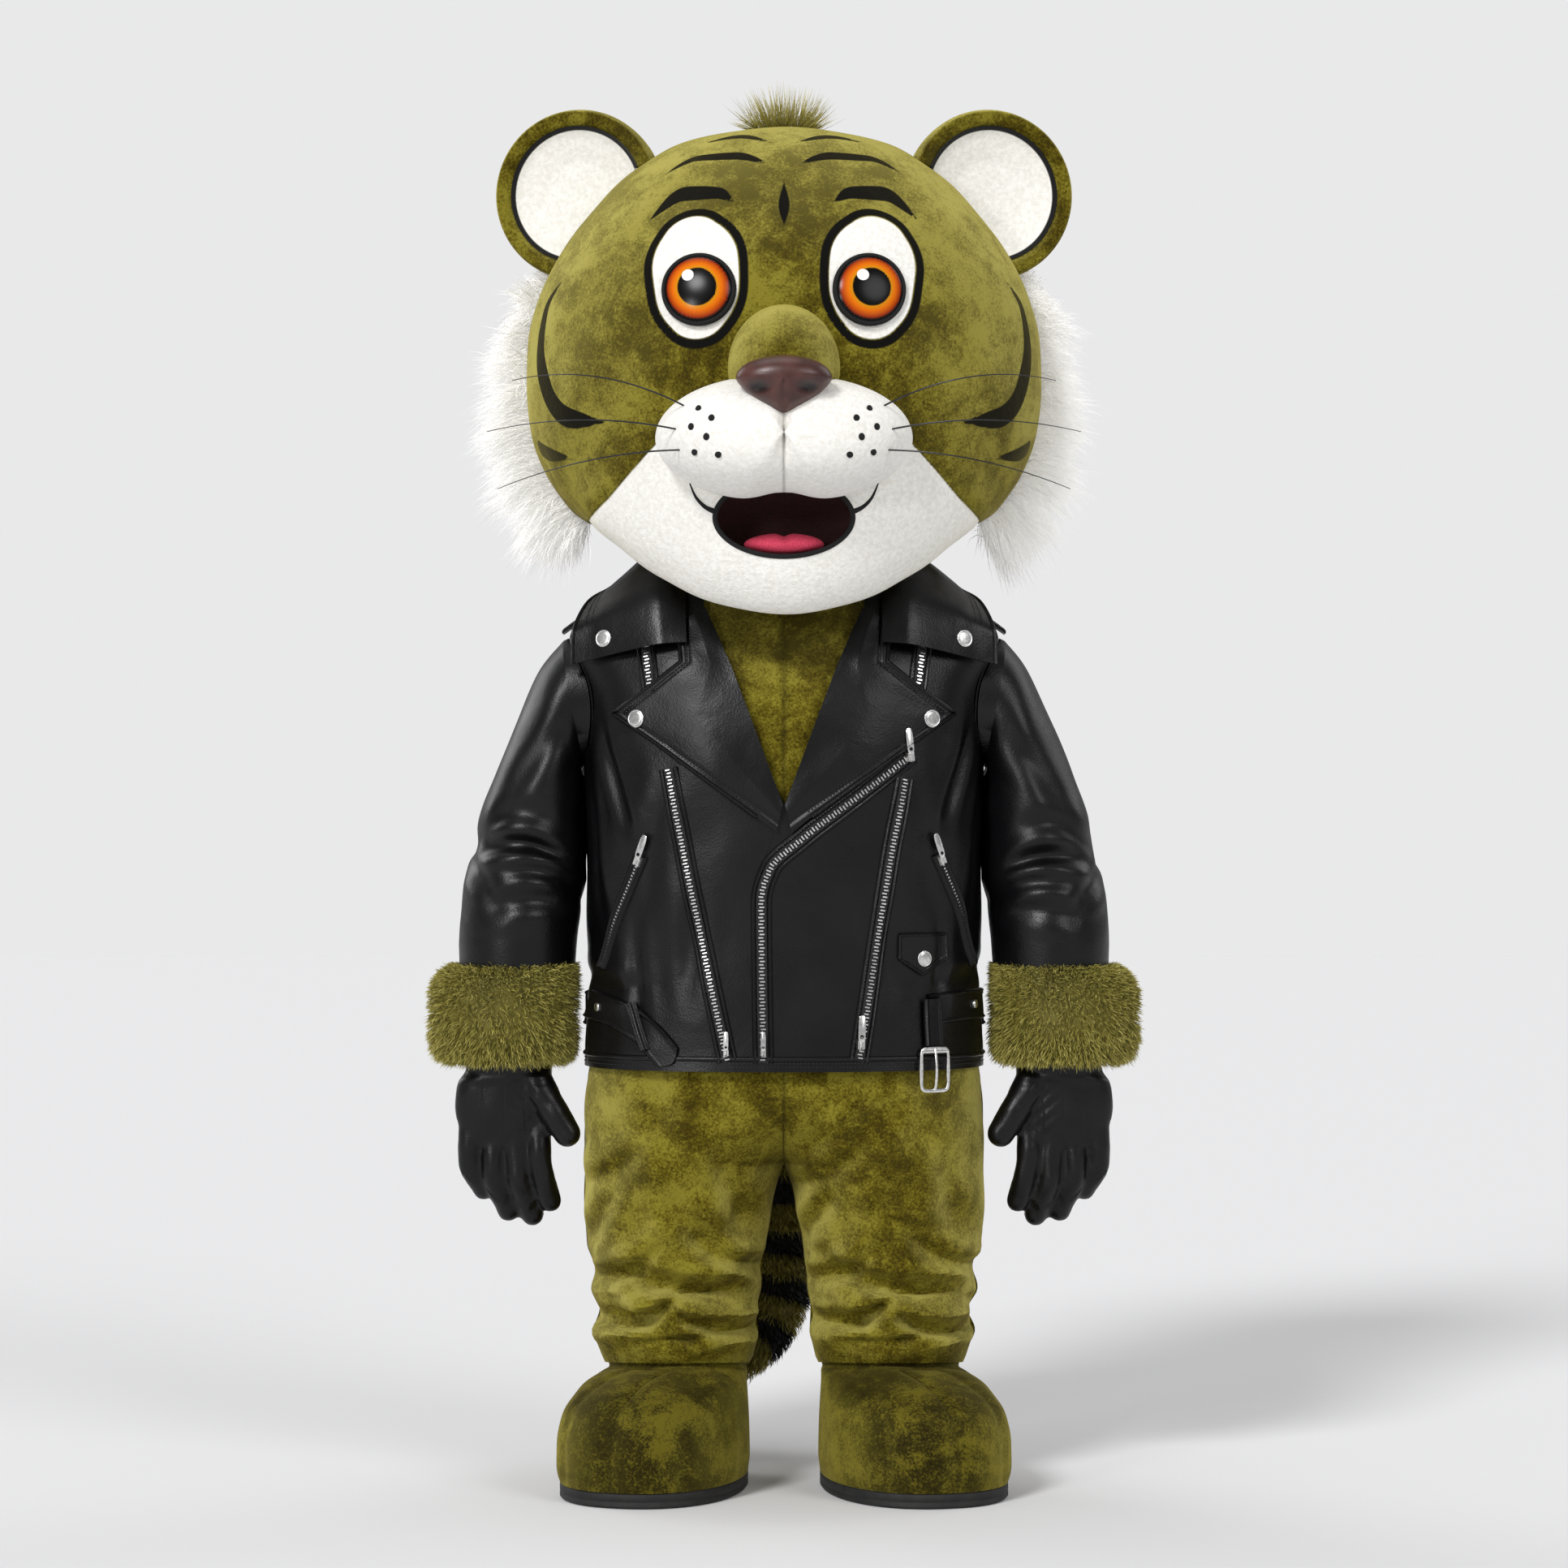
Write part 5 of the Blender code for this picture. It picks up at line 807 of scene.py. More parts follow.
# A thin roll of black felt edges the mouth.
LIP_RADIUS = 0.0042
lip_turns = round_turns(128)
mouth_edge = [(-MOUTH_HALF[0] * math.cos(t), MOUTH_CENTRE_Z + MOUTH_HALF[1] * math.sin(t)) for t in lip_turns]
line = np.array([on_head(x, z) for x, z in mouth_edge])
outward = unit(line - np.array((0.0, 0.0, MOUTH_CENTRE_Z)) * (0, 0, 1) - line * (0, 1, 0))
roll = round_turns(10)
lip = line + outward * (LIP_RADIUS * 0.9 * np.cos(roll))[:, None, None]
lip = lip + np.array((0.0, -1.0, 0.0)) * (LIP_RADIUS * np.sin(roll) - 0.001)[:, None, None]
lip_parts = [(lip, quads(10, 128, True, True))]
for sign in (1, -1):
    corner = spaced([(0.0950, 1.392), (0.108, 1.398), (0.122, 1.412), (0.131, 1.432)], 20)
    line = np.array([on_head(sign * x, z) for x, z in corner])
    lip_parts.append((tube(line, np.linspace(LIP_RADIUS, 0.0010, 20), 8), quads(20, 8, True)))
lip = piece_from("lip_edge", *joined(lip_parts), felt)

TONGUE_DROP, CREASE_DEPTH, CREASE_WIDTH = 0.036, 0.0045, 0.007


def tongue_crease(grid):
    """The tongue's grid with a crease along the middle of its upper side."""
    upper_side = grid[..., 2] > MOUTH_CENTRE_Z - TONGUE_DROP
    grid[..., 2] -= CREASE_DEPTH * bell(grid[..., 0], CREASE_WIDTH) * upper_side
    return grid


tongue_centre = (0.0, middle[1] + 0.018, MOUTH_CENTRE_Z - TONGUE_DROP)
tongue = ellipsoid("tongue_pad", tongue_centre, (0.056, 0.040, 0.016), tongue_fleece, shape=tongue_crease)
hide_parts("tongue")

# Whiskers of black nylon monofilament, 2 mm at the root, glued through the fleece at embroidered dots.
nylon, nylon_shader = new_finish("nylon_monofilament", Roughness=0.3)
place = add_node(nylon, "ShaderNodeTexCoord", {}, {})["Object"]
tint = add_node(nylon, "ShaderNodeTexNoise", {}, {"Vector": place, "Scale": 80.0})["Fac"]
shade = add_node(nylon, "ShaderNodeValToRGB", {}, {"Fac": tint}, ramp=((0.3, "#08080a"), (0.7, "#1c1c20")))
nylon.node_tree.links.new(shade["Color"], nylon_shader.inputs["Base Color"])

WHISKERS = (  # from x and z on the muzzle, to the tip x, y and z, and the rise of its bow
    (0.136, 1.530, 0.372, -0.400, 1.566, 0.020),
    (0.146, 1.500, 0.406, -0.402, 1.496, 0.012),
    (0.140, 1.470, 0.392, -0.398, 1.418, 0.010),
)
DOT_RADIUS, DOT_RISE = 0.0052, 0.0016
DOTS = ((0.098, 1.512), (0.106, 1.486), (0.090, 1.462), (0.122, 1.468), (0.126, 1.500), (0.118, 1.526))


def on_muzzle(x, z):
    """The nearest point of the muzzle's front at (x, z)."""
    front = muzzle_rings[:60].reshape(-1, 3)
    return front[np.argmin((front[:, 0] - x) ** 2 + (front[:, 2] - z) ** 2)]


whisker_parts, dot_parts = [], []
for side in (1, -1):
    for root_x, root_z, tip_x, tip_y, tip_z, rise in WHISKERS:
        root, tip = on_muzzle(side * root_x, root_z), np.array((side * tip_x, tip_y, tip_z))
        t = np.linspace(0.0, 1.0, 18)[:, None]
        path = root + (0, 0.004, 0) + (tip - root) * t + (0, -0.03, rise) * (4 * t * (1 - t))
        whisker_parts.append((tube(path, np.linspace(0.0013, 0.0005, 18)), quads(18, 8, True)))
    for x, z in DOTS:
        centre = on_muzzle(side * x, z)
        out = unit(centre - np.array(MUZZLE_CENTRE) - (0, 0.08, 0))
        across = unit(np.cross(out, (0.0, 0.0, 1.0)))
        up = np.cross(across, out)
        turns = round_turns(16)
        rays = np.cos(turns)[:, None] * across + np.sin(turns)[:, None] * up
        dome = (0.05, 0.8, 1.5, 2.2)  # angles off its top
        rings = [centre + rays * DOT_RADIUS * math.sin(a) + out * (DOT_RISE * math.cos(a)) for a in dome]
        dot_parts.append((np.array(rings), quads(4, 16, True)))
whiskers = piece_from("whiskers", *joined(whisker_parts), nylon)
dots = piece_from("whisker_dots", *joined(dot_parts), felt)

# ---------------------------------------------------------------- ears, cheek fur and tuft
# Each ear is a stuffed velvet dish lined in fleece, its lining edged in black felt. Long acrylic fur is
# sewn into the seam behind each cheek, and a tuft of olive fur stands on the crown.
EAR_CENTRE, EAR_RADIUS, EAR_TURN_OUT = (0.297, 0.020, 1.873), 0.124, math.radians(14)
EAR_PROFILE = (  # radius share, depth: the front dish, the rolled rim and the rounded back
    (0.02, 0.006),
    (0.40, 0.003),
    (0.70, -0.009),
    (0.86, -0.026),
    (0.96, -0.028),
    (1.00, -0.010),
    (0.98, 0.018),
    (0.85, 0.040),
    (0.50, 0.052),
    (0.02, 0.056),
)


def ear_rings(profile, lift=0.0, columns=96):
    """Turned rings about the ear's axis, which looks forward and a little outward."""
    turns = round_turns(columns)
    out = np.array((math.sin(EAR_TURN_OUT), -math.cos(EAR_TURN_OUT), 0.0))
    across = np.array((math.cos(EAR_TURN_OUT), math.sin(EAR_TURN_OUT), 0.0))
    rays = np.cos(turns)[:, None] * -across + np.sin(turns)[:, None] * (0.0, 0.0, 1.0)
    centre = np.array(EAR_CENTRE)
    return np.array([centre + rays * share * EAR_RADIUS - out * (depth - lift) for share, depth in profile])


core_turns = np.linspace(-2 * QUARTER, 2 * QUARTER, 97)[:-1]
core_rings = np.append(np.arange(0.0, CROWN_RING, 0.25), CROWN_RING - 0.01)
head_core = solid("head_core", head_points(core_rings, core_turns), None)
lining_shares = np.linspace(0.02, 0.80, 20)
lining_depths = np.interp(lining_shares, (0.02, 0.40, 0.70, 0.80), (0.006, 0.003, -0.009, -0.0190))
lining_profile = np.stack([lining_shares, lining_depths], axis=1)
LINING_EDGE = 0.745  # the share of the ear's radius where its felt edge begins
for side in ("left", "right"):
    shape = ear_rings(spaced(EAR_PROFILE, 46))
    pad = np.concatenate([ear_rings(lining_profile, 0.0036), ear_rings(lining_profile, 0.0006)[::-1]])
    edge = np.concatenate([lining_profile[:, 0], lining_profile[::-1, 0]])[:, None]
    felt_edge = (edge - LINING_EDGE) * EAR_RADIUS + np.zeros((1, pad.shape[1]))
    if side == "right":
        shape, pad, felt_edge = mirrored(shape), mirrored(pad), felt_edge[:, ::-1]
    ear = solid(f"ear_dish_{side}", shape, plush)
    carve(ear, head_core)
    disc = solid(f"ear_fleece_{side}", pad, fleece, {"felt": felt_edge})
    carve(disc, head_core)
    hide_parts(f"ear_{side}")
    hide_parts(f"ear_lining_{side}")


def fur_finish(name, root, middle, tip, band=None, painted_light=0.0):
    """Acrylic fur: each hair darkens to its root, and hairs differ in shade. A band is dyed in, and a faint
    emission of the tip colour is painted light, standing in for light passed from hair to hair."""
    # Painted light: the fur gives off a faint light of its tip colour.
    finish, shader = new_finish(name, Roughness=0.62, Specular_IOR_Level=0.35, Emission_Strength=painted_light)
    shader.inputs["Emission Color"].default_value = linear(tip)
    along = add_node(finish, "ShaderNodeAttribute", {"attribute_name": "along_hair"}, {})["Fac"]
    tone = add_node(finish, "ShaderNodeAttribute", {"attribute_name": "hair_tone"}, {})["Fac"]
    value = add_node(finish, "ShaderNodeMath", MULTIPLY_ADD, {0: tone, 1: 0.5, 2: along})[0]
    ramp = ((0.15, root), (1.35 / 1.5, tip), (0.70, middle))
    scaled = add_node(finish, "ShaderNodeMath", {"operation": "DIVIDE"}, {0: value, 1: 1.5})[0]
    shade = add_node(finish, "ShaderNodeValToRGB", {}, {"Fac": scaled}, ramp=ramp)["Color"]
    if band:
        shade = mixed(finish, mask_of(finish, "band", 0.0, 0.001), shade, linear(band))
    finish.node_tree.links.new(shade, shader.inputs["Base Color"])
    return finish


# The emission of each fur is painted light: strongest on the white fur, faint on the olive fur.
olive_fur = fur_finish("olive_acrylic_fur", "#5e5612", "#a09646", "#d6cd80", painted_light=0.02)
white_fur = fur_finish("white_acrylic_fur", "#f4f2ee", "#fbfaf7", "#ffffff", painted_light=0.10)


def hairs(roots, ends, bends, width, tones, bands=None, steps=3):
    """The points, faces and marks of ribbon hairs that bend on their way from root to end and taper."""
    count = len(roots)
    t = np.linspace(0.0, 1.0, steps + 1)
    middle = (1 - t)[None, :, None] * roots[:, None] + t[None, :, None] * ends[:, None]
    middle = middle + bends[:, None] * (4 * t * (1 - t))[None, :, None]
    spin = draw.normal(size=(count, 3))
    side = unit(np.cross(ends - roots, spin))
    half = (np.asarray(width).reshape(-1, 1) / 2 * (1 - t[:-1]) ** 0.6)[..., None]
    left, right = middle[:, :-1] - side[:, None] * half, middle[:, :-1] + side[:, None] * half
    points = np.concatenate([np.stack([left, right], axis=2).reshape(count, -1, 3), middle[:, -1:]], axis=1)
    per = 2 * steps + 1
    strip = [(2 * k, 2 * k + 1, 2 * k + 3, 2 * k + 2) for k in range(steps - 1)]
    first = (np.arange(count) * per)[:, None, None]
    faces = (first + np.array(strip)).reshape(-1, 4).tolist()
    faces += (first[:, :, 0] + np.array((2 * steps - 2, 2 * steps - 1, 2 * steps))).tolist()
    along = np.append(np.repeat(t[:-1], 2), 1.0)
    marks = {"along_hair": np.tile(along, count), "hair_tone": np.repeat(tones, per)}
    if bands is not None:
        marks["band"] = np.repeat(bands, per)
    return points.reshape(-1, 3), faces, marks


def furry(name, backing, fur, finish, band_of_backing=None):
    """One piece from a backing of cloth (points and faces) and its hairs."""
    base, base_faces = joined([backing])
    fur_points, fur_faces, marks = fur
    count = len(base)
    faces = base_faces + [[number + count for number in face] for face in fur_faces]
    full = {
        "along_hair": np.concatenate([np.full(count, 0.12), marks["along_hair"]]),
        "hair_tone": np.concatenate([np.full(count, 0.3), marks["hair_tone"]]),
    }
    if "band" in marks:
        full["band"] = np.concatenate([band_of_backing, marks["band"]])
    return piece_from(name, np.vstack([base, fur_points]), faces, finish, full, closed=False)


draw = np.random.default_rng(7)
RUFF = Table(  # its root on the head's side, and where the fur's tips are
    "place root_z tip_x tip_y tip_z half_width",
    [
        (0.0, 1.745, 0.362, 0.050, 1.752, 0.014),
        (1.0, 1.690, 0.412, 0.055, 1.690, 0.034),
        (2.0, 1.610, 0.436, 0.060, 1.596, 0.042),
        (3.0, 1.530, 0.440, 0.058, 1.505, 0.046),
        (4.0, 1.465, 0.424, 0.050, 1.425, 0.046),
        (5.0, 1.425, 0.385, 0.040, 1.352, 0.040),
        (6.0, 1.405, 0.322, 0.030, 1.312, 0.026),
    ],
)
RUFF_TURN = math.radians(98)
RUFF_HAIRS = 11000
CLUMP = 0.35  # how far hairs lean to their lock's middle


def ruff_lines(places, grow):
    """The ruff's root, middle and tip at places along it, and its half width there."""
    sizes = RUFF.at(places)
    rows = np.interp(sizes["root_z"], HEAD.rows[2:, 2], HEAD.rows[2:, 0])
    root = np.array([head_points(np.array([row]), np.array([RUFF_TURN]))[0, 0] for row in rows])
    root = root * (0.955, 0.955, 1.0)
    tip = np.stack([sizes["tip_x"], sizes["tip_y"], sizes["tip_z"]], axis=-1)
    return root, root + (tip - root) * grow, sizes["half_width"]


for side in ("left", "right"):
    places = np.linspace(0.0, 6.0, 40)
    root, short, width = ruff_lines(places, 0.42)
    depth = np.zeros_like(root)
    depth[:, 1] = width * 0.5
    lens_rows = np.stack([root - depth, short - depth * 0.6, short + depth * 0.6, root + depth], axis=1)
    backing_grid = lens_rows[::-1]
    lock = draw.uniform(0, 6, 90)
    place_of = draw.uniform(0.0, 6.0, RUFF_HAIRS)
    lock_of = np.argmin(np.abs(place_of[:, None] - lock[None, :]), axis=1)
    nearest = lock[lock_of]
    root, _, width = ruff_lines(place_of, 0.0)
    tip_at = place_of + (nearest - place_of) * CLUMP + draw.normal(0, 0.13, RUFF_HAIRS)
    across = draw.uniform(-1, 1, RUFF_HAIRS)
    reach = draw.uniform(0.60, 1.02, RUFF_HAIRS) * draw.uniform(0.78, 1.14, 90)[lock_of]
    _, tip, tip_width = ruff_lines(np.clip(tip_at, 0, 6), 1.0)
    start = draw.uniform(0.02, 0.40, RUFF_HAIRS)[:, None]
    roots = root + (tip - root) * start
    roots[:, 1] += across * width * 0.62
    ends = root + (tip - root) * reach[:, None]
    ends[:, 1] += across * tip_width * draw.uniform(0.7, 1.25, RUFF_HAIRS)
    ends += draw.normal(0, 0.009, (RUFF_HAIRS, 3)) + draw.normal(0, 0.010, (90, 3))[lock_of]
    bends = draw.normal(0, 0.005, (RUFF_HAIRS, 3)) + (0.002, 0.0, 0.010)
    if side == "right":
        backing_grid = mirrored(backing_grid)
        roots, ends, bends = (v * (-1, 1, 1) for v in (roots, ends, bends))
    widths, tones = draw.uniform(0.0011, 0.0021, RUFF_HAIRS), draw.uniform(0, 1, RUFF_HAIRS)
    fur = hairs(roots, ends, bends, widths, tones)
    ruff = furry(f"ruff_fur_{side}", (backing_grid, quads(40, 4, True)), fur, white_fur)
    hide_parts(f"cheek_ruff_{side}")

TUFT_HAIRS, TUFT_CENTRE, TUFT_TOP = 1100, (0.0, -0.030, 1.955), 2.046
around, out_share = draw.uniform(0, 2 * math.pi, TUFT_HAIRS), np.sqrt(draw.uniform(0, 1, TUFT_HAIRS))
spread = np.stack([0.036 * np.cos(around), 0.026 * np.sin(around)], axis=-1) * out_share[:, None]
roots = np.array(TUFT_CENTRE) + np.append(spread, np.zeros((TUFT_HAIRS, 1)), axis=1)
rise = (TUFT_TOP - TUFT_CENTRE[2]) * (0.25 + 0.75 * draw.uniform(0, 1, TUFT_HAIRS) ** 1.6)
rise = rise * (1 - 0.3 * out_share)
ends = roots + np.append(spread * 1.05 + draw.normal(0, 0.011, (TUFT_HAIRS, 2)), rise[:, None], axis=1)
bends = draw.normal(0, 0.002, (TUFT_HAIRS, 3))
widths, tones = draw.uniform(0.0008, 0.0016, TUFT_HAIRS), draw.uniform(0, 1, TUFT_HAIRS)
fur = hairs(roots, ends, bends, widths, tones)
turns = round_turns(32)[None, :]
share = np.array((1.0, 0.9, 0.5, 0.02))[:, None]
patch_y = -0.030 - 0.030 * share * np.cos(turns)
patch = grid_of(0.040 * share * np.sin(turns), patch_y, 1.950 + 0.012 * (1 - share**2))
tuft = furry("crown_tuft", (patch, quads(4, 32, True)), fur, olive_fur)
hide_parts("tuft")
bpy.data.objects.remove(head_core, do_unlink=True)

# ---------------------------------------------------------------- the plush suit, its tail and boots
# A one-piece suit of crushed velvet with no sleeves, sewn from two fronts and two backs. Its legs bunch
# over velvet boots, and its neck band goes up into the head. The tail is stuffed and covered in fur.
PLUSH, LEATHER = 0.003, 0.002
SQUARENESS = 2.4  # the torso's plan is a superellipse of this power
TORSO = Table(
    "z half_width half_depth",
    [
        (0.607, 0.290, 0.200),
        (0.665, 0.287, 0.197),
        (0.760, 0.284, 0.195),
        (0.870, 0.286, 0.200),
        (1.000, 0.288, 0.205),
        (1.080, 0.292, 0.200),
        (1.150, 0.303, 0.185),
        (1.205, 0.315, 0.162),
        (1.240, 0.308, 0.142),
        (1.280, 0.225, 0.124),
        (1.318, 0.140, 0.108),
    ],
)
HEM_Z, NECK_Z, YOKE_Z = 0.607, 1.318, 1.175


def torso_points(heights, turns):
    """The jacket's outer face before its folds."""
    sizes = TORSO.at(heights)
    x = sizes["half_width"] * signed_power(np.sin(turns), 2 / SQUARENESS)
    y = -sizes["half_depth"] * signed_power(np.cos(turns), 2 / SQUARENESS)
    return grid_of(x, y, heights)


def torso_normals(heights, turns):
    """Unit normals there."""
    heights, turns = np.broadcast_arrays(np.asarray(heights, dtype=float), np.asarray(turns, dtype=float))
    small = 1e-4
    rows = np.clip(heights, HEM_Z + 0.001, NECK_Z - 0.001)
    along = torso_points(rows, turns + small) - torso_points(rows, turns - small)
    up = torso_points(rows + small, turns) - torso_points(rows - small, turns)
    return unit(np.cross(along, up))


def creased(across, up, folds):
    """The relief of folds on cloth laid flat: each is a soft trough between two low banks.

    A fold is its middle (across, up), its angle, half its length, its depth, its width and its bow."""
    relief = np.zeros(np.broadcast(across, up).shape)
    for middle_across, middle_up, degrees, half_length, depth, width, bow in folds:
        angle = math.radians(degrees)
        run = (across - middle_across) * math.cos(angle) + (up - middle_up) * math.sin(angle)
        off = (up - middle_up) * math.cos(angle) - (across - middle_across) * math.sin(angle)
        off = off - bow * (run / half_length) ** 2
        fade = np.exp(-np.abs(run / half_length) ** 3)
        banks = bell(off - 1.9 * width, width) + 0.7 * bell(off + 1.8 * width, width)
        relief += depth * fade * (0.42 * banks - bell(off, width))
    return relief


ANKLE = {"x": 0.155, "y": 0.0, "half_x": 0.102, "half_y": 0.103, "z": 0.168, "tilt": 0.012}
SUIT_INSET = 0.013
CROTCH_Z, HIP_Z = 0.468, 0.590
LEG = Table(  # hem to hip; inner is 0 where the legs join
    "z outer inner front back",
    [
        (0.195, 0.266, 0.044, 0.112, 0.112),
        (0.220, 0.277, 0.037, 0.124, 0.126),
        (0.250, 0.268, 0.040, 0.118, 0.121),
        (0.280, 0.281, 0.033, 0.129, 0.131),
        (0.312, 0.275, 0.032, 0.124, 0.128),
        (0.345, 0.287, 0.027, 0.132, 0.138),
        (0.400, 0.290, 0.018, 0.140, 0.150),
        (0.440, 0.290, 0.008, 0.148, 0.160),
        (0.468, 0.290, 0.000, 0.154, 0.166),
        (0.500, 0.290, 0.000, 0.160, 0.172),
        (0.545, 0.289, 0.000, 0.168, 0.180),
        (0.590, 0.285, 0.000, 0.178, 0.186),
    ],
)
NECK_DROP = 0.066
NECK_SEAM = {"half_width": 0.1335, "half_depth": 0.1025, "z": 1.313, "front_reach": 0.0205}
NECK_SEAM |= {"front_drop": 0.061, "back_reach": 0.0034}
GRIP_GAP = 0.0008
LEG_COLUMNS = 62  # across each quarter of the suit


def ankle_points(turns, grow=0.0, up=0.0):
    """The ring where the boot's top and the leg's hem meet. `up` raises it."""
    x = ANKLE["x"] + (ANKLE["half_x"] + grow) * np.sin(turns)
    y = ANKLE["y"] - (ANKLE["half_y"] + grow) * np.cos(turns)
    return grid_of(x, y, ANKLE["z"] + ANKLE["tilt"] * np.cos(turns) + up)


def leg_points(z, angles, back):
    """Part of a leg or of the hips at height z. Angles run from 0, the inner seam, to 1, the side."""
    sizes = LEG.at(z)
    depth = sizes["back"] if back else sizes["front"]
    if z <= CROTCH_Z:
        middle, half = (sizes["outer"] + sizes["inner"]) / 2, (sizes["outer"] - sizes["inner"]) / 2
        first, power = 0.0, 1.0
    else:
        share = min((HIP_Z - z) / (HIP_Z - CROTCH_Z), 1.0)
        half = sizes["outer"] / (1 + share)
        middle = sizes["outer"] - half
        power = 1.0 - (1 - 2 / SQUARENESS) * (1 - share)
        first = math.acos(min((middle / half) ** (1 / power), 1.0))
    angle = first + (math.pi - first) * angles
    x = middle - half * signed_power(np.cos(angle), power)
    y = depth * signed_power(np.sin(angle), power)
    return grid_of(x, y if back else -y, np.full_like(x, z))


def neck_seam(turns):
    """The ring where the suit's neck band is sewn on: inside the jacket's neck, and lower in front."""
    across = signed_power(np.sin(turns), 2 / SQUARENESS)
    ahead = signed_power(np.cos(turns), 2 / SQUARENESS)
    front = np.clip(np.cos(turns), 0.0, 1.0) ** 4
    back = np.clip(-np.cos(turns), 0.0, 1.0) ** 2
    depth = NECK_SEAM["half_depth"] + NECK_SEAM["front_reach"] * front + NECK_SEAM["back_reach"] * back
    height = NECK_SEAM["z"] - NECK_SEAM["front_drop"] * front
    return grid_of(NECK_SEAM["half_width"] * across, -depth * ahead, height)


SUIT_HEIGHTS = (0.665, 0.760, 0.870, 0.960, 1.040, 1.080, 1.120, 1.150, 1.175, 1.205, 1.240, 1.280, 1.318)


def suit_grid(back):
    """The left half of the suit's front or back, from the leg's hem to the neck seam."""
    shares = np.linspace(0.0, 1.0, LEG_COLUMNS + 1)
    hem_turns = (-QUARTER + math.pi * shares) if not back else (-QUARTER - math.pi * shares)
    snug = PLUSH + SEAM_GAP
    rows = [ankle_points(hem_turns, grow=snug + grow, up=up) for grow, up in ((0.0, 0.0045), (0.004, 0.013))]
    leg_heights = np.linspace(0.205, HIP_Z, 68)
    rows += [leg_points(z, shares, back) for z in leg_heights]
    for z in SUIT_HEIGHTS:
        turns = QUARTER * shares if not back else 2 * QUARTER - QUARTER * shares
        level = np.full_like(shares, z)
        rise = max(0.0, (z - YOKE_Z) / (NECK_Z - YOKE_Z))
        if not back:
            level = level - NECK_DROP * rise * np.cos(turns) ** 4
        if z < NECK_Z:
            rows.append(torso_points(level, turns) - torso_normals(level, turns) * SUIT_INSET)
        else:
            rows.append(neck_seam(turns))
    grid = np.array(rows)
    return grid[:, ::-1] if back else grid


# Folds in the legs, each at (x, z) seen from the front or the back: bunched above the hems, and drags
# that fan out from the crotch and the seat.
FRONT_FOLDS = (
    (0.175, 0.296, -10, 0.110, 0.0070, 0.0190, -0.016),
    (0.120, 0.236, -20, 0.085, 0.0065, 0.0170, 0.012),
    (0.200, 0.360, 24, 0.080, 0.0035, 0.0200, 0.008),
    (0.215, 0.236, -14, 0.080, 0.0115, 0.0115, 0.012),
    (0.110, 0.250, 20, 0.070, 0.0105, 0.0110, 0.014),
    (0.165, 0.292, -10, 0.095, 0.0110, 0.0130, 0.016),
    (0.090, 0.318, 28, 0.050, 0.0080, 0.0110, 0.006),
    (0.235, 0.330, -24, 0.060, 0.0080, 0.0120, 0.008),
    (0.150, 0.212, 4, 0.060, 0.0070, 0.0085, 0.006),
    (0.050, 0.395, 62, 0.055, 0.0050, 0.0130, 0.004),
    (0.070, 0.462, 38, 0.060, 0.0045, 0.0130, 0.006),
    (0.100, 0.520, 22, 0.080, 0.0035, 0.0160, 0.010),
    (0.240, 0.420, -72, 0.080, 0.0040, 0.0170, 0.006),
    (0.180, 0.385, -35, 0.060, 0.0040, 0.0150, 0.008),
)
BACK_FOLDS = (
    (0.175, 0.238, 10, 0.090, 0.0105, 0.0120, 0.012),
    (0.095, 0.270, -24, 0.060, 0.0090, 0.0110, 0.010),
    (0.205, 0.298, -12, 0.080, 0.0090, 0.0130, 0.014),
    (0.120, 0.345, 18, 0.080, 0.0080, 0.0140, 0.012),
    (0.215, 0.392, 32, 0.080, 0.0085, 0.0150, 0.016),
    (0.130, 0.430, 24, 0.085, 0.0085, 0.0150, 0.014),
    (0.190, 0.485, 30, 0.080, 0.0065, 0.0150, 0.012),
    (0.120, 0.520, 40, 0.060, 0.0045, 0.0140, 0.008),
    (0.230, 0.545, 60, 0.070, 0.0040, 0.0150, 0.006),
)


def leg_relief(grid, folds, mirror):
    """Folds fade out at the seams, under the jacket and at the hem, so that neighbours still meet."""
    x, z = np.abs(grid[..., 0]), grid[..., 2]
    across = x if not mirror else 0.312 - x  # the other leg is creased the other way about
    relief = creased(across, z, folds)
    relief += 0.0022 * np.sin(x * 61 + z * 23 + (2.0 if mirror else 0.0)) * np.sin(z * 47 - x * 19)
    shares = np.linspace(0.0, 1.0, grid.shape[1])[None, :]
    at_seam = np.clip(np.minimum(shares, 1 - shares) / 0.10, 0.0, 1.0)
    fade = np.clip((z - 0.182) / 0.03, 0.0, 1.0) * np.clip((0.63 - z) / 0.05, 0.0, 1.0)
    return relief * fade * (0.25 + 0.75 * at_seam)


half = SEAM_GAP / 2
armhole_l = bar("armhole_l", "x", (0.31, 0.0, 1.134), (0.0905, 0.0925), 0.14)
armhole_r = bar("armhole_r", "x", (-0.31, 0.0, 1.134), (0.0905, 0.0925), 0.14)
for back, folds in ((False, FRONT_FOLDS), (True, BACK_FOLDS)):
    for side in ("left", "right"):
        grid = suit_grid(back)
        grid = grid + (half, half if back else -half, 0)
        deeper = np.interp(grid[..., 2], (0.16, 0.30, 0.46), (2.1, 2.0, 1.4))
        relief = deeper * leg_relief(grid, folds, mirror=(side == "right") != back)
        outer = grid + normals_of(grid) * relief[..., None]
        run = np.linspace(0.0, 1.0, grid.shape[1])[None, :] + 0 * grid[..., 0]
        width = np.linalg.norm(np.diff(grid, axis=1), axis=-1).sum(axis=1)[:, None]
        apart = np.minimum(run, 1 - run) * width
        near = np.clip(SEAM_REACH - apart, 0.0, None)
        if side == "right":
            outer, near = mirrored(outer), near[:, ::-1]
        node = f"suit_{'back' if back else 'front'}_{side}"
        panel = wall(f"{node}_velvet", outer, -normals_of(outer) * PLUSH, plush, marks={"seam_near": near})
        carve(panel, armhole_l if side == "left" else armhole_r)
        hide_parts(node)

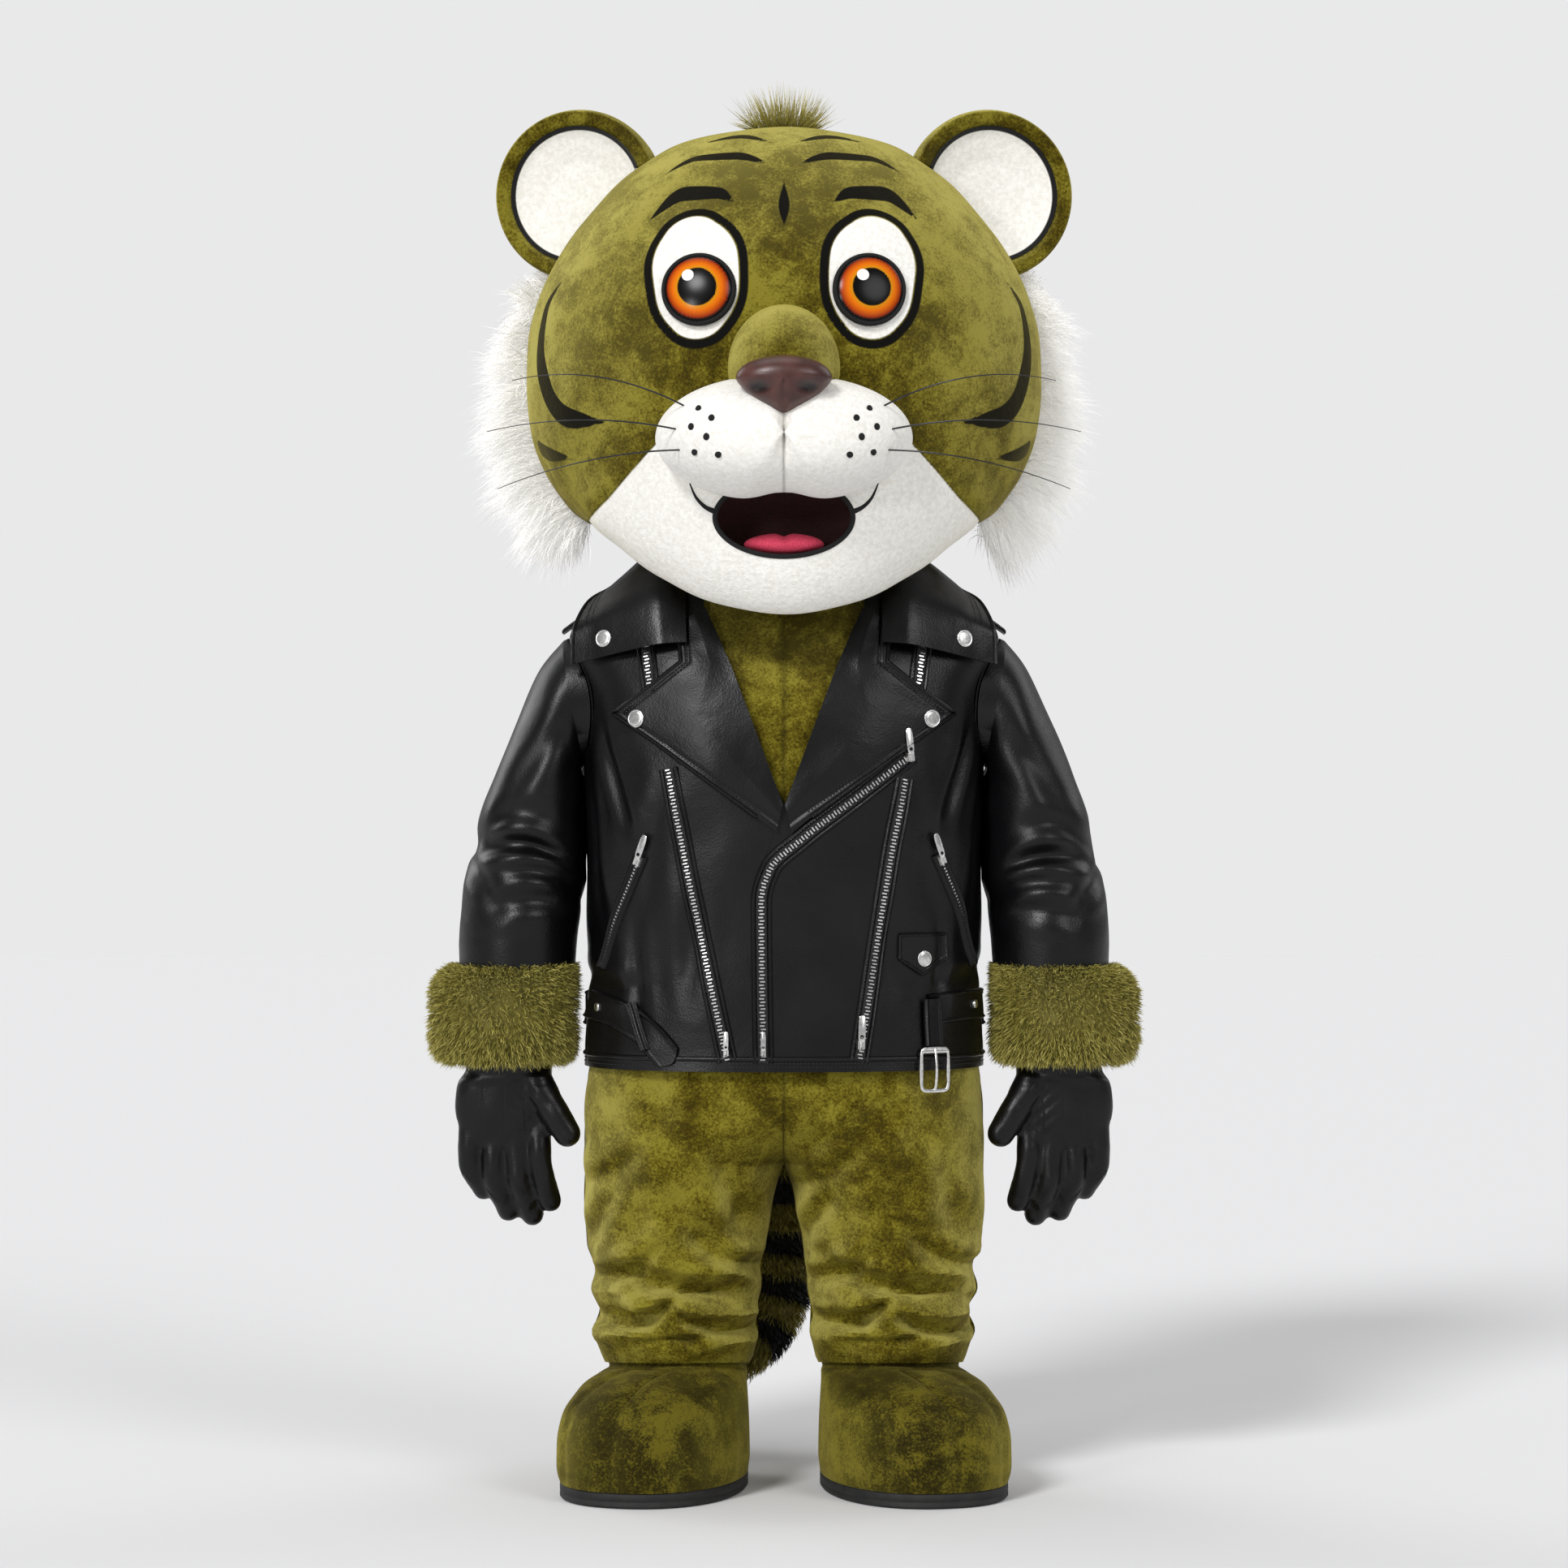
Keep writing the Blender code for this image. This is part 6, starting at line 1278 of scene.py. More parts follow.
# The neck band is a soft tube with two rolls where it is pushed down under the head.
turns = round_turns(160)
seam = neck_seam(turns)
rim = head_points(np.array([0.0]), turns)[0]
shrunk = 1 - GRIP_GAP / HEAD.rows[0, 1]
grip = rim * (shrunk, shrunk, 1.0)
knots = [seam + (0, 0, 2 * SEAM_GAP)]
for up, out in ((0.35, 0.06), (0.72, 0.30)):
    knots.append(seam * (1 - out, 1 - out, 1 - up) + grip * (out, out, up))
knots += [grip, rim * (0.975, 0.975, 1.0) + (0, 0, 0.013)]
knots = np.array(knots)
rows = np.linspace(0.0, 4.0, 37)
band = curve(np.arange(5), knots.reshape(5, -1), rows).reshape(37, -1, 3)
relief = np.zeros(len(rows))
for place_up, depth, width in ((0.55, 0.0050, 0.11), (1.30, 0.0060, 0.12), (2.0, 0.0040, 0.10)):
    relief -= depth * bell(rows - place_up, width)
relief = relief[:, None] * (1 + 0.35 * np.sin(turns * 3 + 1.0) + 0.2 * np.sin(turns * 7))[None, :]
relief *= np.clip(np.minimum(rows, 3.0 - rows) / 0.4, 0.0, 1.0)[:, None]
band = band + normals_of(band, True) * relief[..., None]
neck_band = wall("neck_band_velvet", band, -normals_of(band, True) * PLUSH, plush, round_columns=True)
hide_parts("suit_neck_band")

TAIL = Table(  # from the root to the tip
    "place x y z radius",
    [
        (0.0, 0.000, 0.170, 0.612, 0.056),
        (1.0, 0.000, 0.215, 0.616, 0.059),
        (2.0, -0.002, 0.252, 0.598, 0.062),
        (3.0, -0.004, 0.270, 0.545, 0.064),
        (4.0, -0.006, 0.273, 0.450, 0.064),
        (5.0, -0.007, 0.270, 0.350, 0.063),
        (6.0, -0.014, 0.266, 0.265, 0.062),
        (7.0, -0.042, 0.262, 0.195, 0.060),
        (8.0, -0.092, 0.258, 0.160, 0.056),
        (9.0, -0.138, 0.256, 0.158, 0.046),
        (9.6, -0.162, 0.256, 0.162, 0.028),
        (9.9, -0.173, 0.256, 0.164, 0.010),
    ],
)
TAIL_BANDS = ((4.27, 4.70), (5.12, 5.52), (5.90, 6.30), (6.78, 7.32), (8.55, 10.0))  # dyed black
TAIL_PILE, TAIL_HAIRS, TAIL_SIDES, TAIL_ROWS = 0.012, 22000, 36, 100
TAIL_CURL = 6.2  # from here on the bands slant, as the tail curls
places = np.linspace(0.0, 9.9, TAIL_ROWS)
sizes = TAIL.at(places)
path = np.stack([sizes["x"], sizes["y"], sizes["z"]], axis=1)
core = tube(path, np.maximum(sizes["radius"] - TAIL_PILE, 0.004), TAIL_SIDES)


def tail_band(at):
    """How far inside a black band a place along the tail is; less than 0 outside them."""
    return np.max([np.minimum(at - low, high - at) * 0.09 for low, high in TAIL_BANDS], axis=0)


def rooted(grid, rows_at, columns):
    """Points between those of a grid that is closed round, and the row and column just before each."""
    count = grid.shape[1]
    low, left = np.floor(rows_at).astype(int), np.floor(columns).astype(int)
    up, over = (rows_at - low)[:, None], (columns - left)[:, None]
    left, beside = left % count, (left + 1) % count
    roots = (grid[low, left] * (1 - over) + grid[low, beside] * over) * (1 - up)
    roots += (grid[low + 1, left] * (1 - over) + grid[low + 1, beside] * over) * up
    return roots, low, left


spin = round_turns(TAIL_SIDES)
curled = np.clip((places - TAIL_CURL) / 1.0, 0.0, 1.0)
slant = 0.30 * np.sin(spin)[None, :] * curled[:, None]
seam_rows = draw.uniform(0.05, 1.0, TAIL_HAIRS) ** 0.96 * 98.0
columns = draw.uniform(0.0, 36.0, TAIL_HAIRS)
roots, low, left = rooted(core, seam_rows, columns)
outward = normals_of(core, True)[low, left]
if (outward * (roots - path[low])).sum() < 0:
    outward = -outward
ahead = unit(np.gradient(path, axis=0))[low]
lean = draw.normal(0.0, 0.22, (TAIL_HAIRS, 3))
length = draw.uniform(0.75, 1.15, TAIL_HAIRS)[:, None]
ends = roots + (outward * TAIL_PILE + ahead * 0.011 + lean * 0.010) * length
bends = outward * 0.004 + draw.normal(0, 0.001, (TAIL_HAIRS, 3))
place_of = np.interp(seam_rows, np.arange(TAIL_ROWS), places)
slant_of = np.interp(columns, np.arange(TAIL_SIDES + 1), np.append(slant[70], 0.0))
place_of = place_of + slant_of * np.interp(seam_rows, np.arange(TAIL_ROWS), curled)
widths, tones = draw.uniform(0.0013, 0.0025, TAIL_HAIRS), draw.uniform(0, 1, TAIL_HAIRS)
bands = tail_band(place_of + draw.normal(0, 0.03, TAIL_HAIRS))
fur = hairs(roots, ends, bends, widths, tones, bands, steps=2)
tail_fur = fur_finish("banded_tail_fur", "#5e5612", "#a09646", "#d0c77c", band="#0c0c0d")
core_band = tail_band(places[:, None] + slant).ravel()
tail = furry("tail_fur", (core, quads(TAIL_ROWS, TAIL_SIDES, True)), fur, tail_fur, core_band)
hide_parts("tail")

# Boots: velvet over foam uppers with three darts over the toe, on flat moulded rubber soles.
TOE_OUT = math.radians(17)
FOOT_MIDDLE, FOOT_HALF_LENGTH, SOLE_TOP, BOOT_WALL = 0.0775, 0.1975, 0.022, 0.005


def foot_outline(turns, share=1.0):
    """The boot's footprint: an egg, wide at the toe, turned out from the ankle. Turn 0 is the toe."""
    ahead = FOOT_MIDDLE + FOOT_HALF_LENGTH * share * np.cos(turns)
    across = (0.124 + 0.020 * np.cos(turns)) * share * signed_power(np.sin(turns), 0.9)
    x = ANKLE["x"] + across * math.cos(TOE_OUT) + ahead * math.sin(TOE_OUT)
    y = ANKLE["y"] + across * math.sin(TOE_OUT) - ahead * math.cos(TOE_OUT)
    return x, y


def wrapped(turns):
    """The same turns, all brought between half a turn back and half a turn on."""
    return np.angle(np.exp(1j * turns))


BOOT_COLUMNS = 128
BOOT_SHADES = ("#1c1700", "#2a2402", "#5a5212", "#7d742a", "#484848")  # darker, as they lie in shade
boot_plush, boot_shader, shade, height = crushed_velvet("boot_velvet", *BOOT_SHADES)
finish_surface(boot_plush, boot_shader, *seamed(boot_plush, shade, height), 0.5, 0.0025)
turns = -QUARTER + round_turns(BOOT_COLUMNS)
top = ankle_points(turns)
outline_x, outline_y = foot_outline(turns)
knots = []
for z, share in ((SOLE_TOP + SEAM_GAP, 1.0), (0.048, 1.025), (0.080, 1.02)):
    x, y = foot_outline(turns, share)
    knots.append(grid_of(x, y, np.full_like(x, z)))
for angle in (0.45, 0.90, 1.30):
    inward, height = 1 - math.cos(angle), math.sin(angle)
    x = outline_x * 1.02 * (1 - inward) + top[:, 0] * inward - 0.02 * ANKLE["x"] * (1 - inward)
    y = outline_y * 1.02 * (1 - inward) + top[:, 1] * inward
    knots.append(grid_of(x, y, 0.080 + (top[:, 2] - 0.006 - 0.080) * height))
knots += [top, ankle_points(turns, up=0.018), ankle_points(turns, grow=-0.001, up=0.036)]
knots = np.array(knots)
rows = np.linspace(0.0, 8.0, 53)
upper = curve(np.arange(9), knots.reshape(9, -1), rows).reshape(53, -1, 3)
toe = wrapped(turns)  # 0 at the toe
heel = np.abs(np.abs(toe) - math.pi)
DART_TURNS, GIRTH = (-0.62, 0.05, 0.66), 0.13
darts = np.min([np.abs(toe - at) for at in DART_TURNS] + [heel], axis=0)[None, :] * GIRTH
darts = np.where((rows < 5.6)[:, None] | (heel < 0.3)[None, :], darts, 1.0)
girdle = np.abs(rows - 6.0)[:, None] * 0.02 + 0 * darts
apart = np.minimum(darts, girdle)
lumps = 0.0015 * np.sin(upper[..., 0] * 55) * np.sin(upper[..., 1] * 49)
relief = -0.0028 * bell(apart, 0.008) + lumps
relief *= np.clip(rows / 0.4, 0.0, 1.0)[:, None] * np.clip((7.0 - rows) / 0.6, 0.0, 1.0)[:, None]
upper = upper + normals_of(upper, True) * relief[..., None]
near = np.clip(SEAM_REACH - apart, 0.0, None)

# Black rubber, moulded with shallow ribs round its edge, matt and a little dusty.
ramp = ((0.35, "#0b0b0b"), (0.75, "#1c1b1a"))
rubber = speckled("moulded_rubber", 60.0, 4.0, ramp, 0.15, 0.001, Roughness=0.75)
SOLE_PROFILE = (  # height, share of the footprint
    (0.0, 0.30),
    (0.0, 0.965),
    (0.0015, 0.985),
    (0.0035, 1.0),
    (0.008, 1.0),
    (0.0092, 0.994),
    (0.0108, 0.994),
    (0.012, 1.0),
    (SOLE_TOP - 0.002, 1.0),
    (SOLE_TOP, 0.99),
    (SOLE_TOP, 0.3),
)
sole_rows = []
sole_turns = round_turns(120)
for z, share in SOLE_PROFILE:
    x, y = foot_outline(sole_turns, share)
    sole_rows.append(grid_of(x, y, np.full_like(x, z)))
sole_rows = np.array(sole_rows)
for side in ("left", "right"):
    outer = upper if side == "left" else mirrored(upper)
    marks = {"seam_near": near if side == "left" else near[:, ::-1]}
    boot = wall(f"boot_velvet_{side}", outer, -normals_of(outer, True) * BOOT_WALL, boot_plush, True, marks)
    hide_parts(f"boot_{side}")
    sole = solid(f"sole_rubber_{side}", sole_rows if side == "left" else mirrored(sole_rows), rubber)
    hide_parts(f"sole_{side}")

# ---------------------------------------------------------------- the leather jacket's body
# A biker jacket in black cowhide 2 mm thick, drummed and finished semi-gloss: two fronts that cross, a
# yoke over the shoulders and two backs. Seams are felled and stitched down in two rows.
# The real grain is pebbles of 1 mm; it is drawn at 2.4 mm so that it shows.
leather, leather_shader = new_finish("cowhide_semi_gloss", Roughness=0.4, Specular_IOR_Level=0.28)
place = add_node(leather, "ShaderNodeTexCoord", {}, {})["Object"]
sockets = {"Vector": place, "Scale": 420.0}
pebbles = add_node(leather, "ShaderNodeTexVoronoi", {"feature": "SMOOTH_F1"}, sockets)["Distance"]
sockets = {"Vector": place, "Scale": 55.0, "Detail": 5.0, "Distortion": 1.2}
wrinkles = add_node(leather, "ShaderNodeTexNoise", {}, sockets)["Fac"]
height = add_node(leather, "ShaderNodeMath", MULTIPLY_ADD, {0: wrinkles, 1: 1.6, 2: pebbles})[0]
drape = add_node(leather, "ShaderNodeTexNoise", {}, {"Vector": place, "Scale": 13.0, "Detail": 2.0})["Fac"]
height = add_node(leather, "ShaderNodeMath", MULTIPLY_ADD, {0: drape, 1: 12.0, 2: height})[0]
handled = add_node(leather, "ShaderNodeTexNoise", {}, {"Vector": place, "Scale": 7.0, "Detail": 3.0})["Fac"]
sockets = {"Value": handled, "From Min": 0.3, "From Max": 0.7, "To Min": 0.30, "To Max": 0.42}
shine = add_node(leather, "ShaderNodeMapRange", {}, sockets)["Result"]
leather.node_tree.links.new(shine, leather_shader.inputs["Roughness"])
ramp = ((0.3, "#040405"), (0.7, "#08080a"))
shade = add_node(leather, "ShaderNodeValToRGB", {}, {"Fac": handled}, ramp=ramp)["Color"]
line = mask_of(leather, "seam_near", SEAM_REACH - 0.0030, SEAM_REACH - 0.0008)
height = add_node(leather, "ShaderNodeMath", MULTIPLY_ADD, {0: line, 1: -3.0, 2: height})[0]
finish_surface(leather, leather_shader, shade, height, 0.30, 0.0007)

V_EDGE = ((0.000, 0.985), (0.113, 1.258), (0.120, 1.318))  # (x, z) up the V neck's edge
V_BOTTOM_Z = V_EDGE[0][1]
FRONT_EDGE_X = -0.030
LIFT = 0.0009

# Soft folds in the body, at (distance round it from the middle of the front, z): drags from the armholes,
# a break over the belt and long upright drapes at the sides and back.
BODY_FOLDS = (
    (0.300, 1.020, 62, 0.070, 0.0040, 0.014, 0.006),
    (0.390, 0.960, 78, 0.120, 0.0045, 0.018, 0.010),
    (0.250, 0.760, 84, 0.070, 0.0028, 0.016, 0.004),
    (0.140, 0.800, 96, 0.080, 0.0020, 0.018, 0.004),
    (0.330, 0.735, 4, 0.075, 0.0030, 0.012, 0.006),
    (0.520, 0.740, -3, 0.090, 0.0032, 0.013, 0.006),
    (0.600, 0.980, 96, 0.140, 0.0034, 0.020, 0.008),
    (0.740, 0.880, 84, 0.130, 0.0026, 0.022, 0.006),
    (0.480, 1.060, 118, 0.080, 0.0042, 0.016, 0.006),
    (0.860, 0.745, 2, 0.060, 0.0022, 0.012, 0.004),
    (0.210, 0.940, 100, 0.090, 0.0020, 0.020, 0.006),
    (0.440, 0.640, 88, 0.050, 0.0025, 0.012, 0.002),
)
BODY_RADIUS = 0.3  # a turn times this is the distance round the body
BODY_SEAMS = {"side": 0.586, "back": math.pi * BODY_RADIUS}


def body_relief(heights, turns):
    """The jacket's folds and the dip at each of its seams, in metres out of its outer face."""
    heights, turns = np.broadcast_arrays(np.asarray(heights, dtype=float), np.asarray(turns, dtype=float))
    right = np.sin(turns) < 0
    across = np.abs(wrapped(turns)) * BODY_RADIUS
    moved = across + np.where(right, 0.018, 0.0)
    relief = 1.7 * creased(moved, heights + np.where(right, 0.012, 0.0), BODY_FOLDS)
    relief += 0.0026 * np.sin(across * 33 + heights * 11) * np.sin(heights * 26 - across * 9)
    fade = np.clip((heights - HEM_Z) / 0.03, 0.0, 1.0) * np.clip((1.27 - heights) / 0.08, 0.0, 1.0)
    front_fade = np.clip((across - 0.02) / 0.06, 0.0, 1.0)
    return relief * fade * np.where(np.cos(turns) > 0, front_fade, 1.0)


def body_seams(heights, turns):
    """How near each point is to a seam of the body."""
    across = np.abs(wrapped(turns)) * BODY_RADIUS
    apart = np.where((heights < YOKE_Z) & (across > 0.55), np.abs(across - BODY_SEAMS["back"]), 1.0)
    apart = np.minimum(apart, np.where(across > 0.47, np.abs(heights - YOKE_Z), 1.0))
    apart = np.minimum(apart, np.where(heights < YOKE_Z, np.abs(across - BODY_SEAMS["side"]), 1.0))
    return np.clip(SEAM_REACH - apart, 0.0, None)


def over_body(heights, turns, lift=0.0):
    """The jacket's outer face with its folds, moved out by `lift`."""
    relief = body_relief(heights, turns) + lift
    return torso_points(heights, turns) + torso_normals(heights, turns) * relief[..., None]


def turn_at(x, z):
    """The turn of the front's point at (x, z)."""
    return np.arcsin(signed_power(x / TORSO.at(z)["half_width"], SQUARENESS / 2))


def on_front(x, z, lift=LIFT):
    """The point over the jacket's front at (x, z), moved out by `lift`."""

    def face(x, z):
        sizes = TORSO.at(z)
        share = np.clip(np.abs(x) / sizes["half_width"], 0.0, 0.9995)
        return grid_of(x, -sizes["half_depth"] * (1 - share**SQUARENESS) ** (1 / SQUARENESS), z)

    x, z = np.broadcast_arrays(np.asarray(x, dtype=float), np.asarray(z, dtype=float))
    small = 0.001
    out = unit(np.cross(face(x + small, z) - face(x - small, z), face(x, z + small) - face(x, z - small)))
    share = np.clip(x / TORSO.at(z)["half_width"], -0.9995, 0.9995)
    relief = body_relief(z, np.arcsin(signed_power(share, SQUARENESS / 2)))
    return face(x, z) + out * (np.asarray(lift) + relief)[..., None]


def seated(x, z, lift):
    """The point at (x, z) that far out of the jacket's front, and the way out of the leather there."""
    point = on_front(x, z, lift)
    return point, unit(point - on_front(x, z, 0.0))


def block(centre, across, along, out, sizes, taper=1.0):
    """The corners and faces of a block whose top is narrowed by `taper`."""
    points = []
    for w in (-0.5, 0.5):
        share = taper if w > 0 else 1.0
        for u, v in ((-0.5, -0.5), (0.5, -0.5), (0.5, 0.5), (-0.5, 0.5)):
            offset = across * u * sizes[0] * share + along * v * sizes[1] * share + out * w * sizes[2]
            points.append(centre + offset)
    faces = [(3, 2, 1, 0), (4, 5, 6, 7), (0, 1, 5, 4), (1, 2, 6, 5), (2, 3, 7, 6), (3, 0, 4, 7)]
    return np.array(points), faces


def run_along(points):
    """How far each point is from the first, along the line through them all."""
    return np.append(0.0, np.cumsum(np.linalg.norm(np.diff(points, axis=0), axis=1)))


def row_of_stitches(points, outs, pitch=0.0054):
    """Thread stitched along points, a little out of the leather: the points and faces of each stitch."""
    points, outs = np.asarray(points), np.asarray(outs)
    run = run_along(points)
    at = np.arange(pitch / 2, run[-1], pitch)
    centres = np.stack([np.interp(at, run, points[:, axis]) for axis in range(3)], axis=1)
    out = unit(np.stack([np.interp(at, run, outs[:, axis]) for axis in range(3)], axis=1))
    along = unit(np.gradient(centres, axis=0))
    frames = zip(centres, unit(np.cross(out, along)), along, out)
    return [block(*frame_at, (0.0011, 0.0031, 0.0013), 0.55) for frame_at in frames]


def rolled_edge(points, outs, width=0.0080, height=0.0030):
    """A low ridge along points, where an edge is turned under or a seam is felled. Its points and faces."""
    along = unit(np.gradient(points, axis=0))
    across = unit(np.cross(outs, along))
    shares = ((-0.5, -0.25), (-0.32, 0.62), (0.0, 1.0), (0.32, 0.62), (0.5, -0.25))
    grid = np.stack([points + across * width * over + outs * height * up for over, up in shares], axis=1)
    return grid, quads(len(points), 5)


half = SEAM_GAP / 2
arch = bar("tail_arch", "y", (0.0, 0.20, 0.612), (0.0665, 0.069), 0.06)
body_rows = np.concatenate([np.linspace(HEM_Z, V_BOTTOM_Z, 67), np.linspace(V_BOTTOM_Z, NECK_Z, 61)[1:]])
rows = body_rows[:, None]
edge = np.interp(rows, [point[1] for point in V_EDGE], [point[0] for point in V_EDGE])
blend = np.clip((rows - 0.90) / (V_BOTTOM_Z - 0.90), 0.0, 1.0)
shares = np.linspace(0.0, 1.0, 75)[None, :]


def body_panel(name, node, heights, turns, shift, side, cutters):
    """One leather panel. `turns` are the left side's; the right's are mirrored but creased their own way."""
    heights, turns = np.broadcast_arrays(heights, turns)
    if side == "right":
        heights, turns, shift = heights[:, ::-1], -turns[:, ::-1], (-shift[0], *shift[1:])
    outer = over_body(heights, turns) + shift
    marks = {"seam_near": body_seams(heights, turns)}
    panel = wall(name, outer, -torso_normals(heights, turns) * LEATHER, leather, marks=marks)
    for cutter in cutters:
        carve(panel, cutter)
    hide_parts(node)


for side, cutter, first_x in (("left", armhole_l, FRONT_EDGE_X), ("right", armhole_r, -FRONT_EDGE_X)):
    start = np.where(rows < V_BOTTOM_Z, first_x * (1 - blend), edge) + half
    first = turn_at(start, rows)
    turns = first + (QUARTER - first) * shares
    body_panel(
        f"jacket_front_leather_{side}", f"jacket_front_{side}", rows, turns, (0, -half, 0), side, [cutter],
    )
    back_heights = body_rows[body_rows <= YOKE_Z]
    back_heights = np.append(back_heights, YOKE_Z)
    back_heights = back_heights if len(back_heights) % 2 else np.delete(back_heights, 3)
    back_turns = np.linspace(QUARTER, 2 * QUARTER, 75)[None, :]
    body_panel(
        f"jacket_back_leather_{side}", f"jacket_back_{side}", back_heights[:, None], back_turns,
        (half, half, -SEAM_GAP), side, [cutter, arch],
    )
yoke_heights = np.append(YOKE_Z, np.linspace(YOKE_Z, NECK_Z, 31)[1:])[:, None]
body_panel(
    "jacket_yoke_leather", "jacket_yoke", yoke_heights, np.linspace(QUARTER, 3 * QUARTER, 149)[None, :],
    (0, half, 0), "left", [armhole_l, armhole_r],
)

# Every seam is felled into a low ridge and stitched down on both sides.
ridges, threads = [], []
back_turn, side_turn = 2 * QUARTER, BODY_SEAMS["side"] / BODY_RADIUS
seat = (0.0, SEAM_GAP / 2, 0.0)
body_lines = [  # heights, turns, and the stitches' distances up or round from the seam
    (np.full(161, YOKE_Z), np.linspace(math.radians(116), math.radians(244), 161), (0.0045, 0.0095), 0),
    (np.linspace(0.722, YOKE_Z - 0.003, 81), np.full(81, back_turn), (-0.0050, 0.0050), 1),
]
for sign in (1, -1):
    body_lines.append((np.linspace(0.722, 1.060, 61), np.full(61, sign * side_turn), (0.0050 * sign,), 1))
for heights, turns, distances, way in body_lines:
    outs = torso_normals(heights, turns)
    ridges.append(rolled_edge(over_body(heights, turns, 0.0004) + seat, outs, 0.0140, 0.0058))
    for distance in distances:
        moved = (heights + (1 - way) * distance, turns + way * distance / 0.29)
        threads += row_of_stitches(over_body(*moved, 0.0003) + seat, outs)
turns = np.linspace(math.radians(-88), math.radians(88), 161)
for up in (0.0065, 0.0120):  # two rows along the hem, and the ridge of its turned edge above them
    heights = np.full(161, HEM_Z + up)
    threads += row_of_stitches(over_body(heights, turns, 0.0003) - seat, torso_normals(heights, turns))
heights = np.full(161, HEM_Z + 0.0180)
ridges.append(rolled_edge(over_body(heights, turns, 0.0002) - seat, torso_normals(heights, turns)))

# ---------------------------------------------------------------- sleeves and fur cuffs
# Two-piece sleeves set into the armholes, creased at the bent elbow, with a piped seam down the back. The
# cuffs are fur pelts turned back over the ends of the sleeves.
SLEEVE = Table(  # from the armhole down: its outer and inner edges, and half its depth
    "place outer_x outer_z inner_x inner_z half_depth middle_y",
    [
        (0.0, 0.318, 1.226, 0.290, 1.042, 0.090, 0.000),
        (1.0, 0.352, 1.185, 0.2985, 1.022, 0.094, 0.000),
        (2.0, 0.385, 1.110, 0.2980, 1.000, 0.096, -0.002),
        (3.0, 0.420, 1.030, 0.2965, 0.968, 0.098, -0.005),
        (4.0, 0.443, 0.962, 0.2960, 0.925, 0.098, -0.008),
        (4.6, 0.446, 0.932, 0.2950, 0.905, 0.096, -0.009),
        (5.2, 0.456, 0.902, 0.2950, 0.880, 0.098, -0.010),
        (6.0, 0.466, 0.850, 0.2960, 0.836, 0.098, -0.013),
        (7.0, 0.472, 0.780, 0.3010, 0.780, 0.094, -0.017),
        (8.0, 0.468, 0.700, 0.3060, 0.700, 0.086, -0.020),
    ],
)


def sleeve_points(places, turns, grow=0.0):
    """The left sleeve's outer face; turn 0 is its outer edge and the turns go on to the back."""
    sizes = {name: value[:, None] for name, value in SLEEVE.at(places).items()}
    against_body = np.clip((sizes["inner_z"] - 0.845) / 0.03, 0.0, 1.0)
    body_x = TORSO.at(sizes["inner_z"])["half_width"] + SEAM_GAP
    sizes["inner_x"] += against_body * np.minimum(body_x - sizes["inner_x"], 0.0)
    half_x = (sizes["outer_x"] - sizes["inner_x"]) / 2
    half_z = (sizes["outer_z"] - sizes["inner_z"]) / 2
    length = np.hypot(half_x, half_z)
    stretch = (length + grow) / length
    x = (sizes["outer_x"] + sizes["inner_x"]) / 2 + half_x * stretch * np.cos(turns)[None, :]
    z = (sizes["outer_z"] + sizes["inner_z"]) / 2 + half_z * stretch * np.cos(turns)[None, :]
    y = sizes["middle_y"] + (sizes["half_depth"] + grow) * np.sin(turns)[None, :]
    return grid_of(x, y, z)


SLEEVE_RADIUS = 0.09  # a turn times this is the distance round the sleeve from its outer edge
SLEEVE_SEAMS = (0.115, -0.245)  # how far round the seams are: the one at the back, and the one in front
SLEEVE_FOLDS = (  # at (distance round, distance down the sleeve)
    (-0.140, 0.245, 0, 0.075, 0.0120, 0.0120, 0.016),
    (-0.185, 0.282, -12, 0.060, 0.0095, 0.0120, 0.014),
    (-0.110, 0.205, 22, 0.055, 0.0060, 0.0140, 0.010),
    (-0.150, 0.325, 10, 0.070, 0.0060, 0.0150, 0.012),
    (-0.070, 0.300, -30, 0.050, 0.0045, 0.0140, 0.010),
    (-0.120, 0.120, 64, 0.080, 0.0040, 0.0170, 0.008),
    (-0.050, 0.395, 8, 0.075, 0.0050, 0.0160, 0.010),
    (0.150, 0.250, 6, 0.070, 0.0070, 0.0140, 0.012),
    (0.110, 0.300, -14, 0.060, 0.0050, 0.0150, 0.010),
    (0.080, 0.160, 70, 0.090, 0.0035, 0.0180, 0.006),
    (0.200, 0.380, 6, 0.070, 0.0045, 0.0160, 0.008),
    (0.020, 0.260, -4, 0.040, 0.0050, 0.0130, 0.006),
)
sleeve_turns = round_turns(112)
sleeve_places = [np.linspace(0.0, 2.0, 25), np.linspace(2.0, 7.0, 73)[1:], (7.35, 7.7, 7.85, 8.0)]
sleeve_places = np.concatenate(sleeve_places)
grid = sleeve_points(sleeve_places, sleeve_turns)
sizes = TORSO.at(grid[0, :, 2])
share = np.clip(np.abs(grid[0, :, 1]) / sizes["half_depth"], 0, 1)
armhole_x = sizes["half_width"] * (1 - share**SQUARENESS) ** (1 / SQUARENESS) + SEAM_GAP + LIFT
push = np.clip(1 - sleeve_places / 0.9, 0.0, 1.0)[:, None]
grid[..., 0] = np.where(push > 0, np.maximum(grid[..., 0], armhole_x + 0.009 * (1 - push)), grid[..., 0])
grid[0, :, 0] = armhole_x
down = run_along(grid.mean(axis=1))[:, None]
across = (wrapped(sleeve_turns) * SLEEVE_RADIUS)[None, :]
back_seam, front_seam = (np.abs(across - place) + 0 * down for place in SLEEVE_SEAMS)
seam_apart = np.minimum(back_seam, front_seam)
SLEEVE_IN_CUFF = 8  # as many rows of the sleeve are out of sight in the cuff
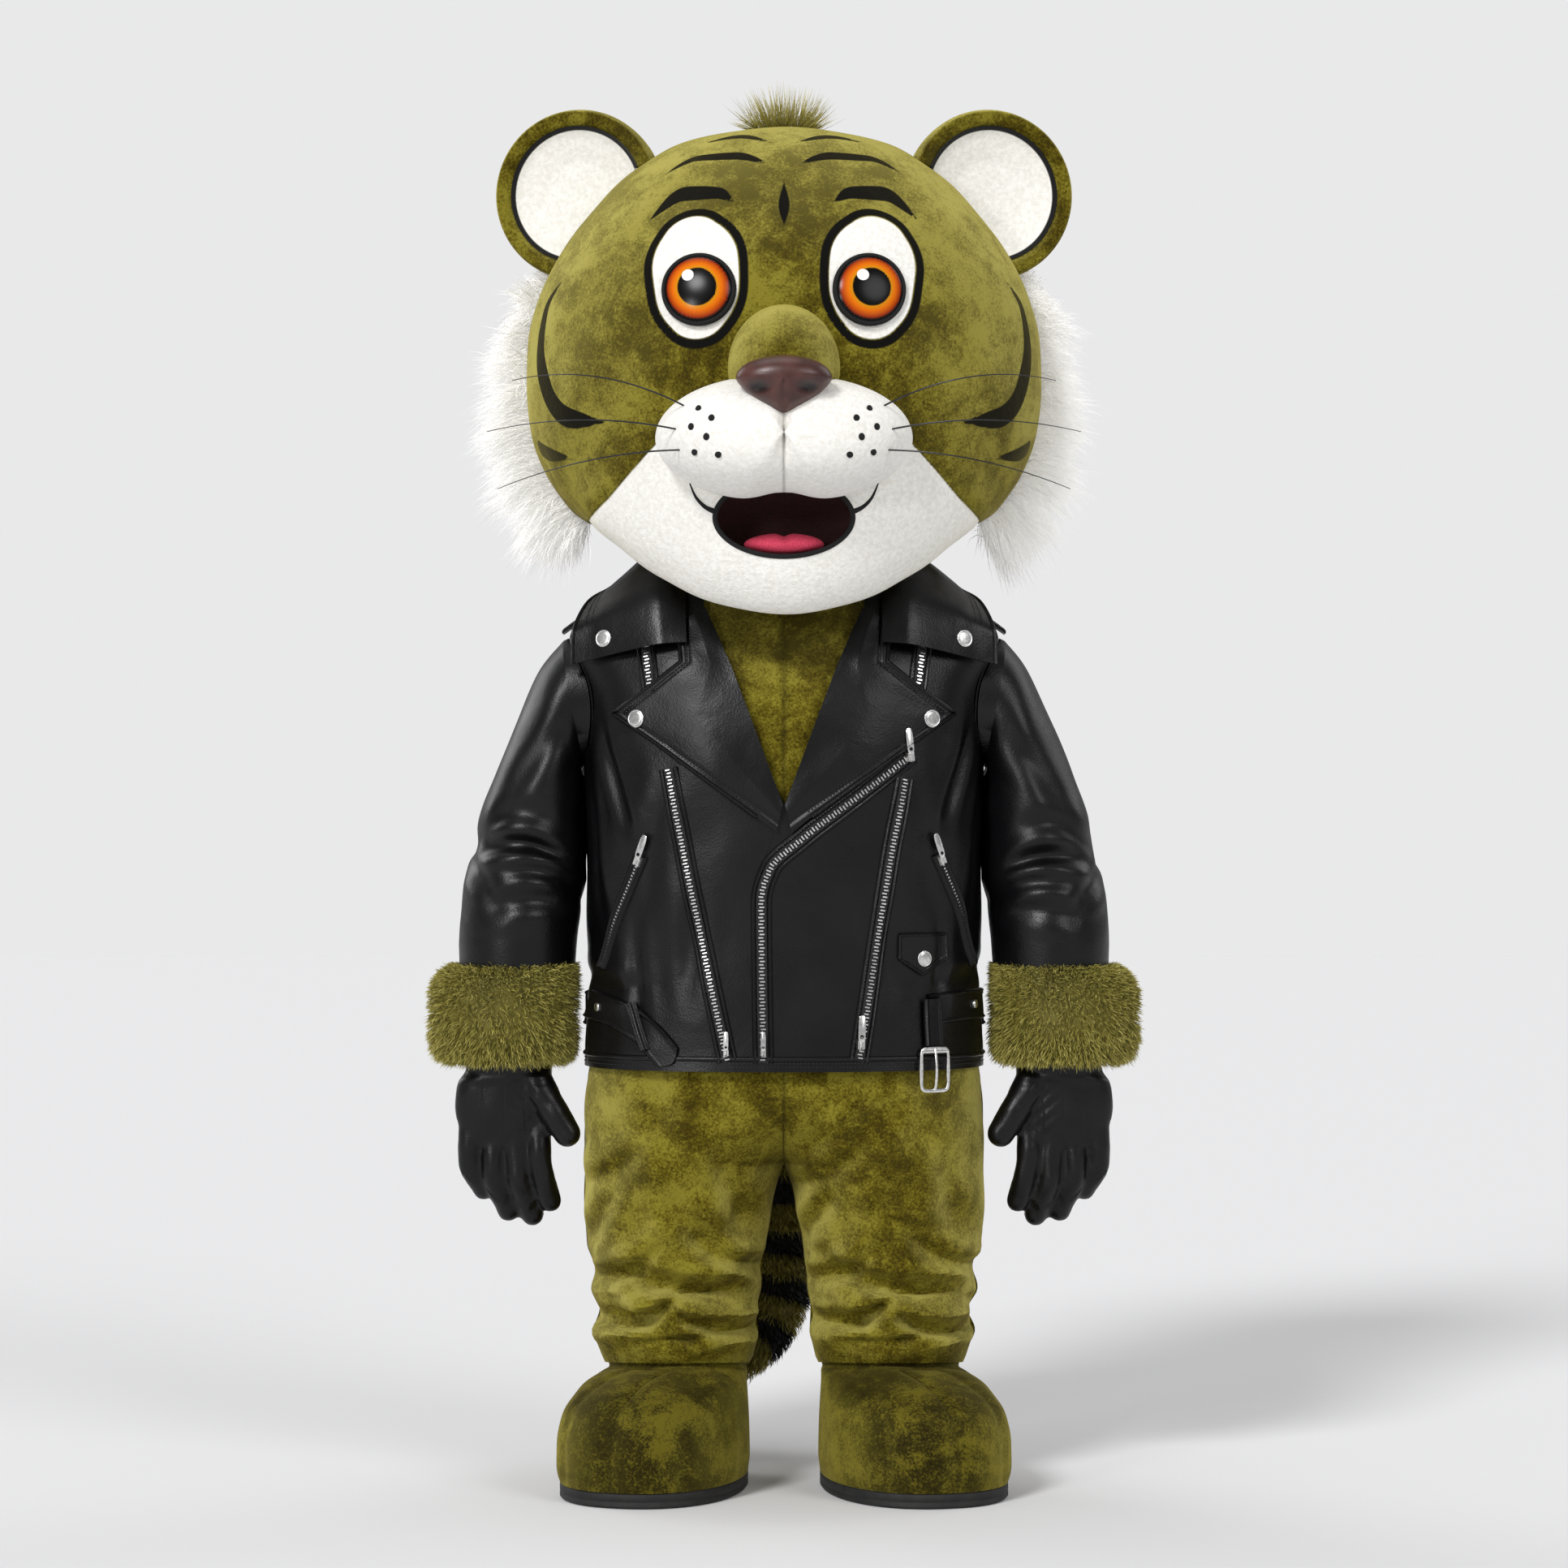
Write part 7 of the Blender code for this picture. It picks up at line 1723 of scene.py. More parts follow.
for side in ("left", "right"):
    shift = 0.0 if side == "left" else 0.016
    relief = creased(across, down + shift, SLEEVE_FOLDS)
    relief = relief + creased(across + 2 * math.pi * SLEEVE_RADIUS, down, SLEEVE_FOLDS)
    relief += 0.0016 * np.sin(down * 43 + across * 17 + shift * 90) * np.sin(across * 37 - down * 13)
    relief -= 0.0015 * bell(seam_apart, 0.006)
    relief *= np.clip(down / 0.05, 0.0, 1.0) * np.clip((down[-1] - 0.085 - down) / 0.05, 0.0, 1.0)
    outer = (grid + normals_of(grid[::-1], True)[::-1] * relief[..., None])[::-1]
    near = np.clip(SEAM_REACH - seam_apart, 0.0, None)[::-1]
    if side == "right":
        outer, near = mirrored(outer), near[:, ::-1]
    outs = normals_of(outer, True)
    sleeve = wall(f"sleeve_leather_{side}", outer, -outs * LEATHER, leather, True, {"seam_near": near})
    column = int(np.argmin(back_seam[0]))
    column = column if side == "left" else len(sleeve_turns) - 1 - column
    line, line_out = outer[:, column], outs[:, column]
    shown = slice(SLEEVE_IN_CUFF, None)
    ridges.append(rolled_edge(line[shown], line_out[shown], 0.0120, 0.0046))
    for distance in (-0.0050, 0.0050):
        sideways = unit(np.cross(line_out, np.gradient(line, axis=0)))
        stitch_line = line + sideways * distance + line_out * 0.0002
        threads += row_of_stitches(stitch_line[shown], line_out[shown])
    sign = 1.0 if side == "left" else -1.0
    hole = outer[-1] - np.array((0.0035 * sign, 0.0, 0.0))
    hole_out = np.array((sign, 0.0, 0.0)) + 0 * hole
    closed_ring = (np.vstack([hole, hole[:2]]), np.vstack([hole_out, hole_out[:2]]))
    ridges.append(rolled_edge(*closed_ring, 0.007, 0.0020))
    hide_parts(f"sleeve_{side}")

CUFF_OUTSIDE = (  # height, edge towards the body, edge away from it, half the depth
    (0.609, 0.322, 0.486, 0.080),
    (0.620, 0.302, 0.508, 0.098),
    (0.652, 0.295, 0.519, 0.108),
    (0.715, 0.295, 0.518, 0.108),
    (0.745, 0.2965, 0.504, 0.103),
    (0.758, 0.2985, 0.484, 0.097),
)
CUFF_MIDDLE_Y, CUFF_FOLD, CUFF_WRIST_Z = -0.020, 0.692, 0.617
WRIST_CENTRE, WRIST_HALF = (0.396, -0.022), (0.066, 0.052)
CUFF_PILE, CUFF_HAIRS, CUFF_COLUMNS = 0.013, 17000, 96
turns = round_turns(CUFF_COLUMNS)
outside = np.array(CUFF_OUTSIDE)
outside = curve(np.arange(6), outside, np.linspace(0, 5, 25))
surface = []
for z, inner_x, outer_x, half_y in outside:
    x = (inner_x + outer_x) / 2 + (outer_x - inner_x) / 2 * np.cos(turns)
    surface.append(grid_of(x, CUFF_MIDDLE_Y + half_y * np.sin(turns), z))
surface = np.array(surface)
upper_ring, lower_ring = sleeve_points(np.array((7.0, 8.0)), turns, grow=0.0008)
middle = surface.mean(axis=1, keepdims=True) * (1, 1, 0) + (0, 0, surface[..., 2].mean())
pulled = surface - unit(surface - middle) * CUFF_PILE
sleeve_side = []
for height in (0.745, 0.700):
    share = (upper_ring[0, 2] - height) / (upper_ring[0, 2] - lower_ring[0, 2])
    sleeve_side.append(upper_ring * (1 - share) + lower_ring * share)
wrist_x = WRIST_CENTRE[0] + (WRIST_HALF[0] + 0.001) * np.cos(turns)
wrist_y = WRIST_CENTRE[1] + (WRIST_HALF[1] + 0.001) * np.sin(turns)
wrist_side = [grid_of(wrist_x, wrist_y, height) for height in (CUFF_FOLD, CUFF_WRIST_Z + 0.008)]
pelt = np.concatenate([pulled, sleeve_side, wrist_side])
for side in ("left", "right"):
    rows_at = draw.uniform(0.0, 1.0, CUFF_HAIRS) * 23.99
    columns = draw.uniform(0.0, CUFF_COLUMNS, CUFF_HAIRS)
    roots, low, left = rooted(pulled, rows_at, columns)
    outward = unit(surface[low, left] - pulled[low, left])
    lock = 0.35 * np.sin(columns * 0.9 + rows_at * 0.5) + 0.30 * np.sin(columns * 2.1 - rows_at * 0.8)
    sideways = unit(np.cross(outward, (0.0, 0.0, 1.0)))
    length = draw.uniform(0.75, 1.15, CUFF_HAIRS)[:, None]
    ends = roots + (outward * CUFF_PILE + sideways * (0.006 * lock)[:, None] - (0, 0, 0.005)) * length
    ends += draw.normal(0, 0.0028, (CUFF_HAIRS, 3))
    bends = outward * 0.003 + draw.normal(0, 0.001, (CUFF_HAIRS, 3))
    backing = pelt
    if side == "right":
        roots, ends, bends = (v * (-1, 1, 1) for v in (roots, ends, bends))
        backing = mirrored(pelt)
    widths, tones = draw.uniform(0.0011, 0.0021, CUFF_HAIRS), draw.uniform(0, 1, CUFF_HAIRS)
    fur = hairs(roots, ends, bends, widths, tones, steps=2)
    cuff = furry(f"cuff_fur_{side}", (backing, quads(len(pelt), CUFF_COLUMNS, True, True)), fur, olive_fur)
    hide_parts(f"cuff_{side}")
for tool in (armhole_l, armhole_r):
    bpy.data.objects.remove(tool, do_unlink=True)

# ---------------------------------------------------------------- collar, lapels, flap and epaulettes
# The collar is one folded piece with a stand and a fall; the lapels are the fronts' tops turned back. All
# are two layers of leather, rolled at the fold and stitched 6 mm in from the edge.
COLLAR = Table(  # from the centre back round to the front point: neck seam, fold and outer edge
    "place seam_x seam_y seam_z fold_x fold_y fold_z edge_x edge_y edge_z",
    [
        (0.00, 0.000, 0.1086, 1.3186, 0.000, 0.156, 1.383, 0.000, 0.198, 1.333),
        (0.25, 0.084, 0.0900, 1.3186, 0.108, 0.136, 1.383, 0.125, 0.180, 1.332),
        (0.45, 0.126, 0.0470, 1.3186, 0.168, 0.070, 1.377, 0.210, 0.108, 1.323),
        (0.60, 0.1408, 0.000, 1.3186, 0.186, 0.002, 1.353, 0.250, 0.034, 1.301),
        (0.75, 0.145, -0.052, 1.320, 0.190, -0.060, 1.332, 0.284, -0.046, 1.276),
        (0.88, 0.140, -0.132, 1.272, 0.178, -0.134, 1.288, 0.302, -0.102, 1.228),
        (1.00, 0.139, -0.166, 1.216, 0.172, -0.165, 1.214, 0.303, -0.104, 1.186),
    ],
)
COLLAR_ROUND_NECK, COLLAR_THICKNESS = 1.006, 0.003
COLLAR_ROWS, COLLAR_COLUMNS = 33, 75  # from the neck seam to the edge, and from the centre back to a point
LAPEL = Table(  # its fold, along the V's edge, and its outer edge
    "place fold_x fold_z edge_x edge_z",
    [
        (0.0, 0.0015, 0.985, 0.0105, 0.947),  # bottom
        (1.0, 0.0460, 1.105, 0.2380, 1.114),  # tip
        (2.0, 0.0740, 1.178, 0.1450, 1.184),  # notch
        (3.0, 0.1110, 1.262, 0.1500, 1.240),  # under the collar
    ],
)
LAPEL_THICKNESS, LAPEL_LIFT, LAPEL_TOUCH, LAPEL_ROLL = 0.003, 0.0051, 0.4, 0.004
LAPEL_SLANT = 0.75  # the share of its width that is square to its outer edge
LAPEL_EDGE, LAPEL_STITCHES = 0.0004, (0.0070, 0.0115)  # how far in from the outer edge


def collar_grid():
    """The side of the folded collar that shows, from one front point round the neck to the other."""
    places = np.linspace(0.0, 1.0, COLLAR_COLUMNS)
    sizes = COLLAR.at(places)
    neck = places <= 0.6
    turns = 2 * QUARTER - QUARTER * places[neck] / 0.6
    ring = torso_points(np.full(neck.sum(), NECK_Z), turns) * COLLAR_ROUND_NECK
    sizes["seam_x"][neck], sizes["seam_y"][neck] = ring[:, 0], ring[:, 1]
    rows = np.linspace(0.0, 2.0, COLLAR_ROWS)
    section = np.array([[sizes[f"{line}_{axis}"] for axis in "xyz"] for line in ("seam", "fold", "edge")])
    half = curve(np.arange(3), section.reshape(3, -1), rows)
    half = half.reshape(COLLAR_ROWS, 3, -1).transpose(2, 0, 1)
    other = half[:0:-1] * (-1.0, 1.0, 1.0)
    grid = np.concatenate([other, half]).transpose(1, 0, 2)
    normals = normals_of(grid)
    normals[0, :, 2] = 0.0
    return grid, unit(normals)


collar_outer, collar_out = collar_grid()
places = np.linspace(-1.0, 1.0, collar_outer.shape[1])
rows = np.linspace(0.0, 2.0, COLLAR_ROWS)[:, None]
wave = 0.0016 * np.sin(places * 19 + 0.6)[None, :] * bell(rows - 1.4, 0.45)
channel = -0.0011 * bell(rows - 1.80, 0.045) + wave
collar_face = collar_outer + collar_out * channel[..., None]
collar = wall("collar_leather", collar_face, -collar_out * (COLLAR_THICKNESS + channel[..., None]), leather)
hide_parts("collar")
for place in (1.80, 1.86):  # two rows near its outer edge
    row = round(place * (COLLAR_ROWS - 1) / 2)
    threads += row_of_stitches(collar_face[row] + collar_out[row] * 0.0004, collar_out[row])
ridges.append(rolled_edge(collar_face[-1] - collar_out[-1] * 0.0014, collar_out[-1], 0.0075, 0.0046))


def laid(name, x, z, thickness, finish, lift=LIFT, marks=None):
    """A piece that lies on the jacket's front: both its faces follow the jacket. Thickness may vary."""
    lower = np.broadcast_to(lift, x.shape)
    outer = on_front(x, z, lower + thickness)
    return wall(name, outer, on_front(x, z, lower) - outer, finish, marks=marks)


rows = np.linspace(0.0, 3.0, 73)
lapel_places, *lapel_lines = LAPEL.rows.T
fold_x, fold_z, edge_x, edge_z = (np.interp(rows, lapel_places, line)[:, None] for line in lapel_lines)
shares = np.linspace(0.0, 1.0, 49)[None, :]
x = fold_x * (1 - shares) + edge_x * shares
z = fold_z * (1 - shares) + edge_z * shares
lift = LIFT + (LAPEL_LIFT - LIFT) * np.clip(shares / LAPEL_TOUCH, 0.0, 1.0) + np.zeros_like(x)
width = np.hypot(edge_x - fold_x, edge_z - fold_z)
from_edge = (1 - shares) * width * LAPEL_SLANT
stitched = -0.0020 * bell(from_edge - 0.0085, 0.0026) - 0.0014 * bell(from_edge, 0.0018)
thick = LAPEL_THICKNESS + LAPEL_ROLL * (1 - shares) ** 2 + stitched
thick = thick + 0.0008 * np.sin(rows * 5 + 1)[:, None] * np.sin(shares * 7)
for side, sign in (("left", 1), ("right", -1)):
    lapel = laid(f"lapel_leather_{side}", sign * x, z, thick, leather, lift)
    for inset in (LAPEL_EDGE, *LAPEL_STITCHES):
        share = np.clip(1 - inset / LAPEL_SLANT / width[:, 0], 0.02, 1.0)
        line_x = sign * (fold_x[:, 0] * (1 - share) + edge_x[:, 0] * share)
        line_z = fold_z[:, 0] * (1 - share) + edge_z[:, 0] * share
        line, outs = seated(line_x, line_z, LAPEL_LIFT + LAPEL_THICKNESS + 0.0002)
        used = slice(3, 70)
        if inset == LAPEL_EDGE:
            ridges.append(rolled_edge(line[used] - outs[used] * 0.0014, outs[used], 0.0075, 0.0044))
        else:
            threads += row_of_stitches(line[used] - outs[used] * 0.0006, outs[used])
    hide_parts(f"lapel_{side}")

FLAP_CORNERS, FLAP_SIDE_Z, FLAP_POINT_Z = ((0.163, 0.800), (0.229, 0.800)), 0.766, 0.744
(left_x, top_z), (right_x, _) = FLAP_CORNERS
shares = np.linspace(0.0, 1.0, 41)[None, :]
rows = np.linspace(0.0, 1.0, 31)[:, None]
bottom = FLAP_SIDE_Z - (FLAP_SIDE_Z - FLAP_POINT_Z) * (1 - np.abs(2 * shares - 1))
z = bottom + (top_z - bottom) * rows
x = left_x + (right_x - left_x) * shares + 0 * z
inside = np.minimum(np.minimum(shares, 1 - shares) * (right_x - left_x), rows * (top_z - bottom))
thick = 0.004 - 0.0012 * bell(inside - 0.005, 0.0016) - 0.0015 * bell(inside, 0.0016)
flap = laid("coin_flap_leather", x, z, thick, leather)
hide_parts("coin_flap")
middle_x = (left_x + right_x) / 2
corners = ((left_x, FLAP_SIDE_Z), (middle_x, FLAP_POINT_Z), (right_x, FLAP_SIDE_Z))
corners += ((right_x, top_z), (left_x, top_z))
for first, second in zip(corners, corners[1:] + corners[:1]):
    x, z = (np.linspace(start, end, 15) for start, end in zip(first, second))
    ridges.append(rolled_edge(*seated(x, z, LIFT + 0.0030), 0.0055, 0.0030))

EPAULETTE = {"x": (0.238, 0.322), "half_width": 0.024, "thickness": 0.006, "lift": 0.0006}
EPAULETTE |= {"seam_x": 0.300, "fall": 0.7}


def roof_height(x, y):
    """The height of the jacket's shoulder at (x, y)."""
    low, high = 1.150, NECK_Z
    for _ in range(30):
        z = (low + high) / 2
        sizes = TORSO.at(z)
        inside = (abs(x) / sizes["half_width"]) ** SQUARENESS + (abs(y) / sizes["half_depth"]) ** SQUARENESS
        low, high = (z, high) if inside < 1 else (low, z)
    return z


def shoulder_point(x, y):
    """The epaulette's top over the shoulder, falling with the sleeve past its seam."""
    past = max(x - EPAULETTE["seam_x"], 0.0)
    over = EPAULETTE["lift"] + EPAULETTE["thickness"]
    return x, y, roof_height(x - past, y) + over - past * EPAULETTE["fall"]


ys = np.linspace(-1, 1, 25) * EPAULETTE["half_width"]
xs = np.linspace(*EPAULETTE["x"], 41)
grid = np.array([[shoulder_point(x, y) for x in xs] for y in ys])
from_ends = np.minimum(xs - xs[0], xs[-1] - xs)[None, :]
inside = np.minimum(EPAULETTE["half_width"] - np.abs(ys)[:, None], from_ends)
grid[..., 2] -= 0.0012 * bell(inside - 0.006, 0.0018) + 0.0018 * bell(inside, 0.0018)
for side in ("left", "right"):
    outer = grid if side == "left" else mirrored(grid)
    strap = wall(f"epaulette_leather_{side}", outer, np.array((0, 0, -0.0048)) + 0 * outer, leather)
    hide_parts(f"epaulette_{side}")

# ---------------------------------------------------------------- zips, studs, belt and buckle
# Heavy biker zips: nickel-plated zinc teeth on black woven tape, cast sliders with flat pulls. The belt
# hangs open; its parts and the buckle are held to the hem by stitched straps.
ramp = ((0.3, "#c4c4c5"), (0.7, "#ecebe8"))
nickel = speckled("nickel_plated_zinc", 250.0, 3.0, ramp, 0.08, 0.0004, Metallic=1.0, Roughness=0.27)
tape, tape_shader = new_finish("woven_zip_tape", Roughness=0.85)
place = add_node(tape, "ShaderNodeTexCoord", {}, {})["Object"]
sockets = {"Vector": place, "Scale": 160.0, "Distortion": 1.0}
weave = add_node(tape, "ShaderNodeTexWave", {"bands_direction": "DIAGONAL"}, sockets)["Fac"]
shade = add_node(tape, "ShaderNodeValToRGB", {}, {"Fac": weave}, ramp=((0.2, "#09090a"), (0.8, "#1b1b1d")))
finish_surface(tape, tape_shader, shade["Color"], weave, 0.3, 0.0006)

ZIP_WIDTH, POCKET_ZIP_WIDTH, TAPE_THICKNESS = 0.014, 0.012, 0.0012
TOOTH_PITCH = 0.0096  # of each side; the two sides mesh
WELTS = {  # the leather's edges along a main or pocket zip: distance from its middle, width and height
    True: ((-0.0115, 0.0075, 0.0036), (0.0115, 0.0075, 0.0036)),
    False: ((-0.0075, 0.0085, 0.0058), (0.0075, 0.0085, 0.0058)),
}
ROUTES = {  # (x, z) on the jacket's front
    "zip_main": (
        (0.181, 1.056),
        (0.105, 0.997),
        (0.030, 0.940),
        (-0.020, 0.893),
        (-0.032, 0.845),
        (-0.031, 0.740),
        (-0.029, 0.620),
    ),
    "zip_left": ((0.171, 1.022), (0.147, 0.890), (0.125, 0.750), (0.106, 0.622)),
    "zip_right": ((-0.164, 1.036), (-0.138, 0.900), (-0.107, 0.750), (-0.080, 0.622)),
    "zip_top_left": ((0.188, 1.140), (0.199, 1.222)),
    "zip_top_right": ((-0.188, 1.140), (-0.199, 1.222)),
    "pocket_zip_left": ((0.219, 0.914), (0.250, 0.835), (0.272, 0.755)),
    "pocket_zip_right": ((-0.203, 0.912), (-0.234, 0.835), (-0.260, 0.752)),
}


def route_frames(route, pitch, lift):
    """Points every `pitch` metres along a route on the front, with the ways along, across and out there."""
    fine = spaced(route, 200)
    run = run_along(fine)
    at = np.arange(pitch / 2, run[-1], pitch)
    x, z = np.interp(at, run, fine[:, 0]), np.interp(at, run, fine[:, 1])
    centres = on_front(x, z, lift)
    along = unit(np.gradient(centres, axis=0))
    out = unit(centres - on_front(x, z, lift - 0.004))
    return centres, along, np.cross(out, along), out


for name, route in ROUTES.items():
    main = name.startswith("zip")
    width, lift = (ZIP_WIDTH, LIFT) if main else (POCKET_ZIP_WIDTH, 1.5 * LIFT)
    rows = 121 if name == "zip_main" else 81
    centre = spaced(route, rows)
    along = unit(np.gradient(centre, axis=0))
    side = np.stack([along[:, 1], -along[:, 0]], axis=1)
    ends = [on_front(*(centre + side * reach).T) for reach in (-0.002, 0.002)]
    stretch = np.linalg.norm(ends[1] - ends[0], axis=1) / 0.004
    offsets = np.linspace(-0.5, 0.5, 9) * width / stretch[:, None]
    x, z = centre[:, 0:1] + side[:, 0:1] * offsets, centre[:, 1:2] + side[:, 1:2] * offsets
    strip = laid(f"{name}_tape", x, z, TAPE_THICKNESS, tape, lift)
    if "top" not in name:  # the side zips' ends that show above the lapels are not nodes of their own
        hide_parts(name)
    length = float(np.linalg.norm(np.diff(on_front(*centre.T), axis=0), axis=1).sum())
    parts = []
    frames = zip(*route_frames(route, TOOTH_PITCH / 2, lift + 0.0021))
    for number, (point, ahead, over, out) in enumerate(frames):
        sign = 1 if number % 2 else -1
        if not main:
            point, over = point - out * 0.0009, over * 0.45  # pocket zips are finer, and sunk in their welts
        parts.append(block(point + over * sign * 0.0008, over, ahead, out, (0.0090, 0.0027, 0.0028), 0.75))
    for reach, ridge_width, ridge_height in WELTS[main]:
        edge = centre + side * reach / stretch[:, None]
        line = on_front(*edge.T, LIFT * 0.5)
        ridges.append(rolled_edge(line, unit(line - on_front(*edge.T, -0.004)), ridge_width, ridge_height))
    teeth = piece_from(f"{name}_teeth", *joined(parts), nickel, closed=False, sharp_degrees=30)

SLIDERS = (  # (x, z), the way its pull hangs, its size
    ("slider_main", (-0.029, 0.634), -90, 0.9),
    ("slider_right", (-0.081, 0.634), -90, 0.9),
    ("slider_left", (0.108, 0.645), -92, 1.25),
    ("slider_top", (0.178, 1.052), -84, 1.25),
    ("slider_pocket_left", (0.222, 0.906), -66, 1.25),
    ("slider_pocket_right", (-0.206, 0.904), -114, 1.25),
)


def plate_with_hole(centre, across, along, out, width, length, thick, hole):
    """A flat pull: a rounded plate with a hole near its top. Its points and faces."""
    turns = round_turns(28)
    outline_x = signed_power(np.cos(turns), 0.5) * width / 2
    outline_z = signed_power(np.sin(turns), 0.6) * length / 2
    outline = np.stack([outline_x, outline_z], 1)
    inner = np.stack([np.cos(turns) * hole, np.sin(turns) * hole + length * 0.30], 1)
    levels = [(outline * 0.93, 0.5), (outline, 0.2), (outline, -0.2), (outline * 0.93, -0.5)]
    levels += [(inner, -0.5), (inner, 0.5)]
    rings = [centre + xy[:, :1] * across + xy[:, 1:] * along + out * w * thick for xy, w in levels]
    return np.array(rings), quads(6, 28, True, True)


for name, (x, z), degrees, size in SLIDERS:
    base, out = seated(x, z, LIFT + 0.0045)
    across = unit(np.cross((0.0, 0.0, 1.0), out) * -1)
    up = np.cross(across, out) * -1
    angle = math.radians(degrees)
    along = -(across * math.cos(angle) + up * math.sin(angle))
    over = np.cross(along, out)
    parts = [block(base, over, along, out, (0.011 * size, 0.013 * size, 0.0055), 0.72)]
    parts.append(block(base + out * 0.0034, over, along, out, (0.0032, 0.011 * size, 0.0028), 0.6))
    pull = base - along * 0.018 * size + out * 0.0042
    parts.append(plate_with_hole(pull, over, along, out, 0.0085 * size, 0.030 * size, 0.0017, 0.0022 * size))
    slider = piece_from(name, *joined(parts), nickel, closed=False, sharp_degrees=30)

STUDS = {  # (x, z, height over the jacket, radius)
    "stud_lapel_left": (0.206, 1.106, 0.0088, 0.0130),
    "stud_lapel_right": (-0.206, 1.106, 0.0088, 0.0130),
    "stud_coin_flap": (0.197, 0.766, 0.0051, 0.0115),
}
STUD_PROFILE = (  # share of the radius, height
    (1.0, -0.0010),
    (1.0, 0.0010),
    (0.97, 0.0018),
    (0.88, 0.0022),
    (0.80, 0.0020),
    (0.70, 0.0026),
    (0.50, 0.0029),
    (0.28, 0.0030),
    (0.03, 0.0031),
)


def stud(name, base, out, radius, node=None):
    """A pressed snap cap: a rolled rim round a low dome."""
    across = unit(np.cross(out, (0.0, 0.0, 1.0)))
    up = np.cross(across, out)
    turns = round_turns(40)
    rays = np.cos(turns)[:, None] * across + np.sin(turns)[:, None] * up
    rings = [base + rays * radius * share + out * high for share, high in spaced(STUD_PROFILE, 25)]
    cap = solid(name, np.array(rings), nickel)
    if node:
        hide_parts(node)


for node, (x, z, high, radius) in STUDS.items():
    stud(f"{node}_cap", *seated(x, z, high - 0.0008), radius, node)
collar_row = round(1.7 * (COLLAR_ROWS - 1) / 2)
collar_column = round(0.94 * (COLLAR_COLUMNS - 1)) + COLLAR_COLUMNS - 1
for node, sign in (("stud_collar_left", 1), ("stud_collar_right", -1)):
    mirror = np.array((sign, 1.0, 1.0))
    seat, out = collar_outer[collar_row, collar_column], collar_out[collar_row, collar_column]
    stud(f"{node}_cap", (seat + out * 0.0006) * mirror, out * mirror, 0.0125, node)

# The belt: a fixed band round the back, and straps of doubled leather stitched along both edges.
BELT_BACK_Z, BELT_THICKNESS = (0.664, 0.714), 0.004
STRAPS = {
    "right": ((-0.276, 0.698), (-0.245, 0.690), (-0.196, 0.662), (-0.157, 0.618)),
    "left": ((0.281, 0.698), (0.262, 0.698), (0.206, 0.693)),
    "hanging": ((0.208, 0.708), (0.209, 0.6420)),
    "loop": ((-0.216, 0.702), (-0.193, 0.636)),
}


def strap_profile(across, half, thickness):
    """A strap's thickness across its width: a ridge near each edge, and rounded edges."""
    inside = half - np.abs(across)
    return thickness + 0.0028 * bell(inside - 0.0030, 0.0018) - 0.0018 * bell(inside, 0.0016)


def strap(name, node, route, width, thickness, lift, point=0.0):
    """A strap along a route on the front. Its far end may be cut to a point."""
    rows, columns = 61, 25
    centre = spaced(route, rows)
    along = unit(np.gradient(centre, axis=0))
    side = np.stack([along[:, 1], -along[:, 0]], axis=1)
    offsets = np.linspace(-0.5, 0.5, columns) * width
    last_half = np.clip(np.linspace(-1.0, 1.0, rows), 0, 1)[:, None]
    shift = -point * (np.abs(offsets) / (width / 2)) ** 1.5 * last_half**2
    x = centre[:, 0:1] + side[:, 0:1] * offsets + along[:, 0:1] * shift
    z = centre[:, 1:2] + side[:, 1:2] * offsets + along[:, 1:2] * shift
    thick = strap_profile(offsets, width / 2, thickness)[None, :] + 0 * x
    made = laid(name, x, z, thick, leather, lift)
    if node:
        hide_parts(node)
    length = float(np.linalg.norm(np.diff(on_front(*centre.T), axis=0), axis=1).sum())


band_rows = np.linspace(*BELT_BACK_Z, 25)[:, None]
band_turns = np.linspace(QUARTER, 3 * QUARTER, 181)[None, :]
middle = (BELT_BACK_Z[0] + BELT_BACK_Z[1]) / 2
high = strap_profile(band_rows - middle, (BELT_BACK_Z[1] - BELT_BACK_Z[0]) / 2, BELT_THICKNESS)
seat = over_body(band_rows, band_turns, LIFT * 1.2) + (0, SEAM_GAP / 2, 0)
band_out = torso_normals(band_rows, band_turns)
belt_back = wall("belt_back_leather", seat + band_out * high[..., None], -band_out * high[..., None], leather)
carve(belt_back, arch)
bpy.data.objects.remove(arch, do_unlink=True)
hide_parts("belt_back")
strap("belt_strap_right_leather", "belt_strap_right", STRAPS["right"], 0.042, BELT_THICKNESS, 2 * LIFT, 0.012)
strap("belt_strap_left_leather", "belt_strap_left", STRAPS["left"], 0.044, BELT_THICKNESS, LIFT)
strap("belt_end_leather", None, STRAPS["hanging"], 0.026, 0.003, 3 * LIFT + BELT_THICKNESS)
strap("belt_loop_leather", "belt_loop", STRAPS["loop"], 0.014, 0.003, 2.6 * LIFT + BELT_THICKNESS)

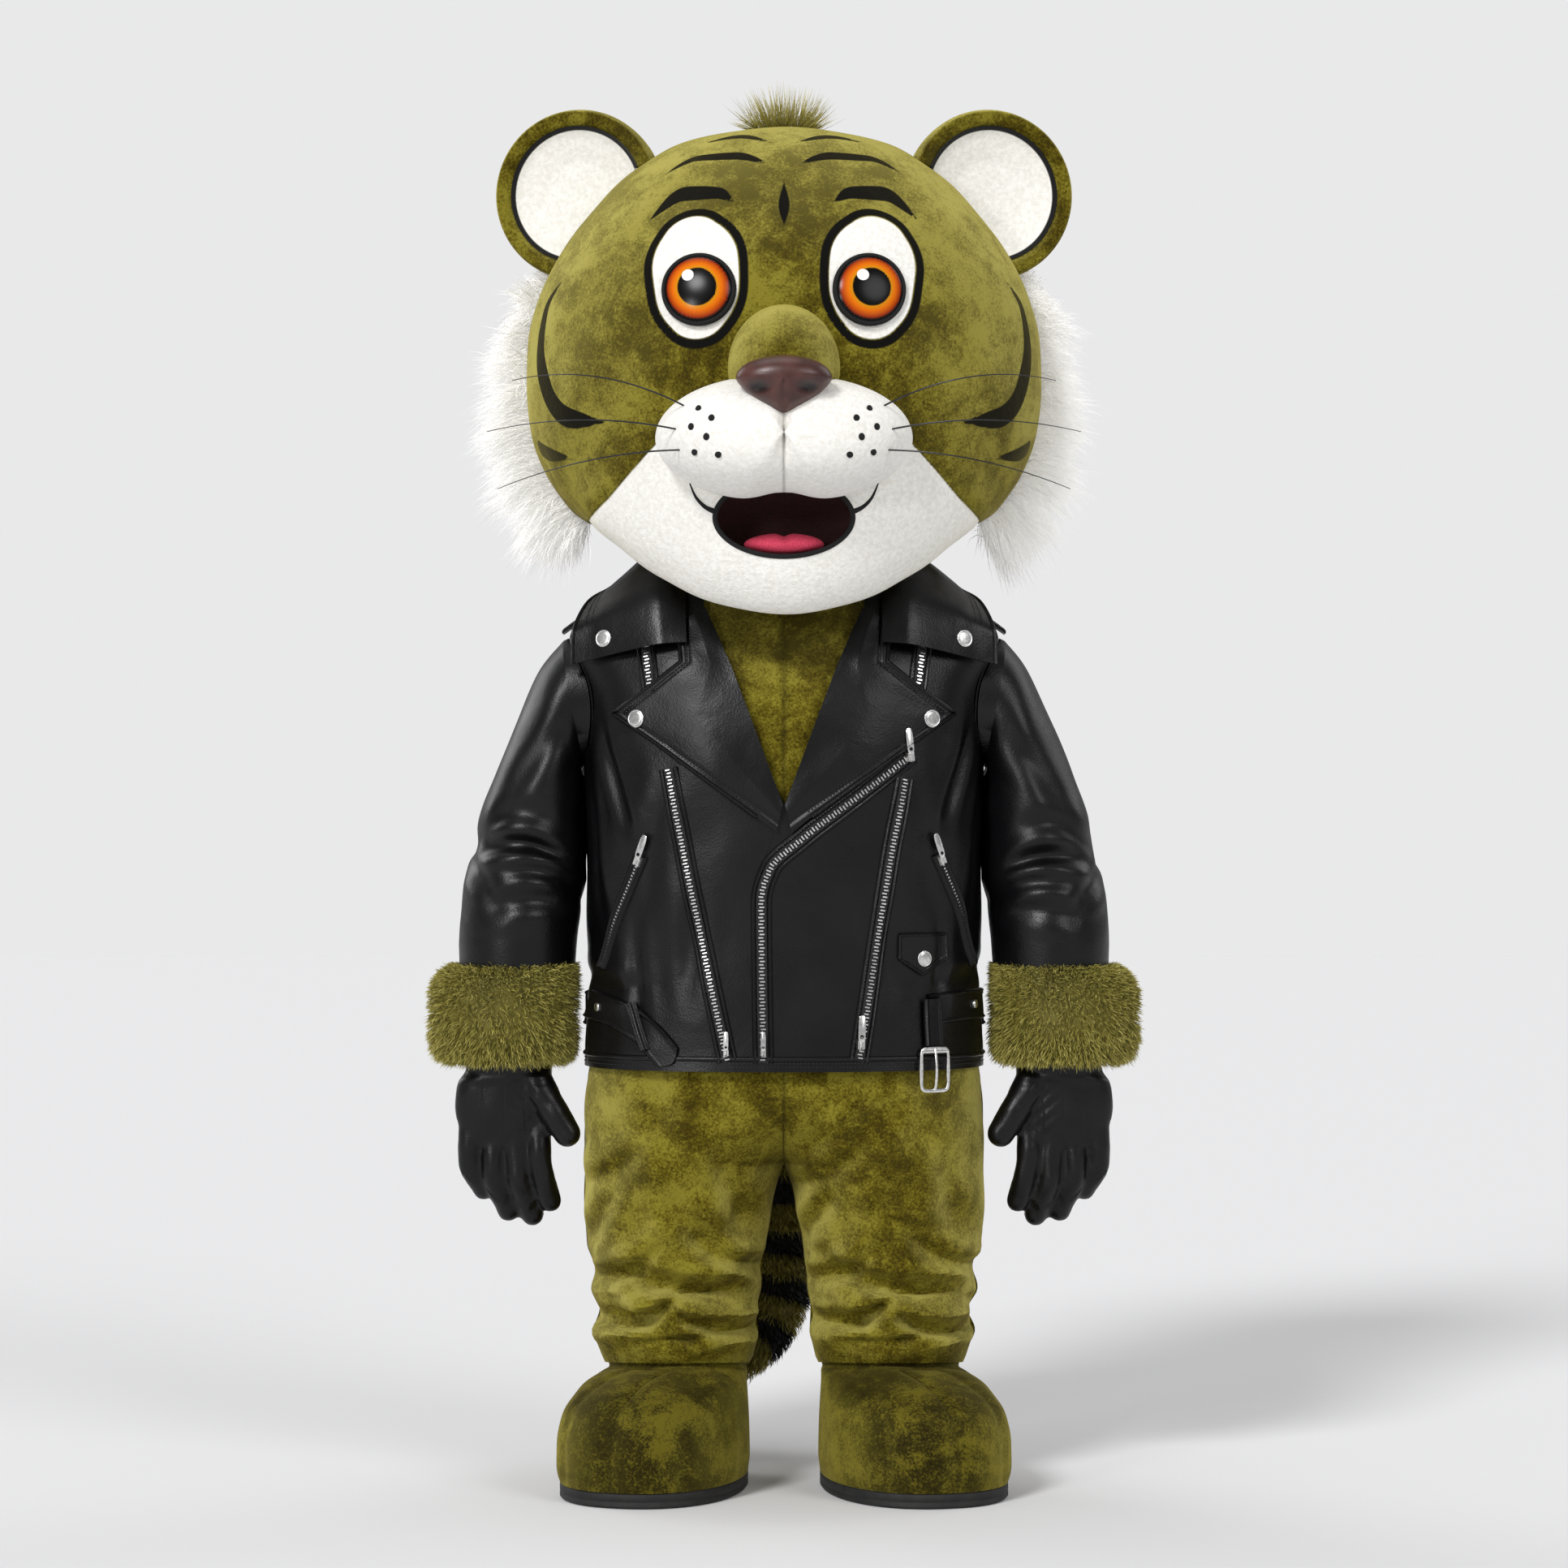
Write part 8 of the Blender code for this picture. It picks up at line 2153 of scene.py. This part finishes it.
BUCKLE = {"place": (0.210, 0.608), "lift": 0.0075, "half": (0.023, 0.030), "wire": 0.003, "prong": 0.0022}
centre = on_front(*BUCKLE["place"], BUCKLE["lift"])
across = unit(on_front(BUCKLE["place"][0] + 0.002, BUCKLE["place"][1], BUCKLE["lift"]) - centre)
up = np.array((0.0, 0.0, 1.0))
out = np.cross(across, up)
turns = round_turns(72)
frame_x = signed_power(np.cos(turns), 0.28) * BUCKLE["half"][0]
frame_z = signed_power(np.sin(turns), 0.28) * BUCKLE["half"][1]
frame_line = np.stack([frame_x, frame_z], 1)
wire = round_turns(12)
ring_in = unit(frame_line)
rings = []
for turn in wire:
    flat = frame_line + ring_in * BUCKLE["wire"] * signed_power(math.cos(turn), 0.7)
    lift = out * BUCKLE["wire"] * 0.8 * signed_power(math.sin(turn), 0.7)
    rings.append(centre + flat[:, :1] * across + flat[:, 1:] * up + lift)
parts = [(np.array(rings), quads(12, 72, True, True))]
t = np.linspace(-1.0, 1.0, 20)[:, None]
prong = centre + up * BUCKLE["half"][1] * t + out * (0.0042 * (1 - t**2) + 0.0008)
parts.append((tube(prong, np.full(20, BUCKLE["prong"]), 10), quads(20, 10, True)))
bar_line = centre + across * BUCKLE["half"][0] * t + up * BUCKLE["half"][1] * 0.86
parts.append((tube(bar_line, np.full(20, 0.0030), 10), quads(20, 10, True)))
buckle = piece_from("buckle_frame", *joined(parts), nickel)
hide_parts("buckle")
for name, sign in (("stud_belt_left", 1), ("stud_belt_right", -1)):
    turn = sign * math.radians(103)
    turn = turn if sign > 0 else turn + 4 * QUARTER
    at = (np.array([[middle]]), np.array([[turn]]))
    base = over_body(*at, LIFT + BELT_THICKNESS)[0, 0] + (0, SEAM_GAP / 2, 0)
    stud(name, base, torso_normals(*at)[0, 0], 0.0095)
for name, (x, z) in (("eyelet_belt_left", (0.268, 0.698)), ("eyelet_belt_right", (-0.262, 0.694))):
    stud(name, *seated(x, z, 2 * LIFT + BELT_THICKNESS), 0.0065)

for up in (0.0062, BELT_BACK_Z[1] - BELT_BACK_Z[0] - 0.0062):
    turns = np.linspace(QUARTER + 0.02, 3 * QUARTER - 0.02, 161)
    heights = np.full(161, BELT_BACK_Z[0] + up)
    outs = torso_normals(heights, turns)
    line = over_body(heights, turns, LIFT * 1.2 + BELT_THICKNESS) + (0, SEAM_GAP / 2, 0)
    threads += [stitch for stitch in row_of_stitches(line, outs) if abs(stitch[0][0, 0]) > 0.07 or up > 0.03]

# The ridges of the seams are the same leather, and the thread is black polyester, a little shiny.
ramp = ((0.3, "#151517"), (0.7, "#2c2c30"))
thread_finish = speckled("black_polyester_thread", 700.0, 2.0, ramp, 0.3, 0.0005, Roughness=0.4)
seam_ridges = piece_from("jacket_seam_ridges", *joined(ridges), leather, closed=False)
stitching = piece_from("jacket_stitching", *joined(threads), thread_finish, closed=False, sharp_degrees=60)

# ---------------------------------------------------------------- gloves
# Thin black leather gloves, cut in two with three rows of stitching on the back of the hand. They are
# filled out as on a hand, with creases where the fingers bend, and go up inside the fur cuffs.
FINGERS = {  # knuckle, middle and tip (x, y, z), and the radius at the first and the last
    "little": ((0.4535, -0.020, 0.536), (0.4575, -0.016, 0.470), (0.4370, 0.002, 0.424), 0.0178, 0.0162),
    "ring": ((0.4210, -0.022, 0.536), (0.4220, -0.022, 0.458), (0.4010, 0.002, 0.393), 0.0182, 0.0166),
    "middle": ((0.3890, -0.023, 0.536), (0.3865, -0.026, 0.455), (0.3660, 0.000, 0.387), 0.0182, 0.0168),
    "index": ((0.3565, -0.023, 0.536), (0.3530, -0.030, 0.466), (0.3395, -0.014, 0.408), 0.0180, 0.0166),
    "thumb": ((0.3680, -0.030, 0.600), (0.3400, -0.043, 0.552), (0.3130, -0.047, 0.508), 0.0250, 0.0200),
}
PALM = Table(
    "z x y half_x half_y",
    [
        (0.490, 0.405, -0.022, 0.050, 0.016),
        (0.512, 0.405, -0.022, 0.066, 0.023),
        (0.545, 0.407, -0.023, 0.071, 0.030),
        (0.580, 0.405, -0.023, 0.069, 0.034),
        (0.600, 0.399, -0.022, 0.0625, 0.040),
        (0.640, 0.396, -0.022, 0.066, 0.052),
        (0.690, 0.396, -0.022, 0.066, 0.052),
    ],
)
GLOVE_TOP, GLOVE_LEATHER, GLOVE_GRAIN = 0.690, 0.0018, 0.0038


def glove_parts():
    """The palm and the five fingers as closed forms that run into each other."""
    turns = round_turns(48)
    rings = []
    for z in np.linspace(0.490, GLOVE_TOP + 0.012, 40):
        sizes = PALM.at(z)
        x = sizes["x"] + sizes["half_x"] * np.cos(turns)
        rings.append(grid_of(x, sizes["y"] + sizes["half_y"] * np.sin(turns), z))
    parts = [(np.array(rings), quads(40, 48, True), 48)]
    for knuckle, middle, tip, wide, narrow in FINGERS.values():
        path = spaced([knuckle, middle, tip], 26)
        ahead = unit(path[-1] - path[-2])
        radii = np.linspace(wide, narrow, 26)
        at = np.linspace(0.0, 1.0, 26)
        radii *= 1 + 0.012 * np.sin(at * 40) * (at > 0.1) - 0.06 * bell(at - 0.5, 0.05)
        cap = np.linspace(0.15, 1.45, 8)
        path = np.vstack([path, [path[-1] + ahead * narrow * math.sin(a) * 0.95 for a in cap]])
        radii = np.append(radii, narrow * np.cos(cap))
        parts.append((tube(path, radii, 24), quads(34, 24, True), 24))
    return parts


work = bmesh.new()
for points, faces, columns in glove_parts():
    flat = points.reshape(-1, 3)
    corners = [work.verts.new(point) for point in flat]
    for face in faces:
        work.faces.new([corners[number] for number in face])
    work.faces.new(corners[:columns][::-1])
    work.faces.new(corners[-columns:])
bmesh.ops.recalc_face_normals(work, faces=work.faces)
rough = bpy.data.meshes.new("glove_rough")
work.to_mesh(rough)
work.free()
hand = bpy.data.objects.new("glove_rough", rough)
bpy.context.collection.objects.link(hand)
for kind, settings in (
    ("REMESH", {"mode": "VOXEL", "voxel_size": GLOVE_GRAIN}),
    ("SMOOTH", {"factor": 0.5, "iterations": 6}),
):
    step = hand.modifiers.new(kind.lower(), kind)
    for key, value in settings.items():
        setattr(step, key, value)
bpy.context.view_layer.update()
skin = bpy.data.meshes.new_from_object(hand.evaluated_get(bpy.context.evaluated_depsgraph_get()))
bpy.data.objects.remove(hand, do_unlink=True)
points = np.zeros(len(skin.vertices) * 3)
skin.vertices.foreach_get("co", points)
points = points.reshape(-1, 3)
faces = [tuple(face.vertices) for face in skin.polygons if points[list(face.vertices), 2].max() < GLOVE_TOP]
used = np.unique(np.concatenate([np.array(face) for face in faces]))
renumber = np.full(len(points), -1)
renumber[used] = np.arange(len(used))
faces = [[int(renumber[number]) for number in face] for face in faces]
points = points[used]
creased_by_thumb = np.exp(-(((points[:, 0] - 0.374) / 0.020) ** 2) - ((points[:, 2] - 0.545) / 0.034) ** 2)
waves = 0.0016 * np.sin((points[:, 2] - 0.8 * points[:, 0]) * 330) * creased_by_thumb
waves += 0.0012 * np.sin(points[:, 2] * 300 + 18 * points[:, 0]) * bell(points[:, 2] - 0.590, 0.012)
waves += 0.0013 * np.sin(points[:, 0] * 95 + 2) * np.sin(points[:, 2] * 78 + points[:, 0] * 30)
points[:, 1] += np.sign(points[:, 1] + 0.023) * waves
back_of_hand = np.clip((-0.030 - points[:, 1]) / 0.01, 0.0, 1.0)
back_of_hand = back_of_hand * np.clip((0.585 - points[:, 2]) / 0.01, 0.0, 1.0)
HAND_ROWS = ((0.373, 0.06), (0.405, 0.0), (0.437, -0.06))  # where each row of stitching runs, and its lean
rays = [np.abs(points[:, 0] - (at + (points[:, 2] - 0.52) * lean)) for at, lean in HAND_ROWS]
rays = np.min(rays, axis=0)
near = np.clip(SEAM_REACH - rays, 0.0, None) * (back_of_hand > 0.5) * (points[:, 2] > 0.505)
bpy.data.meshes.remove(skin)
for side, sign in (("left", 1), ("right", -1)):
    glove = piece_from(
        f"glove_leather_{side}", points * (sign, 1, 1), faces if sign > 0 else [face[::-1] for face in faces],
        leather, {"seam_near": near}, closed=False,
    )
    skin_wall = glove.modifiers.new("thickness", "SOLIDIFY")
    skin_wall.thickness, skin_wall.offset = GLOVE_LEATHER, -1.0
    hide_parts(f"glove_{side}")
